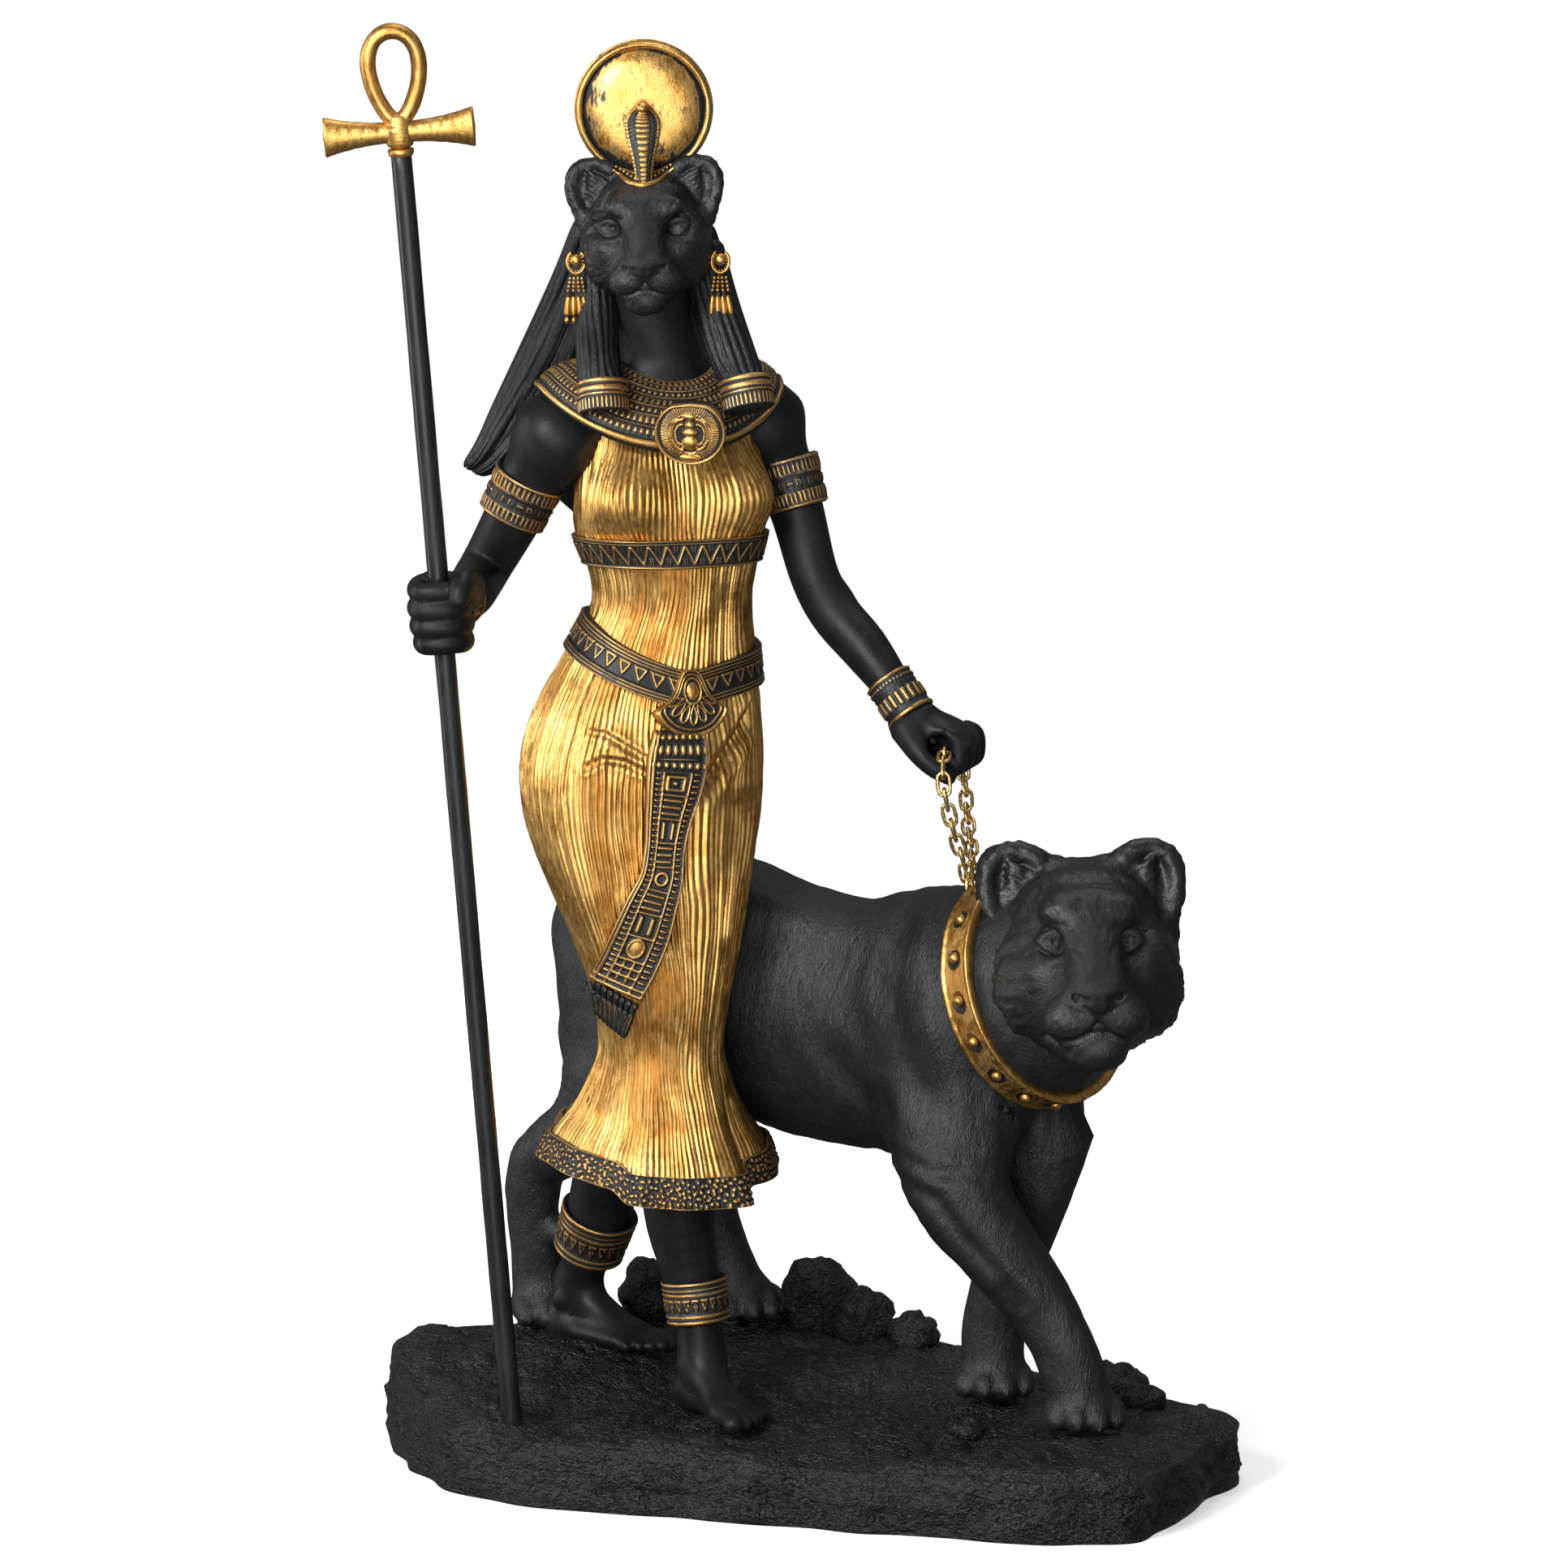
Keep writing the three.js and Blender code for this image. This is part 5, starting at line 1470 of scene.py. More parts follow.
    def hair(self, points: Array) -> Pair:
        """Places along and across the lie of the hair, which runs back from the nose, and its height."""
        nose = np.array([0, -15.5, -1.5])
        away = points - nose
        far = np.linalg.norm(away, axis=1)
        comb = np.column_stack([far, 13 * away[:, [0, 2]] / np.maximum(far, 1)[:, None]])
        sway = np.column_stack([noise(points, 3.1, 5), noise(points, 2.7, 6), noise(points, 2.9, 7)])
        bend = comb + 0.7 * sway
        strands, wisps = noise(bend * [0.34, 1, 1], 0.72, 3), noise(bend * [0.4, 1, 1], 0.4, 4)
        fine = 1 - 1.8 * np.abs(strands) - 0.9 * np.abs(wisps)
        tufts = 1 - 2.0 * np.abs(noise(bend * [0.24, 1, 1], 1.7, 8))
        spread = np.hypot((np.abs(points[:, 0]) - self.ear[0]) / 5.2, (points[:, 2] - self.ear[2]) / 6.4)
        on_ear = 1 - smoothstep(spread, 0.85, 1.15)
        side = smoothstep(np.abs(points[:, 0]), 6.5, 10.5) * smoothstep(points[:, 1], -10, -4) * (1 - on_ear)
        brow = smoothstep(points[:, 2], 5.5, 9) * (1 - on_ear)
        chin = smoothstep(-points[:, 2], 10.4, 11.4) * (points[:, 1] < -6)
        bridge = smoothstep(-points[:, 1], 8, 12) * smoothstep(points[:, 2], -3, -1)
        height = fine * (0.085 + 0.10 * side + 0.06 * brow + 0.14 * chin + 0.03 * bridge + 0.07 * on_ear)
        height += tufts * self.ruff * (side + 0.25 * brow)
        muzzle = 1 - 0.75 * smoothstep(-points[:, 1], 13.2, 15.2)
        return comb, height * muzzle

    def build(self) -> Piece:
        """Shapes, carves and settles the head."""
        clay = Clay(self.forms())
        scale = self.width / self.drawn
        head = clay.skin(self.name, self.voxel / scale, 5)
        points, normals = read_points(head.data), read_normals(head.data)
        comb, hair = self.hair(points)
        aside, above = (np.abs(points[:, 0]) - self.eye) / 2.6, (points[:, 2] - self.eye_height) / 1.9
        off = np.hypot(aside, above) / self.eye_size
        open_eye = (1 - smoothstep(off, 0.8, 1.25)) * (points[:, 1] < -5)
        pushed(head, self.carving(points, normals) + hair * (1 - open_eye))
        keep_values(head.data, "comb", comb * scale)
        whole = self.to_object()
        write_points(head.data, read_points(head.data) @ whole.T + np.array(self.centre))
        return settle(head, FACE, Slot.RESIN)

    def front(self, clay: Clay, x: float, z: float) -> Array:
        """The point of the drawn face that is met first from the front."""
        near, steps = 0.02, 60
        spot = np.array([[x, -self.drawn, z]])
        for _ in range(steps):
            gap = float(clay.measure(spot)[0])
            spot[0, 1] += min(max(gap, near), 1.0)
            if gap < near:
                break
        return spot[0]


# The gown and what lies on it


@dataclass
class Gown:
    """The close pleated gown from hem to armholes, with its bands, belt, buckle and sash."""

    rows: Table = (
        (57.5, -29.8, 11, 22, 26, 18), (64, -29.6, 11, 20, 24, 18), (70, -29.4, 10, 16.6, 20, 18),
        (77, -29.3, 8, 14.2, 16.6, 18), (86, -29.3, 6, 12.2, 13.4, 18), (97, -29.2, 5, 13.4, 13.2, 18),
        (108, -30, 6, 16.6, 14.4, 18), (120, -31.6, 7, 20.3, 16, 20), (132, -32.8, 9, 23.6, 17.6, 22),
        (143, -33.1, 10, 24.6, 18.4, 24), (153, -32.2, 10, 23, 17.2, 24), (162, -30.2, 10, 19.8, 14.6, 22),
        (168, -28.5, 9, 17.6, 12.8, 20), (175, -27, 8, 15.8, 11.6, 20), (182, -26.9, 8, 16.9, 12.4, 20),
        (190, -27.4, 8, 19.2, 12.6, 20), (198, -27.3, 8, 19.2, 12, 20), (206, -27.6, 8.5, 18.2, 11.2, 20),
        (213, -28, 9, 16.6, 10, 20),
    )
    swells: Sequence[tuple[float, float, float, float, float]] = (
        (196, -128, 7.5, 24, 5.6), (196, -54, 7.5, 24, 5.6), (112, -72, 30, 26, 2.6),
        (118, -140, 28, 26, 1.8),
    )
    creases: Sequence[tuple[tuple[tuple[float, float], ...], float, float]] = (
        (((-42.8, 151.0), (-39.8, 150.4), (-36.4, 148.4), (-32.4, 146.0)), 0.4, 0.55),
        (((-43.6, 144.0), (-40.4, 145.7), (-36, 145.0), (-31.6, 142.8)), 0.5, 0.6),
        (((-20.6, 139.2), (-19.2, 141.4), (-13.7, 149.0), (-11.2, 153.4)), 1.4, 1.3),
    )
    ribs: int = 116
    rib_height: float = 0.5
    hem_fold: float = 1.0
    pleat_folds: Sequence[tuple[float, float]] = ((-131, 2.6), (-51, 2.8), (20, 1.5), (90, 1.5), (160, 1.5))
    hem_reach: float = 30.0
    belt_height: float = 169.1
    belt_sag: float = 10.5
    belt_tilt: float = 3.1
    belt_half: float = 3.7
    buckle: float = math.radians(-86)
    faces: Faces = (540, 106)
    hem_end: float = 0.05
    top_start: float = 0.985
    sash_length: float = 53.5
    sash_face: float = 0.9
    sash_faces: Faces = (54, 270)
    buckle_face: float = 0.8
    buckle_faces: Faces = (170, 46)

    def __post_init__(self) -> None:
        """Reads the rows finely, in order of height."""
        self.dense = rows_at(self.rows, np.linspace(0, 1, 600))

    def row(self, height: Array) -> list[Array]:
        """The middle, half widths and turn at heights."""
        made = [np.interp(height, self.dense[:, 0], self.dense[:, k]) for k in range(1, 6)]
        made[4] = np.radians(made[4])
        return made

    def swell(self, angle: Array, height: Array) -> Array:
        """How far the body swells the gown."""
        total = np.zeros_like(angle)
        for high, where, tall, wide, out in self.swells:
            off = (angle - math.radians(where) + math.pi) % TURN - math.pi
            total += out * bell(height, high, tall) * bell(off, 0, math.radians(wide))
        return total

    def surface(self, angle: Array, height: Array, more: Array | float = 0.0) -> Array:
        """Points of the gown for angles and heights, moved out by more."""
        x, y, wide, deep, turn = self.row(height)
        grow = more + self.swell(angle, height)
        flare = np.clip(1 - (height - 57.5) / self.hem_reach, 0, 1)
        grow = grow + flare * self.hem_fold * np.cos(6 * angle + 0.6)
        grow = grow + flare**1.5 * 0.6 * np.sin(11 * angle + 1.0)
        tucked = np.zeros_like(angle)
        for where, inward in self.pleat_folds:
            off = (np.degrees(angle) - where + 180) % 360 - 180
            tucked += inward * bell(off, 0, 7.5)
        grow = grow - tucked * flare**1.2
        across, out = np.cos(angle) * (wide + grow), np.sin(angle) * (deep + grow)
        aside = np.abs((np.degrees(angle) + 91 + 180) % 360 - 180)
        rise = flare * (3.4 + 3.6 * np.sin(angle) - 0.8 * np.cos(angle) + 2.0 * smoothstep(aside, 34, 46))
        flat = [
            x + across * np.cos(turn) - out * np.sin(turn), y + across * np.sin(turn) + out * np.cos(turn)
        ]
        return np.column_stack([*flat, height + rise])

    def front_angle(self, x: Array, height: Array) -> Array:
        """The angle of the front point at an x and a height."""
        angle = np.full_like(x, -math.pi / 2)
        middle, _, wide, deep, turn = self.row(height)
        for _ in range(5):
            grow = self.swell(angle, height)
            a, b = (wide + grow) * np.cos(turn), (deep + grow) * np.sin(turn)
            reach = np.hypot(a, b)
            angle = -np.arctan2(b, a) - np.arccos(np.clip((x - middle) / reach, -0.98, 0.98))
        return angle

    def belt_middle(self, angle: Array) -> Array:
        """The height of the belt, which sags to its buckle."""
        off = angle - self.buckle
        drop = self.belt_sag * (1 - np.abs(np.sin(off / 2)))
        return self.belt_height - drop - self.belt_tilt * np.sin(off) * np.abs(np.sin(off))

    def pleats(self, angle: Array, height: Array) -> Pair:
        """The pleats' height and how far up a pleat each point lies."""
        where = np.column_stack([np.cos(angle) * 22, np.sin(angle) * 22, height])
        phase = self.ribs * angle / TURN
        phase = phase + 0.75 * noise(where * [1, 1, 0.5], 7, 61) + 0.4 * noise(where * [1, 1, 0.55], 3.2, 62)
        number = np.floor(phase)
        wave = 0.5 - 0.5 * np.cos(TURN * (phase - number))
        own = number_hash(number % self.ribs, 7)
        strong = 0.45 + 0.55 * own + 0.35 * noise(where * [1, 1, 0.35], 5, 63)
        crest = 0.3 * bell(phase - number, 0.5, 0.12) * (own > 0.45)
        lift = (wave**0.4 + crest) * np.clip(strong, 0.2, 1.2)
        return lift, wave**0.36 * np.clip(0.62 + 0.6 * strong, 0, 1)

    def cloth(self) -> Piece:
        """The gown's cloth, closed under the hem and inside the collar."""
        low, high = self.rows[0][0], self.rows[-1][0]

        def place(u: Array, v: Array) -> Placed:
            """Points of the cloth, under its hem and over its top."""
            angle = u * TURN - 0.4 * np.cos(u * TURN)
            under, over = v < self.hem_end, v > self.top_start
            share = np.clip((v - self.hem_end) / (self.top_start - self.hem_end), 0, 1)
            height = np.interp(share, (0, 0.4, 0.76, 1), (low, 139, 158, high))
            lift, mask = self.pleats(angle, height)
            points = self.surface(angle, height)
            fold = np.zeros_like(u)
            ahead = points[:, 1] < 6
            for line, deep, wide in self.creases:
                gap, _ = gap_to_line(points[:, [0, 2]], line)
                fold += ahead * (-deep * bell(gap, 0, wide) + 0.5 * deep * bell(gap, 2.1 * wide, wide))
            rubbed = bell(points[:, 0], -36.4, 5.2) * bell(points[:, 2], 149.2, 5.6)
            calm = ahead * np.minimum(1.7 * rubbed, 1)
            pucker = (noise(points, 2.4, 71) * 0.12 + noise(points, 0.9, 72) * 0.06) * calm
            lift, mask = lift * (1 - 0.8 * calm), mask + (1 - mask) * 0.7 * calm
            hip = 0.8 + 0.5 * smoothstep(height, 90, 140) * (1 - smoothstep(height, 160, 185))
            more = self.rib_height * hip * lift + fold + pucker - 0.3
            points = self.surface(angle, height, more)
            inner = self.surface(angle, np.full_like(height, low), -1.6)
            middle = np.array([-29.8, 11, 60])
            hem = self.surface(angle, np.full_like(height, low), 0.0)
            share_in = np.clip(v / self.hem_end, 0, 1)
            fall = middle + (inner - middle) * smoothstep(share_in, 0, 0.8)[:, None]
            fall = fall + (hem - inner) * smoothstep(share_in, 0.8, 1.0)[:, None]
            points = np.where(under[:, None], fall, points)
            close = np.clip((v - self.top_start) / (1 - self.top_start), 0, 1)[:, None]
            points = np.where(over[:, None], points * (1 - close) + np.array([-28, 9, high]) * close, points)
            # Painted shade: the gold is dimmed where a crease runs deepest, along the drape's shadow edge.
            mask = mask * (1 - 0.45 * smoothstep(-fold, 0.6, 1.0))
            return points, {"relief": np.where(under, 0.0, mask)}

        return shaped_grid("gown", *self.faces, place)

    def strap(
        self, name: str, low: float, high: float, rows: Sequence[Row], around: int, tall: float = 0.35
    ) -> Band:
        """A level band round the gown."""

        def surface(angle: Array, t: Array, out: Array) -> Array:
            """Points of the level band."""
            return self.surface(angle, low + (high - low) * t, out)

        return Band(name, surface, rows, around, 28, 0.9, tall, crowd=0.4)

    def belt(self) -> Band:
        """The belt that rests on her hips."""

        def surface(angle: Array, t: Array, out: Array) -> Array:
            """Points of the belt."""
            height = self.belt_middle(angle) + (2 * t - 1) * self.belt_half
            return self.surface(angle, height, out)

        rows = edges((0.92, 0.98), (0.83, 0.88), (0.745, 0.79), (0.2, 0.245), (0.11, 0.16), (0.02, 0.07))
        rows.append(Row(Motif.TRIANGLES, 0.3, 0.71, 36))
        return Band("belt", surface, rows, 410, 38, 1.5, 0.5, crowd=0.4)

    def sash_rows(self) -> Sequence[Triple]:
        """Height, x and half width down the sash."""
        return ((151.2, -26.0, 4.6), (145.5, -26.3, 5.5), (139.8, -27.0, 5.2), (134.1, -28.0, 4.3),
                (128.4, -28.7, 3.7), (122.6, -29.3, 4.0), (116.9, -31.0, 4.8), (111.2, -32.7, 5.3),
                (105.5, -34.7, 5.3), (99.8, -37.1, 5.2))

    def on_front(self, x: Array, height: Array, out: Array) -> Array:
        """Points out from the gown's front at an x and a height."""
        return self.surface(self.front_angle(x, height), height, out)

    def sash(self) -> Piece:
        """The worked sash: a beaded top, ladder borders, panels of plain strokes and a low ring."""
        table = np.asarray(self.sash_rows())

        def place(u: Array, v: Array) -> Placed:
            """Points of the sash's face and back."""
            face, t = folded(seamless(u), self.sash_face)
            row = rows_at(table, v)
            ahead = rows_at(table, np.clip(v + 0.01, 0, 1)) - rows_at(table, np.clip(v - 0.01, 0, 1))
            run = unit(ahead[:, [1, 0]])
            aside = (2 * t - 1) * row[:, 2]
            x = row[:, 1] - run[:, 1] * aside
            height = row[:, 0] + run[:, 0] * aside
            corner, tip = rounded_off(t, 0.06), rounded_off(v, 0.012)
            lift = self.sash_work(t, v)
            out = np.where(face, 2.2 * corner * tip + 0.55 * lift * tip, -0.8)
            return self.on_front(x, height, out), {"relief": np.where(face, lift, 0.0)}

        return shaped_grid("sash", *self.sash_faces, place)

    def sash_work(self, t: Array, v: Array) -> Array:
        """The sash's relief across and down it."""
        run = v * self.sash_length
        body = run > 8.2
        lift = np.maximum.reduce([stroke(t - 0.03, 0.034), stroke(t - 0.105, 0.03), stroke(t - 0.96, 0.04)])
        lift = np.maximum(lift, np.maximum(stroke(t - 0.285, 0.026), stroke(t - 0.73, 0.026)) * body)
        borders = box(t, 0.15, 0.25, 0.01) + box(t, 0.77, 0.89, 0.01)
        ladder = stroke(cell_place(run / 1.15), 0.24) * borders * body
        left = self.sash_length - run
        hem = np.maximum(stroke(left - 0.8, 0.4), stroke(left - 2.0, 0.3))
        body = body & (left > 2.5)
        panel = (run - 8.2) / 4.8
        cell, y = np.floor(panel), 1 - (panel - np.floor(panel))
        rule = np.maximum(stroke(y, 0.05), stroke(1 - y, 0.05)) * box(t, 0.28, 0.72, 0.01)
        kind = number_hash(cell, 23)
        f = (t - 0.5) / 0.40
        last = cell == 7
        oval = np.hypot(f / 0.8, (y - 0.5) / 0.9)
        ring = np.maximum(stroke(oval - 0.42, 0.07), stroke(np.hypot(f / 0.3, (y - 0.5) / 0.42), 1.0))
        grid = np.maximum(stroke(np.abs(f) - 0.2, 0.07), stroke(np.abs(y - 0.5) - 0.17, 0.06))
        marks = np.where(last, ring, np.where(cell > 7, grid, sign(kind, f * 0.8, y)))
        marks = marks * box(t, 0.3, 0.71, 0.01)
        lift = np.maximum.reduce([lift, ladder * (left > 2.5), rule * body, marks * body, hem])
        for start, end, count in ((0.5, 2.0, 8), (2.5, 5.2, 8), (5.5, 5.9, 1), (6.1, 7.8, 8)):
            f = cell_place(t * count)
            y = (run - start) / (end - start) - 0.5
            bead = np.sqrt(np.clip(1 - (f / 0.4) ** 2 - (y / 0.5) ** 2, 0, 1))
            lift = np.maximum(lift, bead * box(t, 0.07, 0.93, 0.01) * 1.15)
        return lift

    def tassels(self) -> Piece:
        """The short beaded fringe below the sash."""
        made = []
        count = 8
        for k in range(count):
            share = (k + 0.5) / count
            rows = []
            for drop, thick in (
                (0.0, 0.6), (0.12, 0.72), (0.3, 0.52), (0.38, 0.74), (0.8, 0.74), (1.0, 0.55)
            ):
                x = -42.0 + 9.0 * share + drop * (0.9 - 3.6 * share)
                height = 102.2 - 4.9 * share - drop * (8.2 - 1.0 * share)
                spot = self.on_front(np.array([x]), np.array([height]), np.array([1.3 - 0.3 * drop]))[0]
                rows.append((*spot, thick, thick))
            made.append(rod("tassel", rows, 12, 26, (1, 0, 0), self.painted_glints))
        return joined("sash_tassels", made)

    @staticmethod
    def painted_glints(angle: Array, v: Array) -> Pair:
        """Painted glints: gold only on the front of a black drop, at its head and down its middle, standing
        in for highlights.
        """
        ahead = bell(angle, math.pi / 2, 0.75)
        return 0 * v, ahead * (0.6 * box(v, 0.03, 0.2) + 0.5 * box(v, 0.5, 0.86) + 0.2)

    def buckle_plate(self) -> Piece:
        """The fan-shaped buckle with its rim, petals and oval stud."""
        half = (
            (0, 5.6), (1.5, 5.2), (2.5, 3.6), (3.5, 1.2), (5.1, -0.8), (7.5, -2.6), (6.5, -4.9), (3.9, -7.0),
            (0, -7.9),
        )
        ring = np.array([*half, *[(-x, y) for x, y in half[-2:0:-1]]])
        count = len(ring)
        padded = [*ring[-3:], *ring, *ring[:4]]
        middle = self.surface(np.array([self.buckle]), self.belt_middle(np.array([self.buckle])), 1.6)[0]
        middle = middle + np.array([-1.3, 1.2, -1.4])
        turn = turned((0, 0, 25)) @ turned((-7, 0, 0))

        def place(u: Array, v: Array) -> Placed:
            """Points of the plate's front and back."""
            edge = rows_at(padded, (u * count + 3) / (len(padded) - 1))
            front, share = folded(v, self.buckle_face)
            flat = edge * share[:, None]
            rim = np.maximum(stroke(share - 0.94, 0.055), 0.8 * stroke(share - 0.8, 0.035))
            far = np.hypot(flat[:, 0], flat[:, 1] - 0.4)
            angle = np.arctan2(flat[:, 0], -(flat[:, 1] - 0.4))
            petal = angle / math.radians(25)
            f = petal - np.round(petal)
            reach = 0.44 * np.sin(np.clip((far - 2.0) / 3.9, 0, 1) * math.pi) ** 0.6
            fan = stroke(np.abs(f) - reach + 0.06, 0.12) * (far > 2.0) * (far < 6.0) * (np.abs(petal) < 3.5)
            gem = np.hypot(flat[:, 0] / 1.35, (flat[:, 1] - 1.2) / 1.9)
            stone = np.maximum(np.sqrt(np.clip(1 - gem**2, 0, 1)), stroke(gem - 1.32, 0.14))
            near = share < 0.74
            lift = np.where(near, np.maximum(fan * 0.9 * (gem > 1.5), stone * 1.1), rim)
            depth = np.where(front, -2.6 - 0.6 * lift - 0.5 * (1 - share**2), 0.8)
            spot = np.column_stack([flat[:, 0], depth, flat[:, 1]])
            return middle + spot @ turn.T, {"relief": np.where(front, lift, 0.3)}

        return shaped_grid("buckle", *self.buckle_faces, place)

    def build(self) -> None:
        """Shapes the gown and all that lies on it, and settles them."""
        settle(self.cloth(), CLOTH, Slot.GILT)
        flowers = [*edges((0.93, 1.0), (0.0, 0.06)), Row(Motif.FLOWERS, 0.07, 0.92, 56)]
        settle(self.strap("hem_band", 57.3, 63.8, flowers, 480, 0.6).build(), TRIM, Slot.GILT)
        zigzag = [*edges((0.92, 1.0), (0.82, 0.88), (0.0, 0.12)), Row(Motif.ZIGZAG, 0.16, 0.8, 34)]
        settle(self.strap("bust_band", 182.4, 188.4, zigzag, 410).build(), TRIM, Slot.GILT)
        for piece in (self.belt().build(), self.sash(), self.tassels()):
            settle(piece, TRIM, Slot.GILT)
        settle(self.buckle_plate(), JEWEL, Slot.GILT)


# Her collar, jewels, wig and crown


@dataclass
class Jewels:
    """The broad collar and its pendant, the cuffs, the earrings and the lappets' caps."""

    rings: Table = (
        (24.6, 14.6, -29.4, 8.5, 215.4, 12, 0.2), (25.0, 15.4, -29.4, 8.5, 217.0, 11.6, 0),
        (20.5, 14.2, -29.4, 8.8, 220.2, 8.9, -0.2), (14, 11.6, -29, 9, 221.9, 6.2, 0),
        (9.4, 8.8, -28.8, 9, 222.4, 4.3, 0),
    )
    chest_turn: float = math.radians(20)
    collar_faces: Faces = (430, 60)
    pendant_face: float = 0.84
    pendant_faces: Faces = (220, 48)
    cuff_faces: Faces = (140, 25)

    def collar_surface(self, angle: Array, t: Array, out: Array) -> Array:
        """Points of the broad collar from its outer rim to the neck, lifted by out."""
        wide, deep, x, y, height, front, side = rows_at(self.rings[1:], t).T
        drop = front * np.clip(-np.sin(angle), 0, 1) ** 1.4 + side * np.abs(np.cos(angle)) ** 4
        a, b = np.cos(angle) * (wide + 0.55 * out), np.sin(angle) * (deep + 0.55 * out)
        c, s = math.cos(self.chest_turn), math.sin(self.chest_turn)
        return np.column_stack([x + a * c - b * s, y + a * s + b * c, height - drop + 0.85 * out])

    def broad_collar(self) -> Band:
        """The collar's rows of bars and beads between narrow ridges."""
        rows = edges((0.0, 0.07))
        for k, count in enumerate((118, 110, 100, 90, 80, 70, 60)):
            low = 0.11 + 0.125 * k
            rows += [Row(Motif.BARS, low, low + 0.075, count), *edges((low + 0.085, low + 0.115))]
        return Band("broad_collar", self.collar_surface, rows, *self.collar_faces, 0.7, 0.42, 2.0)

    def pendant(self) -> Piece:
        """A round pendant: rims, fine rays and a beetle made of plain domes."""
        start, end = np.array([-23.2, -9.8, 209.7]), np.array([-22.8, -5.7, 210.5])
        face = unit(start - end)
        side = unit(np.cross(face, [0, 0, -1.0]))
        up = np.cross(side, face)
        up = up * np.sign(up[2])
        side = side * np.sign(side[0])

        def place(u: Array, v: Array) -> Placed:
            """Points of the pendant's front and back."""
            angle = u * TURN
            front, share = folded(v, self.pendant_face)
            wide = 6.5 + 0.5 * np.abs(np.cos(angle)) ** 2 - 0.5 * bell(np.sin(angle), 1, 0.12)
            radius = share * wide
            x, y = np.cos(angle) * radius, np.sin(angle) * radius
            rays = stroke((angle * 72 / TURN) % 1 - 0.5, 0.32) * box(radius, 4.15, 5.75, 0.05) * 0.8
            wing = np.hypot((np.abs(x) - 1.4) / 2.1, (y + 0.2) / 3.1)
            fan = (np.arctan2(y, np.abs(x) - 1.4) * 16 / math.pi) % 1 - 0.5
            quills = 0.6 * stroke(fan, 0.3) * box(wing, 0.72, 0.95, 0.03)
            wings = np.maximum.reduce([stroke(wing - 1, 0.1), 0.8 * stroke(wing - 0.66, 0.07), quills])
            wings = wings * (np.abs(x) > 1.2)
            body = np.zeros_like(u)
            for high, a, b in (
                (3.5, 1.5, 0.8), (1.7, 1.0, 0.9), (0.2, 1.6, 0.85), (-1.9, 1.7, 1.5), (-4.9, 2.2, 0.75)
            ):
                body = np.maximum(body, np.sqrt(np.clip(1 - (x / a) ** 2 - ((y - high) / b) ** 2, 0, 1)))
            legs = stroke(np.abs(x) - 1.3 - 0.35 * np.abs(y + 2.9), 0.2) * box(y, -4.2, -2.4, 0.1)
            rim = np.maximum(stroke(share - 0.95, 0.05), 0.8 * stroke(radius - 3.95, 0.16))
            lift = np.maximum.reduce([rim, rays, wings, body * 1.5, legs])
            depth = np.where(front, 2.5 + 0.55 * lift - 0.4 * share**4, -2.0)
            spot = side * x[:, None] + up * y[:, None] + face * depth[:, None]
            return (start + end) / 2 + spot, {"relief": np.where(front, np.minimum(lift, 1.0), 0.2)}

        return shaped_grid("pendant", *self.pendant_faces, place)

    def cuffs(self) -> list[Band]:
        """The armlets, bracelets, anklets and the wig's end caps."""
        armlet = [
            *edges((0.9, 1.0), (0.63, 0.69), (0.31, 0.36), (0.0, 0.1)), Row(Motif.BARS, 0.7, 0.88, 40),
            Row(Motif.SIGNS, 0.37, 0.62, 22), Row(Motif.BARS, 0.12, 0.3, 40),
        ]
        wrist = [
            *edges((0.9, 1.0), (0.68, 0.72), (0.0, 0.13)), Row(Motif.BEADS, 0.76, 0.86, 36),
            Row(Motif.BARS, 0.24, 0.6, 20),
        ]
        ankle = [
            *edges((0.9, 1.0), (0.78, 0.86), (0.66, 0.74), (0.16, 0.24), (0.0, 0.12)),
            Row(Motif.TRIANGLES, 0.28, 0.62, 22),
        ]
        cap = [*edges((0.82, 1.0), (0.58, 0.78), (0.46, 0.55)), Row(Motif.BARS, 0.02, 0.44, 34)]
        table = (
            ("armlet_right", (-58.5, 6.7, 191.1), (-54.6, 5.5, 199.3), (6.2, 6.6), armlet, 1.0),
            ("armlet_left", (-2.1, 14.4, 192.2), (-4.7, 15.4, 202.0), (5.5, 5.9), armlet, 1.0),
            ("bracelet_left", (20.2, -0.6, 152.9), (15.2, 2.4, 160.0), (4.4, 4.3), wrist, 1.0),
            ("bracelet_right", (-69.6, -12.6, 177), (-68, -7.4, 177), (4.7, 4.8), wrist, 1.0),
            ("anklet_front", (-21.8, 2.9, 31.6), (-22.8, 3.2, 40.4), (5.7, 6.1), ankle, 1.0),
            ("anklet_rear", (-44.4, 34.8, 39.4), (-41.8, 30.8, 48.6), (6.5, 7.3), ankle, 1.0),
            ("lappet_cap_right", (-39.9, -8.2, 213.2), (-40.3, -5.8, 219.4), (4.35, 4.35), cap, 0.78),
            ("lappet_cap_left", (-11.7, -3.0, 213.4), (-12.8, -0.8, 219.5), (4.5, 4.5), cap, 0.78),
        )
        return [
            Band(name, cone_surface(start, end, radii, flat), rows, *self.cuff_faces, 0.3, 0.36, 1.6)
            for name, start, end, radii, rows, flat in table
        ]

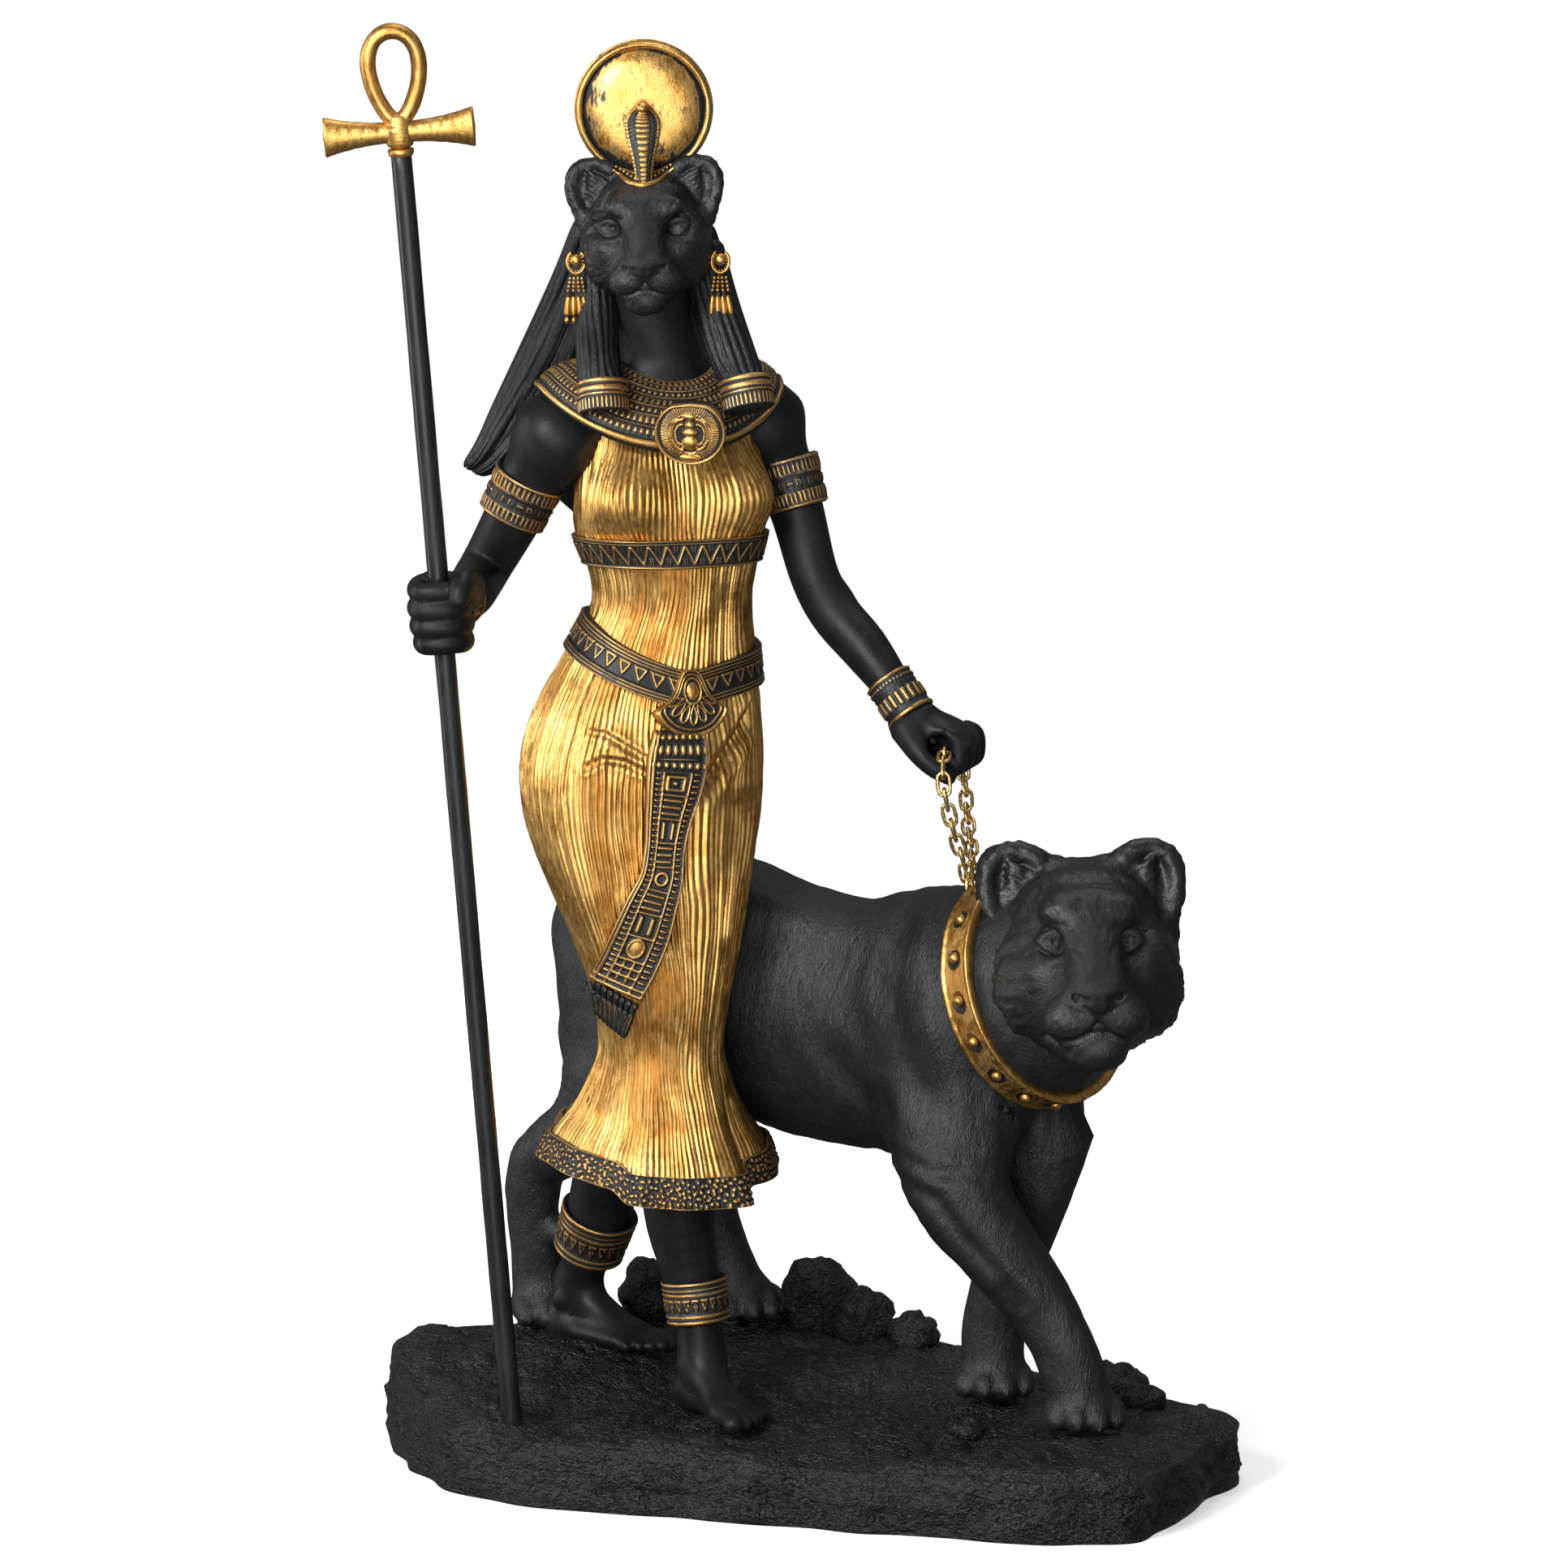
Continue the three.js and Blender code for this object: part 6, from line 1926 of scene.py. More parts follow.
    def earring(self, name: str, x: float, y: float) -> Piece:
        """A stud in a beaded crescent, a net of beads and four long drops."""
        middle = 242.0
        round_it = np.linspace(2.0, 7.4, 16)
        ring = [(x + 1.7 * math.cos(a), y - 1.5, middle + 2.2 * math.sin(a), 0.34) for a in round_it]
        within = np.linspace(2.3, 7.1, 15)
        grains = [(x + 1.35 * math.cos(a), y - 1.8, middle + 1.8 * math.sin(a)) for a in within]
        beads = []
        for j in range(4):
            spread = 0.75 * (1 + 0.12 * j)
            beads += [(x + spread * (k - 1.5), y - 1.3, 238.8 - 0.8 * j) for k in range(4)]
        made = [
            ball("stud", (x, y - 1.9, middle + 0.4), (1.15, 0.9, 1.2)), rod("ring", ring, 8, 40, (0, 1, 0)),
            many_balls("grains", grains, 0.22, 6), many_balls("beads", beads, (0.36, 0.36, 0.38)),
        ]
        for k in range(4):
            aside = 0.86 * (k - 1.5)
            top = [x + 1.1 * aside, y - 1.3, 235.5]
            low = [x + 1.55 * aside + 0.2, y - 1.2, 231.3]
            rows = [
                (*top, 0.3), (x + 1.2 * aside, y - 1.3, 234.5, 0.55),
                (x + 1.45 * aside + 0.1, y - 1.2, 232.3, 0.66), (*low, 0.45),
            ]
            made.append(rod("drop", rows, 8, 10))
            made.append(ball("tip", (low[0], low[1], 230.6), (0.5, 0.5, 0.8), fine=8))
        return joined(name, made)

    def build(self) -> None:
        """Shapes and settles the jewels."""
        settle(self.broad_collar().build(), TRIM, Slot.GILT)
        settle(self.pendant(), JEWEL, Slot.GILT)
        for band in self.cuffs():
            settle(band.build(), TRIM, Slot.GILT)
        for name, x, y in (("earring_right", -45.4, 1.4), ("earring_left", -17.4, 2.8)):
            settle(self.earring(name, x, y), JEWEL, Slot.GILT)


@dataclass
class Wig:
    """Her long wig: a mass of locks down the back, some blown to one side, and two lappets on the chest."""

    mass: Table = (
        (-32, 12, 252, 11.8, 6), (-32.4, 15.5, 243.5, 14.8, 6.6), (-33.2, 19, 234, 16.4, 6.6),
        (-35, 21.5, 222, 17.2, 6.2), (-37, 22, 211, 16.6, 5.8), (-41.4, 22, 200, 13.6, 4.6),
        (-46.4, 21.4, 190.4, 7.6, 3.2),
    )
    lock: Table = (
        (-41.6, 11.6, 250, 3.6, 4.6), (-46, 14, 237, 5, 5), (-52.0, 16, 223, 5.8, 4.8),
        (-58.6, 17, 210.5, 5.2, 4.2), (-63.6, 16.6, 203.4, 3.2, 2.9), (-67.4, 16.2, 199.8, 0.9, 1.2),
    )
    lappets: Sequence[Table] = (
        (
            (-42.4, 7, 245, 3.4, 3.6), (-41.6, 2, 232, 4.1, 3.5), (-41.1, -3.6, 223, 4.1, 3.1),
            (-40.3, -6.2, 217.6, 4.15, 3.2),
        ),
        (
            (-21, 8, 246, 3.8, 3.8), (-18.2, 5.2, 233, 4.6, 3.7), (-14.8, 1.4, 223.4, 4.5, 3.2),
            (-12.6, -1.2, 218, 4.35, 3.2),
        ),
    )
    back_faces: Faces = (176, 54)
    lock_faces: Faces = (50, 44)
    lappet_faces: Faces = (104, 36)
    locks: int = 6

    @staticmethod
    def strands(count: int, deep: float, wave: float, seed: int) -> Relief:
        """Grooves between strands that run down a lock."""

        def relief(angle: Array, v: Array) -> Pair:
            """The height of the strands, which have no mask."""
            where = np.column_stack([np.cos(angle) * 2, np.sin(angle) * 2, v * 4])
            phase = count * angle / TURN + wave * noise(where, 1.3, seed)
            height = stroke(cell_place(phase), 0.56) * (0.6 + 0.4 * number_hash(np.floor(phase), seed))
            return deep * height - deep * 0.7, height * 0

        return relief

    def combed(self, piece: Piece, rows: Table, aside: Sequence[float]) -> Piece:
        """Stores the lie of the strands on a lock."""
        limb = Limb(rows, aside, steps=16)
        keep_values(piece.data, "comb", limb.measure(read_points(piece.data))[1])
        return piece

    def build(self) -> None:
        """Shapes and settles the wig."""
        aside = (1, 0.1, 0)
        mass = rod("wig_back", self.mass, *self.back_faces, aside, self.strands(34, 1.4, 0.9, 3), 0.1)
        settle(self.combed(mass, self.mass, aside), STRANDS, Slot.RESIN)
        locks = []
        for k in range(self.locks):
            share = k / (self.locks - 1)
            rows = []
            for i, (x, y, z, wide, deep) in enumerate(self.lock):
                t = i / (len(self.lock) - 1)
                bow = math.sin(t * math.pi) * (1.5 - 0.6 * k)
                slip = (share - 0.5) * 2 * wide * 0.62
                fall = (share * 3.0) * t * (1.4 - t)
                drift = 4.4 * share * t * (1.35 - t)
                spot = (x + slip + bow + drift, y + 0.8 * math.sin(k * 2.1 + 3 * t), z - fall - 0.25 * slip)
                rows.append((*spot, max(wide * 0.45, 0.6), max(deep * 0.62, 0.7)))
            lock = rod("wig_lock", rows, *self.lock_faces, aside, self.strands(8, 0.95, 0.9, 11 + k), 0.07)
            locks.append(self.combed(lock, rows, aside))
        settle(joined("wig_locks", locks), STRANDS, Slot.RESIN)
        sides = []
        for k, rows in enumerate(self.lappets):
            side = rod(
                "lappet", rows, *self.lappet_faces, (1, 0, 0), self.strands(16, 0.85, 0.5, 31 + k), 0.06
            )
            sides.append(self.combed(side, rows, (1, 0, 0)))
        settle(joined("wig_lappets", sides), STRANDS, Slot.RESIN)


@dataclass
class Crown:
    """The sun disc with its rim, the rearing cobra before it and the crescent on her brow."""

    centre: Triple = (-32.3, 7, 271.2)
    profile: Sequence[tuple[float, float]] = (
        (0, 3.0), (8, 2.5), (11.2, 1.2), (11.7, 0.7), (11.95, 1.3), (12.6, 1.7), (13.1, 1.2), (13.25, 0),
        (13.1, -1.2), (12.4, -1.6), (0, -1.6),
    )
    cobra: Table = (
        (-32.2, -0.4, 256.6, 1.5, 1.2), (-32.2, 0.8, 259, 1.7, 1.2), (-32.3, 2, 262, 2.2, 1.2),
        (-32.4, 2.8, 265.6, 3.1, 1.0), (-32.5, 2.9, 268.8, 3.5, 0.95), (-32.5, 2.5, 270.8, 2.6, 1),
        (-32.5, 1.4, 272.1, 1.3, 1), (-32.5, -0.2, 272.2, 1.15, 0.85), (-32.5, -1.3, 271.3, 0.7, 0.6),
    )
    disc_faces: Faces = (112, 60)
    cobra_faces: Faces = (56, 120)

    def disc(self) -> Piece:
        """The disc, turned on a lathe."""

        def place(u: Array, v: Array) -> Placed:
            """Points of the hammered disc, and where its gold is dark: in the groove, and with a painted
            shade towards the bottom and sides.
            """
            radius, depth = rows_at(self.profile, v).T
            radius = np.clip(radius, 0, None) * np.clip(np.minimum(v, 1 - v) * 400, 0, 1)
            angle = u * TURN
            rim = bell(radius, 12.6, 0.5)
            x, z = np.cos(angle) * radius, np.sin(angle) * radius
            hammered = 0.05 * fractal(np.column_stack([x, depth, z]), 2.2, 3, 5)
            spot = np.column_stack([x, -(depth + hammered), z])
            # Painted shade: the gold darkens smoothly towards the bottom and the sides and lightens at the
            # top, as the light falls from above.
            shade_and_wear = 0.26 * smoothstep(-z, 1, 11) + 0.12 * smoothstep(np.abs(x), 7, 12)
            shade_and_wear = shade_and_wear - 0.1 * smoothstep(z, 2, 9)
            mask = 0.72 + 0.36 * rim - 0.5 * bell(radius, 11.6, 0.55) - shade_and_wear * (1 - rim)
            return np.array(self.centre) + spot, {"relief": np.clip(mask, 0, 1)}

        return shaped_grid("sun_disc", *self.disc_faces, place)

    def snake(self) -> Piece:
        """The cobra: a banded throat, a spread hood with pits along its sides, and a small head."""

        def relief(angle: Array, v: Array) -> Pair:
            """The bands of the throat, the small ribs beside them and the beaded rim."""
            front = smoothstep(-np.sin(angle), 0.0, 0.15)
            body = 1 - smoothstep(v, 0.72, 0.76)
            aside = np.abs(np.cos(angle))
            band = stroke((v * 24) % 1 - 0.5, 0.42) * box(aside, -1, 0.34, 0.03)
            ribs = stroke((v * 34 + 2.5 * aside) % 1 - 0.5, 0.3) * box(aside, 0.44, 0.76, 0.03)
            rim = (0.35 + 0.65 * stroke((v * 34) % 1 - 0.5, 0.42)) * box(aside, 0.82, 2, 0.03)
            lift = np.maximum.reduce([band, 0.5 * ribs, 0.8 * rim]) * front * body
            mask = np.maximum.reduce([band, 0.42 * ribs, 0.85 * rim]) * front * body
            return 0.34 * lift - 0.1 * front * body, np.clip(mask + 0.95 * (1 - body), 0, 1)

        return rod("cobra", self.cobra, *self.cobra_faces, (1, 0, 0), relief, 0.05)

    def build(self, head: CatHead) -> None:
        """Shapes and settles the crown; the crescent lies on the head's brow."""
        settle(self.disc(), DISC, Slot.GILT)
        settle(self.snake(), JEWEL, Slot.GILT)
        clay = Clay(head.forms())
        whole = head.to_object()

        def arc(reach: float, high: float, sag: float, out: float, thick: float) -> list[tuple[float, ...]]:
            """Rows along the brow that sag to the middle."""
            rows = []
            for x in np.linspace(-reach, reach, 15):
                spot = head.front(clay, x, high - sag * (1 - (x / reach) ** 2))
                spot[1] -= out
                rows.append((*(whole @ spot + np.array(head.centre)), thick * (1.05 - 0.6 * abs(x / reach))))
            return rows

        rim = rod("rim", arc(6.1, 12.9, 2.6, 0.15, 0.6), 10, 60, (0, 0, 1))
        inner = rod("inner", arc(5.5, 13.4, 1.5, 0.15, 0.3), 8, 50, (0, 0, 1))
        grains = many_balls("grains", [r[:3] for r in arc(5.3, 13.3, 2.05, 0.3, 0.36)], 0.34)
        settle(joined("brow_crescent", [rim, inner, grains]), JEWEL, Slot.GILT)
        rows = [(-32.4, 5, 255, 4.8, 4.4), (-32.4, 6, 257.4, 4.4, 3.6), (-32.4, 6.6, 259, 3.4, 2.4)]
        seat = rod("crown_seat", rows, 32, 14)
        raise_all(seat, 0.1)
        settle(seat, DISC, Slot.GILT)


# The lioness


@dataclass
class Lioness:
    """The walking lioness's body, legs, paws and tail, and her studded collar."""

    body: Table = (
        (-44, 41, 98, 9, 16), (-35, 37.5, 100, 16, 22), (-22, 32.5, 98.5, 17, 24.5), (-6, 25.5, 92, 17, 25.2),
        (12, 17, 88.6, 17.5, 25), (26, 8.5, 91, 18.4, 26.4), (36, 1, 95, 19, 24.6),
        (43, -5, 98.6, 18.6, 22.4), (49, -10.4, 102.6, 15.4, 18),
    )
    near_fore: Table = (
        (27, 0, 88, 9, 15), (28, -4, 71, 11, 12.5), (29.4, -9, 60.5, 10, 10), (36.4, -12, 50, 8.4, 8.2),
        (44.4, -14, 40, 6.4, 6.8), (50.2, -15.4, 29.5, 5.6, 6.2), (53, -15.4, 19, 6.4, 6),
    )
    far_fore: Table = (
        (47.4, 2.4, 84, 9, 13), (45.6, 3.6, 66, 7, 9.6), (42, 5, 50, 5.8, 7), (38.6, 6.5, 39, 5.4, 6.2),
        (36.6, 9, 29, 6, 6.4), (36.6, 9.5, 19, 6.4, 6),
    )
    near_hind: Table = (
        (-35, 30, 92, 9, 16), (-38, 27, 76, 8.4, 13), (-45, 33, 65, 6.6, 8.4), (-53.6, 41, 57.4, 5.2, 6.2),
        (-55.8, 44, 48, 4.8, 5.6), (-55, 45.6, 35, 5, 5.4), (-54, 46, 26, 5.6, 5.6),
    )
    far_hind: Table = (
        (-26, 42, 90, 9, 16), (-23, 45, 72, 8, 11), (-21.6, 50, 58, 6.4, 7.6), (-20.6, 53, 47, 5, 6),
        (-17.2, 52, 36, 4.6, 5.4), (-13.4, 50.4, 27, 5.6, 5.6),
    )
    tail: Table = (
        (-44, 42, 106, 2.8), (-47.2, 42, 96, 2.4), (-48.2, 41, 84, 2.2), (-47, 42, 72, 2.2),
        (-52, 47, 62, 2.4), (-57.4, 50, 55, 2.8),
    )
    paws: Sequence[tuple[Triple, float, float]] = (
        ((53, -8.4, 13.6), -84, 14.6), ((36.4, 16, 15), -88, 14.6), ((-56, 51, 22), -66, 14),
        ((-15.4, 56, 22), -62, 14),
    )
    collar_centre: Triple = (44.4, -4, 99.6)
    collar_across: Triple = (0.727, 0.686, 0)
    collar_up: Triple = (-0.225, 0.196, 0.955)
    collar_wide: float = 20.2
    collar_tall: float = 22.2
    collar_strap: float = 7.9
    studs: int = 17
    stud_ring: float = 21.5
    collar_faces: Faces = (350, 28)
    voxel: float = 0.81
    eye_centre: Triple = (31.2, -7.2, 120.6)
    eye_along: Triple = (0.25, 0.97, 0)

    def paw(self, heel: Sequence[float], heading: float, size: float) -> list[Form]:
        """A paw with four toes, from the back of its pad along a heading."""
        a = math.radians(heading)
        ahead = np.array([math.cos(a), math.sin(a), 0])
        axes = np.array([ahead, [-ahead[1], ahead[0], 0], UP])
        origin = np.array(heel)
        half = size * 0.47

        def limb(rows: Table, soft: float) -> Limb:
            """A limb given from the heel."""
            return Limb(placed_rows(rows, origin, axes), axes[1], soft, steps=12)

        made: list[Form] = [
            limb([(3, 0, 3.4, half * 0.78, 3.4), (7, 0, 4.6, half * 0.86, 4.4),
                  (size * 0.72, 0, 3.6, half * 0.92, 3.2)], 2.6),
        ]
        for side, far in ((-0.78, 0.82), (-0.28, 1.0), (0.28, 1.0), (0.78, 0.82)):
            y = side * half
            tip = size * (0.98 * far)
            rows = [
                (size * 0.42, y * 0.8, 5.2, 1.9, 2.2), (tip - 4.0, y, 4.9, 2.2, 2.5),
                (tip - 1.6, y * 1.06, 3.0, 2.25, 2.6), (tip - 1.4, y * 1.06, 1.8, 2.0, 1.6),
            ]
            made.append(limb(rows, 0.6))
            claw = [
                (tip - 0.6, y * 1.06, 3.2, 0.7, 0.8), (tip + 0.7, y * 1.08, 2.2, 0.5, 0.6),
                (tip + 1.0, y * 1.08, 1.2, 0.25, 0.3),
            ]
            made.append(limb(claw, 0.4))
        return made

    def forms(self) -> list[Form]:
        """The body's masses and muscles."""
        lean = (0.6, 0.8, 0)
        made: list[Form] = [
            Limb(self.body, lean, 5, steps=30),
            Ball((27.5, -1, 96), (12, 9.6, 17), (0, 12, -34), 5),
            Ball((-37.5, 30, 93), (12.4, 9.6, 18), (0, -8, -28), 5),
            Limb(
                [(24, 1, 112, 3.4), (26, -3.4, 103, 4.2), (29.4, -6.2, 92, 4.4), (31.6, -7, 80, 4.4)], lean, 4
            ),
            Limb([(17, 5, 92, 5.2), (19.4, 1.4, 82, 6.2), (24, -4.4, 72, 6)], lean, 5),
            Limb([(37, -9, 92, 5.6), (37.4, -10.6, 82, 5.4), (36, -10.8, 72, 4.6)], lean, 5),
            Limb(self.near_fore, (0.3, 0.95, 0), 4, steps=28),
            Limb([(24.6, -7.6, 66, 3.6), (30, -12.6, 56, 4.0), (38, -16, 46, 3.2)], lean, 3),
            Limb(self.far_fore, (0.3, 0.95, 0), 2.5, steps=24),
            Limb(self.near_hind, (0.6, 0.8, 0), 4, steps=28),
            Limb([(-50.6, 38, 63, 3.4), (-56, 42.6, 56.6, 3.4), (-58.2, 46, 50, 2.8)], lean, 2),
            Limb(self.far_hind, (0.6, 0.8, 0), 3, steps=24),
            Limb(self.tail, (1, 0, 0), 1.2, steps=22),
            Limb([(-54, 44, 42.6, 3), (-45, 37, 41.6, 3)], (0, 0, 1), 1.6, steps=6),
            Limb([(-20, 21, 116, 3.6), (0, 14, 109, 3.4), (16, 6, 108, 4)], (0, 0, 1), 5, steps=10),
            Ball((46, -8, 96), (12, 10, 13), (0, 0, 20), 6),
            Ball((41.6, -8, 105.5), (7.2, 6, 10), (0, -8, 0), 4),
        ]
        for heel, heading, size in self.paws:
            made += self.paw(heel, heading, size)
        return made

    def folds(self, points: Array, normals: Array) -> Array:
        """Soft folds of skin on the flank, neck and shoulder, and lumps of muscle."""
        out = 0.35 * fractal(points, 13, 2, 21) + 0.14 * noise(points, 4.2, 25)
        near = normals[:, 1] < 0.25
        flat = points[:, [0, 2]]
        for line, deep, wide in (
            (((15.3, 103.8), (16.2, 97.4), (19.8, 86.1), (23.4, 77.1)), 0.5, 2.2),
            (((2.4, 87.3), (8.3, 80.1), (14.5, 74.6)), 0.55, 2.4),
            (((14.0, 80.6), (14.9, 77.0), (15.8, 72.9)), 0.4, 1.2),
            (((20.8, 115.4), (18.5, 109.5), (16.8, 104.1)), 0.3, 1.5),
            (((33.5, 102), (31.6, 92), (33, 80)), 0.3, 1.6),
            (((18.8, 62.8), (24.6, 60.1), (29.9, 52.8), (36.6, 46), (41, 40)), 0.75, 1.5),
            (((18.4, 67), (23.3, 65.4), (33.1, 65)), 0.5, 1.4), (((40, 90), (38.6, 80), (40, 70)), 0.35, 1.5),
        ):
            gap, share = gap_to_line(flat, line)
            out -= near * deep * bell(gap, 0, wide) * np.sin(np.clip(share, 0.02, 0.98) * math.pi) ** 0.5
            out += near * 0.4 * deep * bell(gap, 1.9 * wide, wide)
        return out

    def hide(self) -> Piece:
        """The body's skin with its combed hair."""
        skin = Clay(self.forms()).skin("lioness_body", self.voxel)
        centre, across, up, ahead = self.collar_frame()
        points = read_points(skin.data)
        off = points - centre
        far = np.hypot(off @ across / self.collar_wide, off @ up / self.collar_tall)
        under = (1 - smoothstep(np.abs(off @ ahead), 3.8, 9.5)) * (far > 0.95) * (far < 1.5)
        ring = off - (off @ ahead)[:, None] * ahead
        write_points(skin.data, points - ring * (under * (1 - 0.95 / np.maximum(far, 0.95)))[:, None])
        points, normals = read_points(skin.data), read_normals(skin.data)
        sway = np.column_stack([noise(points, 24, 52), noise(points, 21, 53), noise(points, 19, 54)])
        comb = np.column_stack([-points[:, 2], points[:, 0] - 0.2 * points[:, 2], points[:, 1]]) + 3.2 * sway
        keep_values(skin.data, "comb", comb)
        hair = noise(comb * [0.3, 1, 1], 1.5, 51) * 0.09
        on_ground = smoothstep(points[:, 2], 16, 26)
        pushed(skin, self.folds(points, normals) * on_ground + hair)
        return skin

    def collar_frame(self) -> tuple[Array, Array, Array, Array]:
        """The collar's middle and its directions across, up and ahead."""
        across, up = unit(np.array(self.collar_across)), unit(np.array(self.collar_up))
        return np.array(self.collar_centre), across, up, unit(np.cross(across, up))

    def collar_point(self, angle: Array, t: Array, out: Array) -> Array:
        """Points of the collar for angles round it and shares across its strap."""
        centre, across, up, ahead = self.collar_frame()
        wide, tall = self.collar_wide + out, self.collar_tall + out
        ring = across * (np.cos(angle) * wide)[:, None] + up * (np.sin(angle) * tall)[:, None]
        return centre + ring + ahead * ((t - 0.5) * self.collar_strap)[:, None]

    def stud_gap(self, angle: Array, t: Array) -> Array:
        """Distances on the strap from the middle of the nearest stud."""
        f = cell_place(angle * self.studs / TURN)
        return np.hypot(f * TURN * self.stud_ring / self.studs, (t - 0.5) * self.collar_strap)

    def collar(self) -> list[Piece]:
        """The strap with its raised edges, and a domed stud in each ringed hollow."""

        def strap(angle: Array, t: Array, out: Array) -> Array:
            """Points of the strap, with a ringed hollow at each stud."""
            points = self.collar_point(angle, t, out)
            far = self.stud_gap(angle, t)
            outer = out > 0
            away = unit(points - np.array(self.collar_centre))
            dent = outer * (-0.35 * smoothstep(1.5 - far, 0, 0.25) + 0.16 * bell(far, 1.75, 0.2))
            dent = dent + outer * 0.12 * fractal(points, 2.6, 3, 81)
            return points + away * dent[:, None]

        rows = edges((0.0, 0.13), (0.87, 1.0))
        band = Band("lioness_collar", strap, rows, *self.collar_faces, 1.0, 0.4, 1.4).build()
        points = read_points(band.data)
        centre, across, up, ahead = self.collar_frame()
        off = points - centre
        t = off @ ahead / self.collar_strap + 0.5
        angle = np.arctan2(off @ up / self.collar_tall, off @ across / self.collar_wide) % TURN
        edge = np.minimum(t, 1 - t)
        shade_and_wear = 0.72 + 0.5 * (edge < 0.13) - 0.7 * smoothstep(2.0 - self.stud_gap(angle, t), 0, 0.35)
        # Painted shade: the strap's face darkens, in patches, on the collar's lower part under the neck.
        shade_and_wear -= 0.5 * smoothstep(92 - points[:, 2], 0, 9) * (0.5 + noise(points, 2.4, 33)) * (edge > 0.13)
        keep_values(band.data, "relief", np.clip(shade_and_wear, 0, 1))
        studs = []
        for k in range(self.studs):
            a = np.array([(k + 0.5) / self.studs * TURN])
            spot = self.collar_point(a, np.array([0.5]), np.array([0.95]))[0]
            studs.append(spot)
        domes = many_balls("collar_studs", studs, 1.15, 14)
        raise_all(domes)
        along = unit(np.array(self.eye_along))
        side = unit(np.cross(along, UP))
        middle, reach, wire = np.array(self.eye_centre), 2.3, 0.45
        arc = np.linspace(-0.25, math.pi + 0.25, 20)
        loop = [(*(middle + reach * (along * math.cos(a) + UP * math.sin(a))), wire) for a in arc]
        eye = rod("collar_eye", loop, 12, 70, side, round_ends=0.01)
        raise_all(eye)
        return [band, domes, eye]

    def build(self) -> None:
        """Shapes and settles the lioness."""
        settle(self.hide(), HIDE, Slot.RESIN)
        for piece, finish in zip(self.collar(), (STRAP, JEWEL, LINKS)):
            settle(piece, finish, Slot.GILT)


# The staff and the chain


@dataclass
class Staff:
    """The long black shaft and the gilt ankh on its top."""

    foot: Triple = (-57.9, -9.4, 6)
    top: Triple = (-78.3, -28, 268)
    radius: float = 2.0
    loop_middle: float = 12.2
    loop_reach: float = 8.6
    loop_half: float = 4.7
    shaft_faces: Faces = (28, 90)
    loop_faces: Faces = (22, 150)
    arm_reach: float = 14.6

    def axes(self) -> Array:
        """Directions across the ankh, out of it and up the shaft."""
        up = unit(np.array(self.top) - np.array(self.foot))
        across = np.array([1.0, 0.0, 0.04])
        across = unit(across - up * (across @ up))
        return np.array([across, np.cross(up, across), up])

    def build(self) -> None:
        """Shapes and settles the shaft and the ankh."""
        axes, top = self.axes(), np.array(self.top)
        foot = np.array(self.foot)
        rows = [(*(foot + (top - foot) * t), self.radius) for t in np.linspace(0, 1, 9)]

        def uneven(angle: Array, v: Array) -> Pair:
            """The slight unevenness of the shaft."""
            where = np.column_stack([np.cos(angle) * 3, np.sin(angle) * 3, v * 262])
            return 0.05 * fractal(where, 9, 3, 91), np.zeros_like(v)

        settle(rod("staff_shaft", rows, *self.shaft_faces, axes[0], uneven, 0.004), ROD, Slot.STAFF, STAFF)

        def local(x: float, out: float, z: float) -> Array:
            """A point given from the top of the shaft."""
            return top + np.array([x, out, z]) @ axes

        loop = []
        for a in np.linspace(-math.pi / 2 + 0.06, 1.5 * math.pi - 0.06, 40):
            half = self.loop_half * (1 + 0.28 * math.sin(a))
            spot = local(half * math.cos(a), 0, self.loop_middle + self.loop_reach * math.sin(a))
            loop.append((*spot, 1.75, 1.55))

        def rounded(angle: Array, v: Array) -> Pair:
            """The unevenness of the casting, and its gold."""
            where = np.column_stack([np.cos(angle), np.sin(angle), v * 40])
            return 0.07 * fractal(where, 3, 3, 95), 0.86 + 0.12 * np.cos(angle)

        made = [rod("loop", loop, *self.loop_faces, axes[1], rounded, 0.01)]
        for way in (-1, 1):
            arm = []
            for p in np.linspace(0, 1, 12):
                arm.append((*local(way * self.arm_reach * p, 0, 1.4), 1.7 + 0.6 * p, 2 + 2 * p**2.2))
            made.append(rod("arm", arm, 30, 60, axes[1], rounded, 0.025))
        bulge = ((-1.8, 2.3), (0, 2.7), (1.6, 2.75), (3.4, 2.5), (5, 2.2))
        knot = [(*local(0, 0, z), w, w * 0.92) for z, w in bulge]
        made.append(rod("knot", knot, 30, 30, axes[0], rounded, 0.1))
        collar = [(*local(0, 0, z), w) for z, w in ((-3.4, 2.1), (-2.6, 2.5), (-1.6, 2.5))]
        made.append(rod("collar", collar, 30, 12, axes[0], rounded, 0.15))
        settle(joined("ankh", made), ANKH, Slot.STAFF, STAFF)


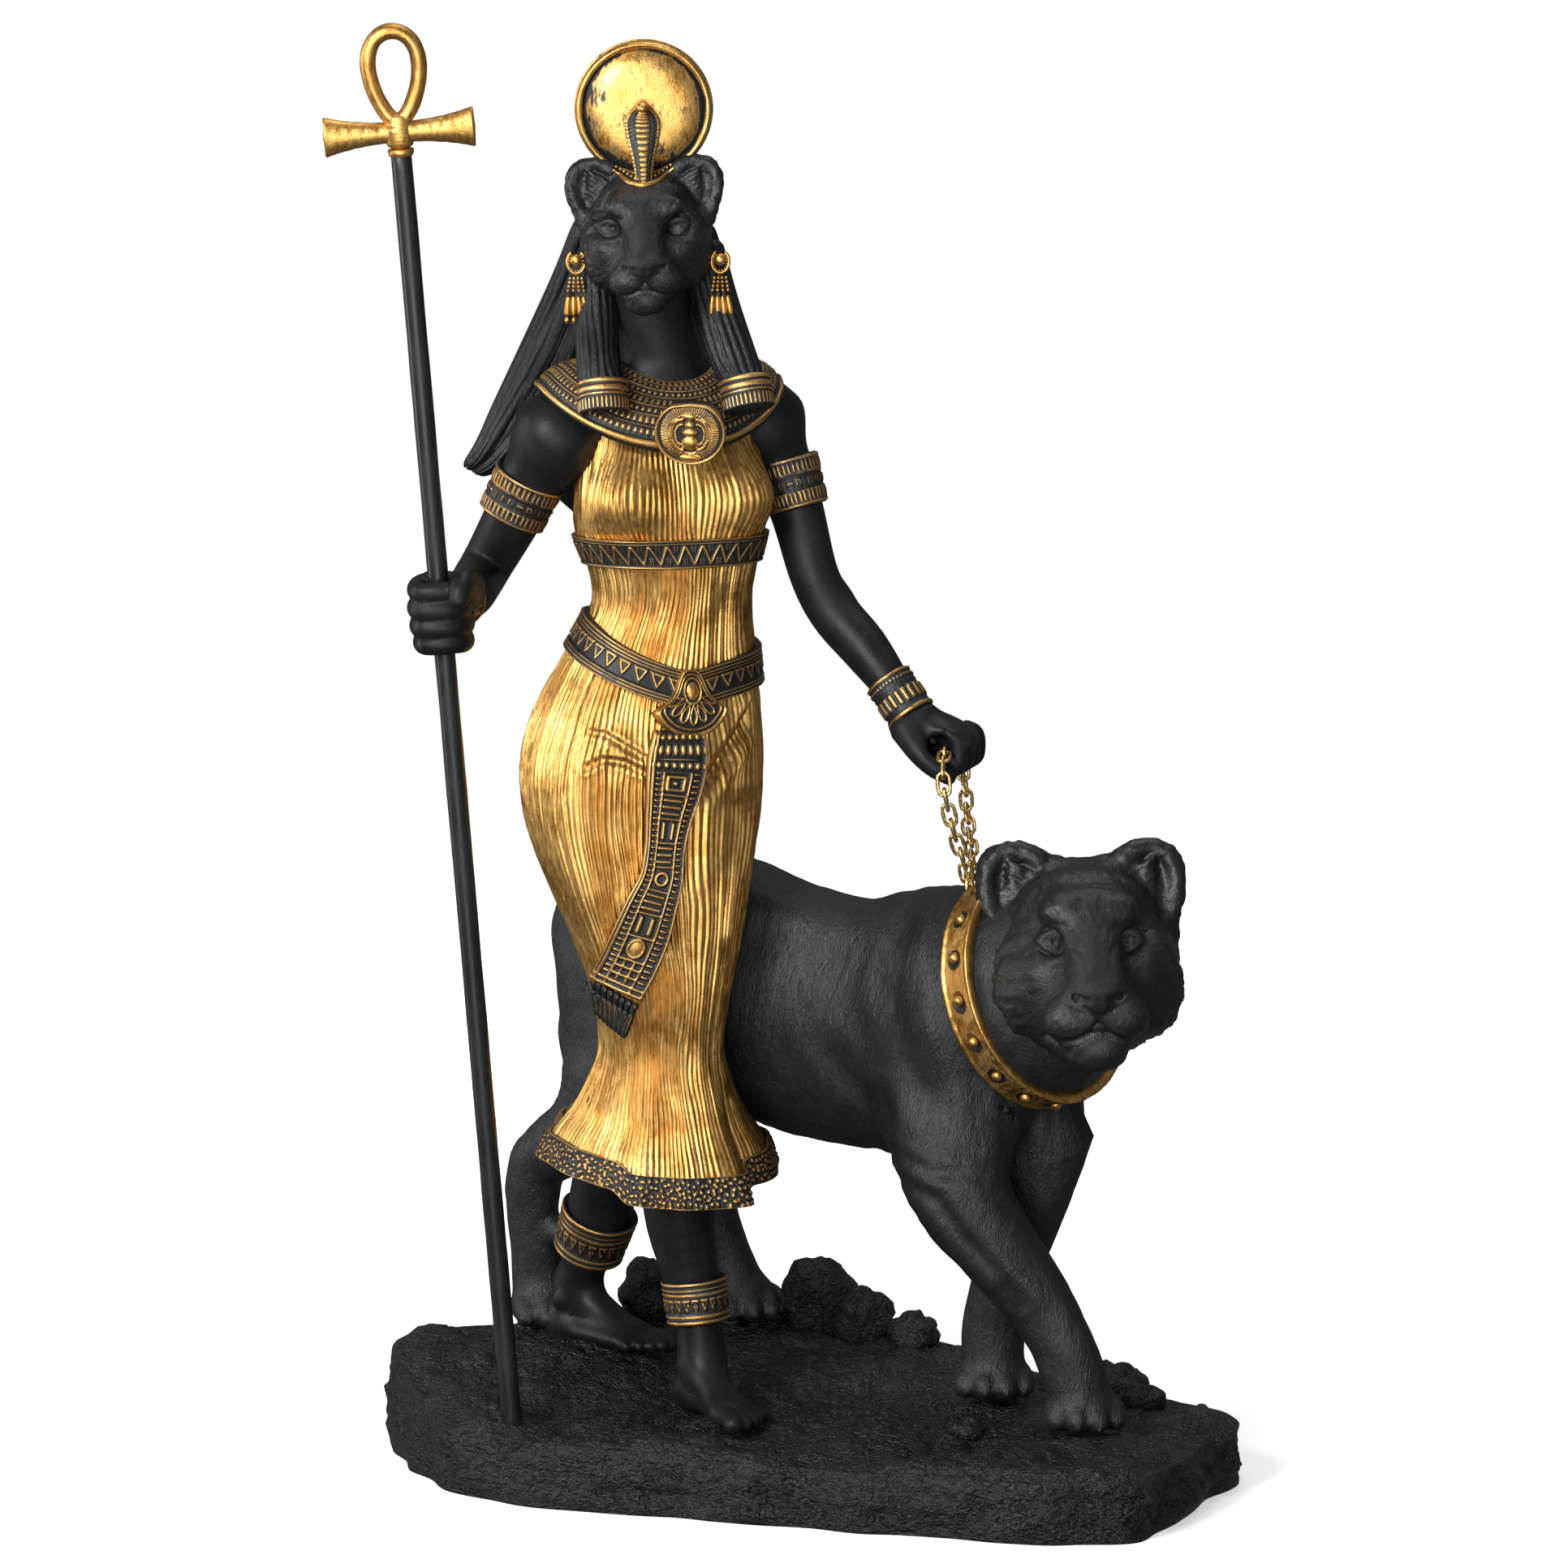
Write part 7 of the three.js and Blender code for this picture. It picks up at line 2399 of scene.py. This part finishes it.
@dataclass
class Chain:
    """The fine chain's links, each drawn anew where its node is."""

    length: float = 5.2
    wide: float = 3.1
    wire: float = 0.36
    faces: Faces = (10, 46)

    def link(self, node: str) -> Piece:
        """A closed oval link of faceted wire in a node's place."""
        points = np.unique((read_points(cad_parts[node].data) / MM).round(3), axis=0)
        middle = points.mean(0)
        along, across, deep = np.linalg.svd(points - middle, full_matrices=False)[2]
        straight = (self.length - self.wide) / 2
        radius = self.wide / 2 - self.wire

        def place(u: Array, v: Array) -> Placed:
            """Points round the link's wire."""
            a, b = v * TURN, u * TURN
            out = np.cos(a)[:, None] * across + np.sin(a)[:, None] * along
            centre = middle + out * radius + along * (np.tanh(np.sin(a) * 4) * straight)[:, None]
            facet = 1 + 0.16 * np.cos(4 * b + 10 * a)
            ring = out * (np.cos(b) * facet)[:, None] + deep * (np.sin(b) * facet)[:, None]
            return centre + ring * self.wire, {"relief": np.ones_like(u)}

        return shaped_grid(node + "_wire", *self.faces, place)

    def build(self) -> None:
        """Shapes and settles every link."""
        for node in sorted(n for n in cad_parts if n.startswith("chain_link")):
            settle(self.link(node), LINKS, Slot.CHAIN, node)


# The studio


@dataclass
class Studio:
    """The camera at the photograph's angle, the pale floor and the soft lights."""

    distance: float = 1.76
    elevation: float = math.radians(8.4)
    target: Triple = (-0.005, -0.044, 0.146)
    lens: float = 211.53
    sensor: float = 36.0

    def camera(self) -> None:
        """Sets the camera."""
        made = bpy.data.cameras.new("camera")
        made.lens, made.sensor_width = self.lens, self.sensor
        made.clip_start, made.clip_end = 0.05, 20
        view = bpy.data.objects.new("camera", made)
        back = Vector((0, -math.cos(self.elevation), math.sin(self.elevation)))
        view.location = Vector(self.target) + back * self.distance
        view.rotation_euler = (-back).to_track_quat("-Z", "Y").to_euler()
        bpy.context.scene.collection.objects.link(view)
        bpy.context.scene.camera = view

    def floor(self) -> None:
        """Lays the floor."""
        bm = bmesh.new()
        bmesh.ops.create_grid(bm, x_segments=1, y_segments=1, size=0.8)
        made = object_of("floor", bm)
        made.data.materials.append(Backdrop().material())
        made.visible_diffuse = made.visible_glossy = False

    def light(
        self, name: str, spot: Sequence[float], size: Sequence[float], power: float, tint: Sequence[float]
    ) -> None:
        """Hangs a soft light that faces the figures."""
        made = bpy.data.lights.new(name, "AREA")
        made.shape, made.size, made.size_y = "RECTANGLE", size[0], size[1]
        made.energy, made.color = power, tint
        lamp = bpy.data.objects.new(name, made)
        lamp.location = spot
        lamp.rotation_euler = (Vector((0, 0, 0.14)) - Vector(spot)).to_track_quat("-Z", "Y").to_euler()
        bpy.context.scene.collection.objects.link(lamp)

    def build(self) -> None:
        """Sets the camera, floor, lights and surroundings."""
        self.camera()
        self.floor()
        self.light("key", (-0.7, -1.0, 0.7), (0.45, 0.6), 19.5, (0.96, 0.985, 1.0))
        self.light("front", (-0.12, -1.4, 0.1), (0.8, 0.7), 10, (0.96, 0.985, 1.0))
        self.light("side", (-0.95, 0.1, 0.3), (0.25, 0.8), 4, (1.0, 1.0, 1.0))
        self.light("fill", (0.9, -0.9, 0.4), (0.4, 0.8), 0.8, (0.96, 0.98, 1.0))
        self.light("above", (0.1, 0.2, 1.2), (0.7, 0.7), 4, (1.0, 1.0, 1.0))
        bpy.context.scene.world = self.surroundings()
        bpy.context.scene.view_settings.view_transform = "Standard"

    def surroundings(self) -> bpy.types.World:
        """A white backdrop that gives only a soft grey light."""
        world = bpy.data.worlds.new("soft_surroundings")
        world.use_nodes = True
        graph = Graph(world.node_tree)
        seen = graph.node("ShaderNodeLightPath").outputs["Is Camera Ray"]
        ground = world.node_tree.nodes["Background"]
        tone = graph.tint(seen, (0.12, 0.123, 0.127, 1), (1, 1, 1, 1))
        graph.tree.links.new(tone, ground.inputs["Color"])
        return world


def main() -> None:
    """Builds the whole scene."""
    logging.basicConfig(level=logging.INFO, format="%(message)s")
    Studio().build()
    RockBase().build()
    Goddess().build()
    face = CatHead("goddess_head", (-31.9, 4, 247.0), 24, (2.4, -2, -1), nose=1.12)
    face.build()
    Gown().build()
    Jewels().build()
    Wig().build()
    Crown().build(face)
    Lioness().build()
    CatHead(
        "lioness_head", (53.6, -14, 107.3), 35.5, (-7.0, -1.4, 4), (1, 1.02, 1.02), 0.53,
        eye=4.95, eye_size=0.84, ear=(9.7, 3.0, 9.3), ear_size=(4.1, 2.3, 5.6), ear_turn=(2, 24, -10),
        ruff=0.42, nose=0.84,
    ).build()
    Staff().build()
    Chain().build()


if __name__ == "__main__":
    main()
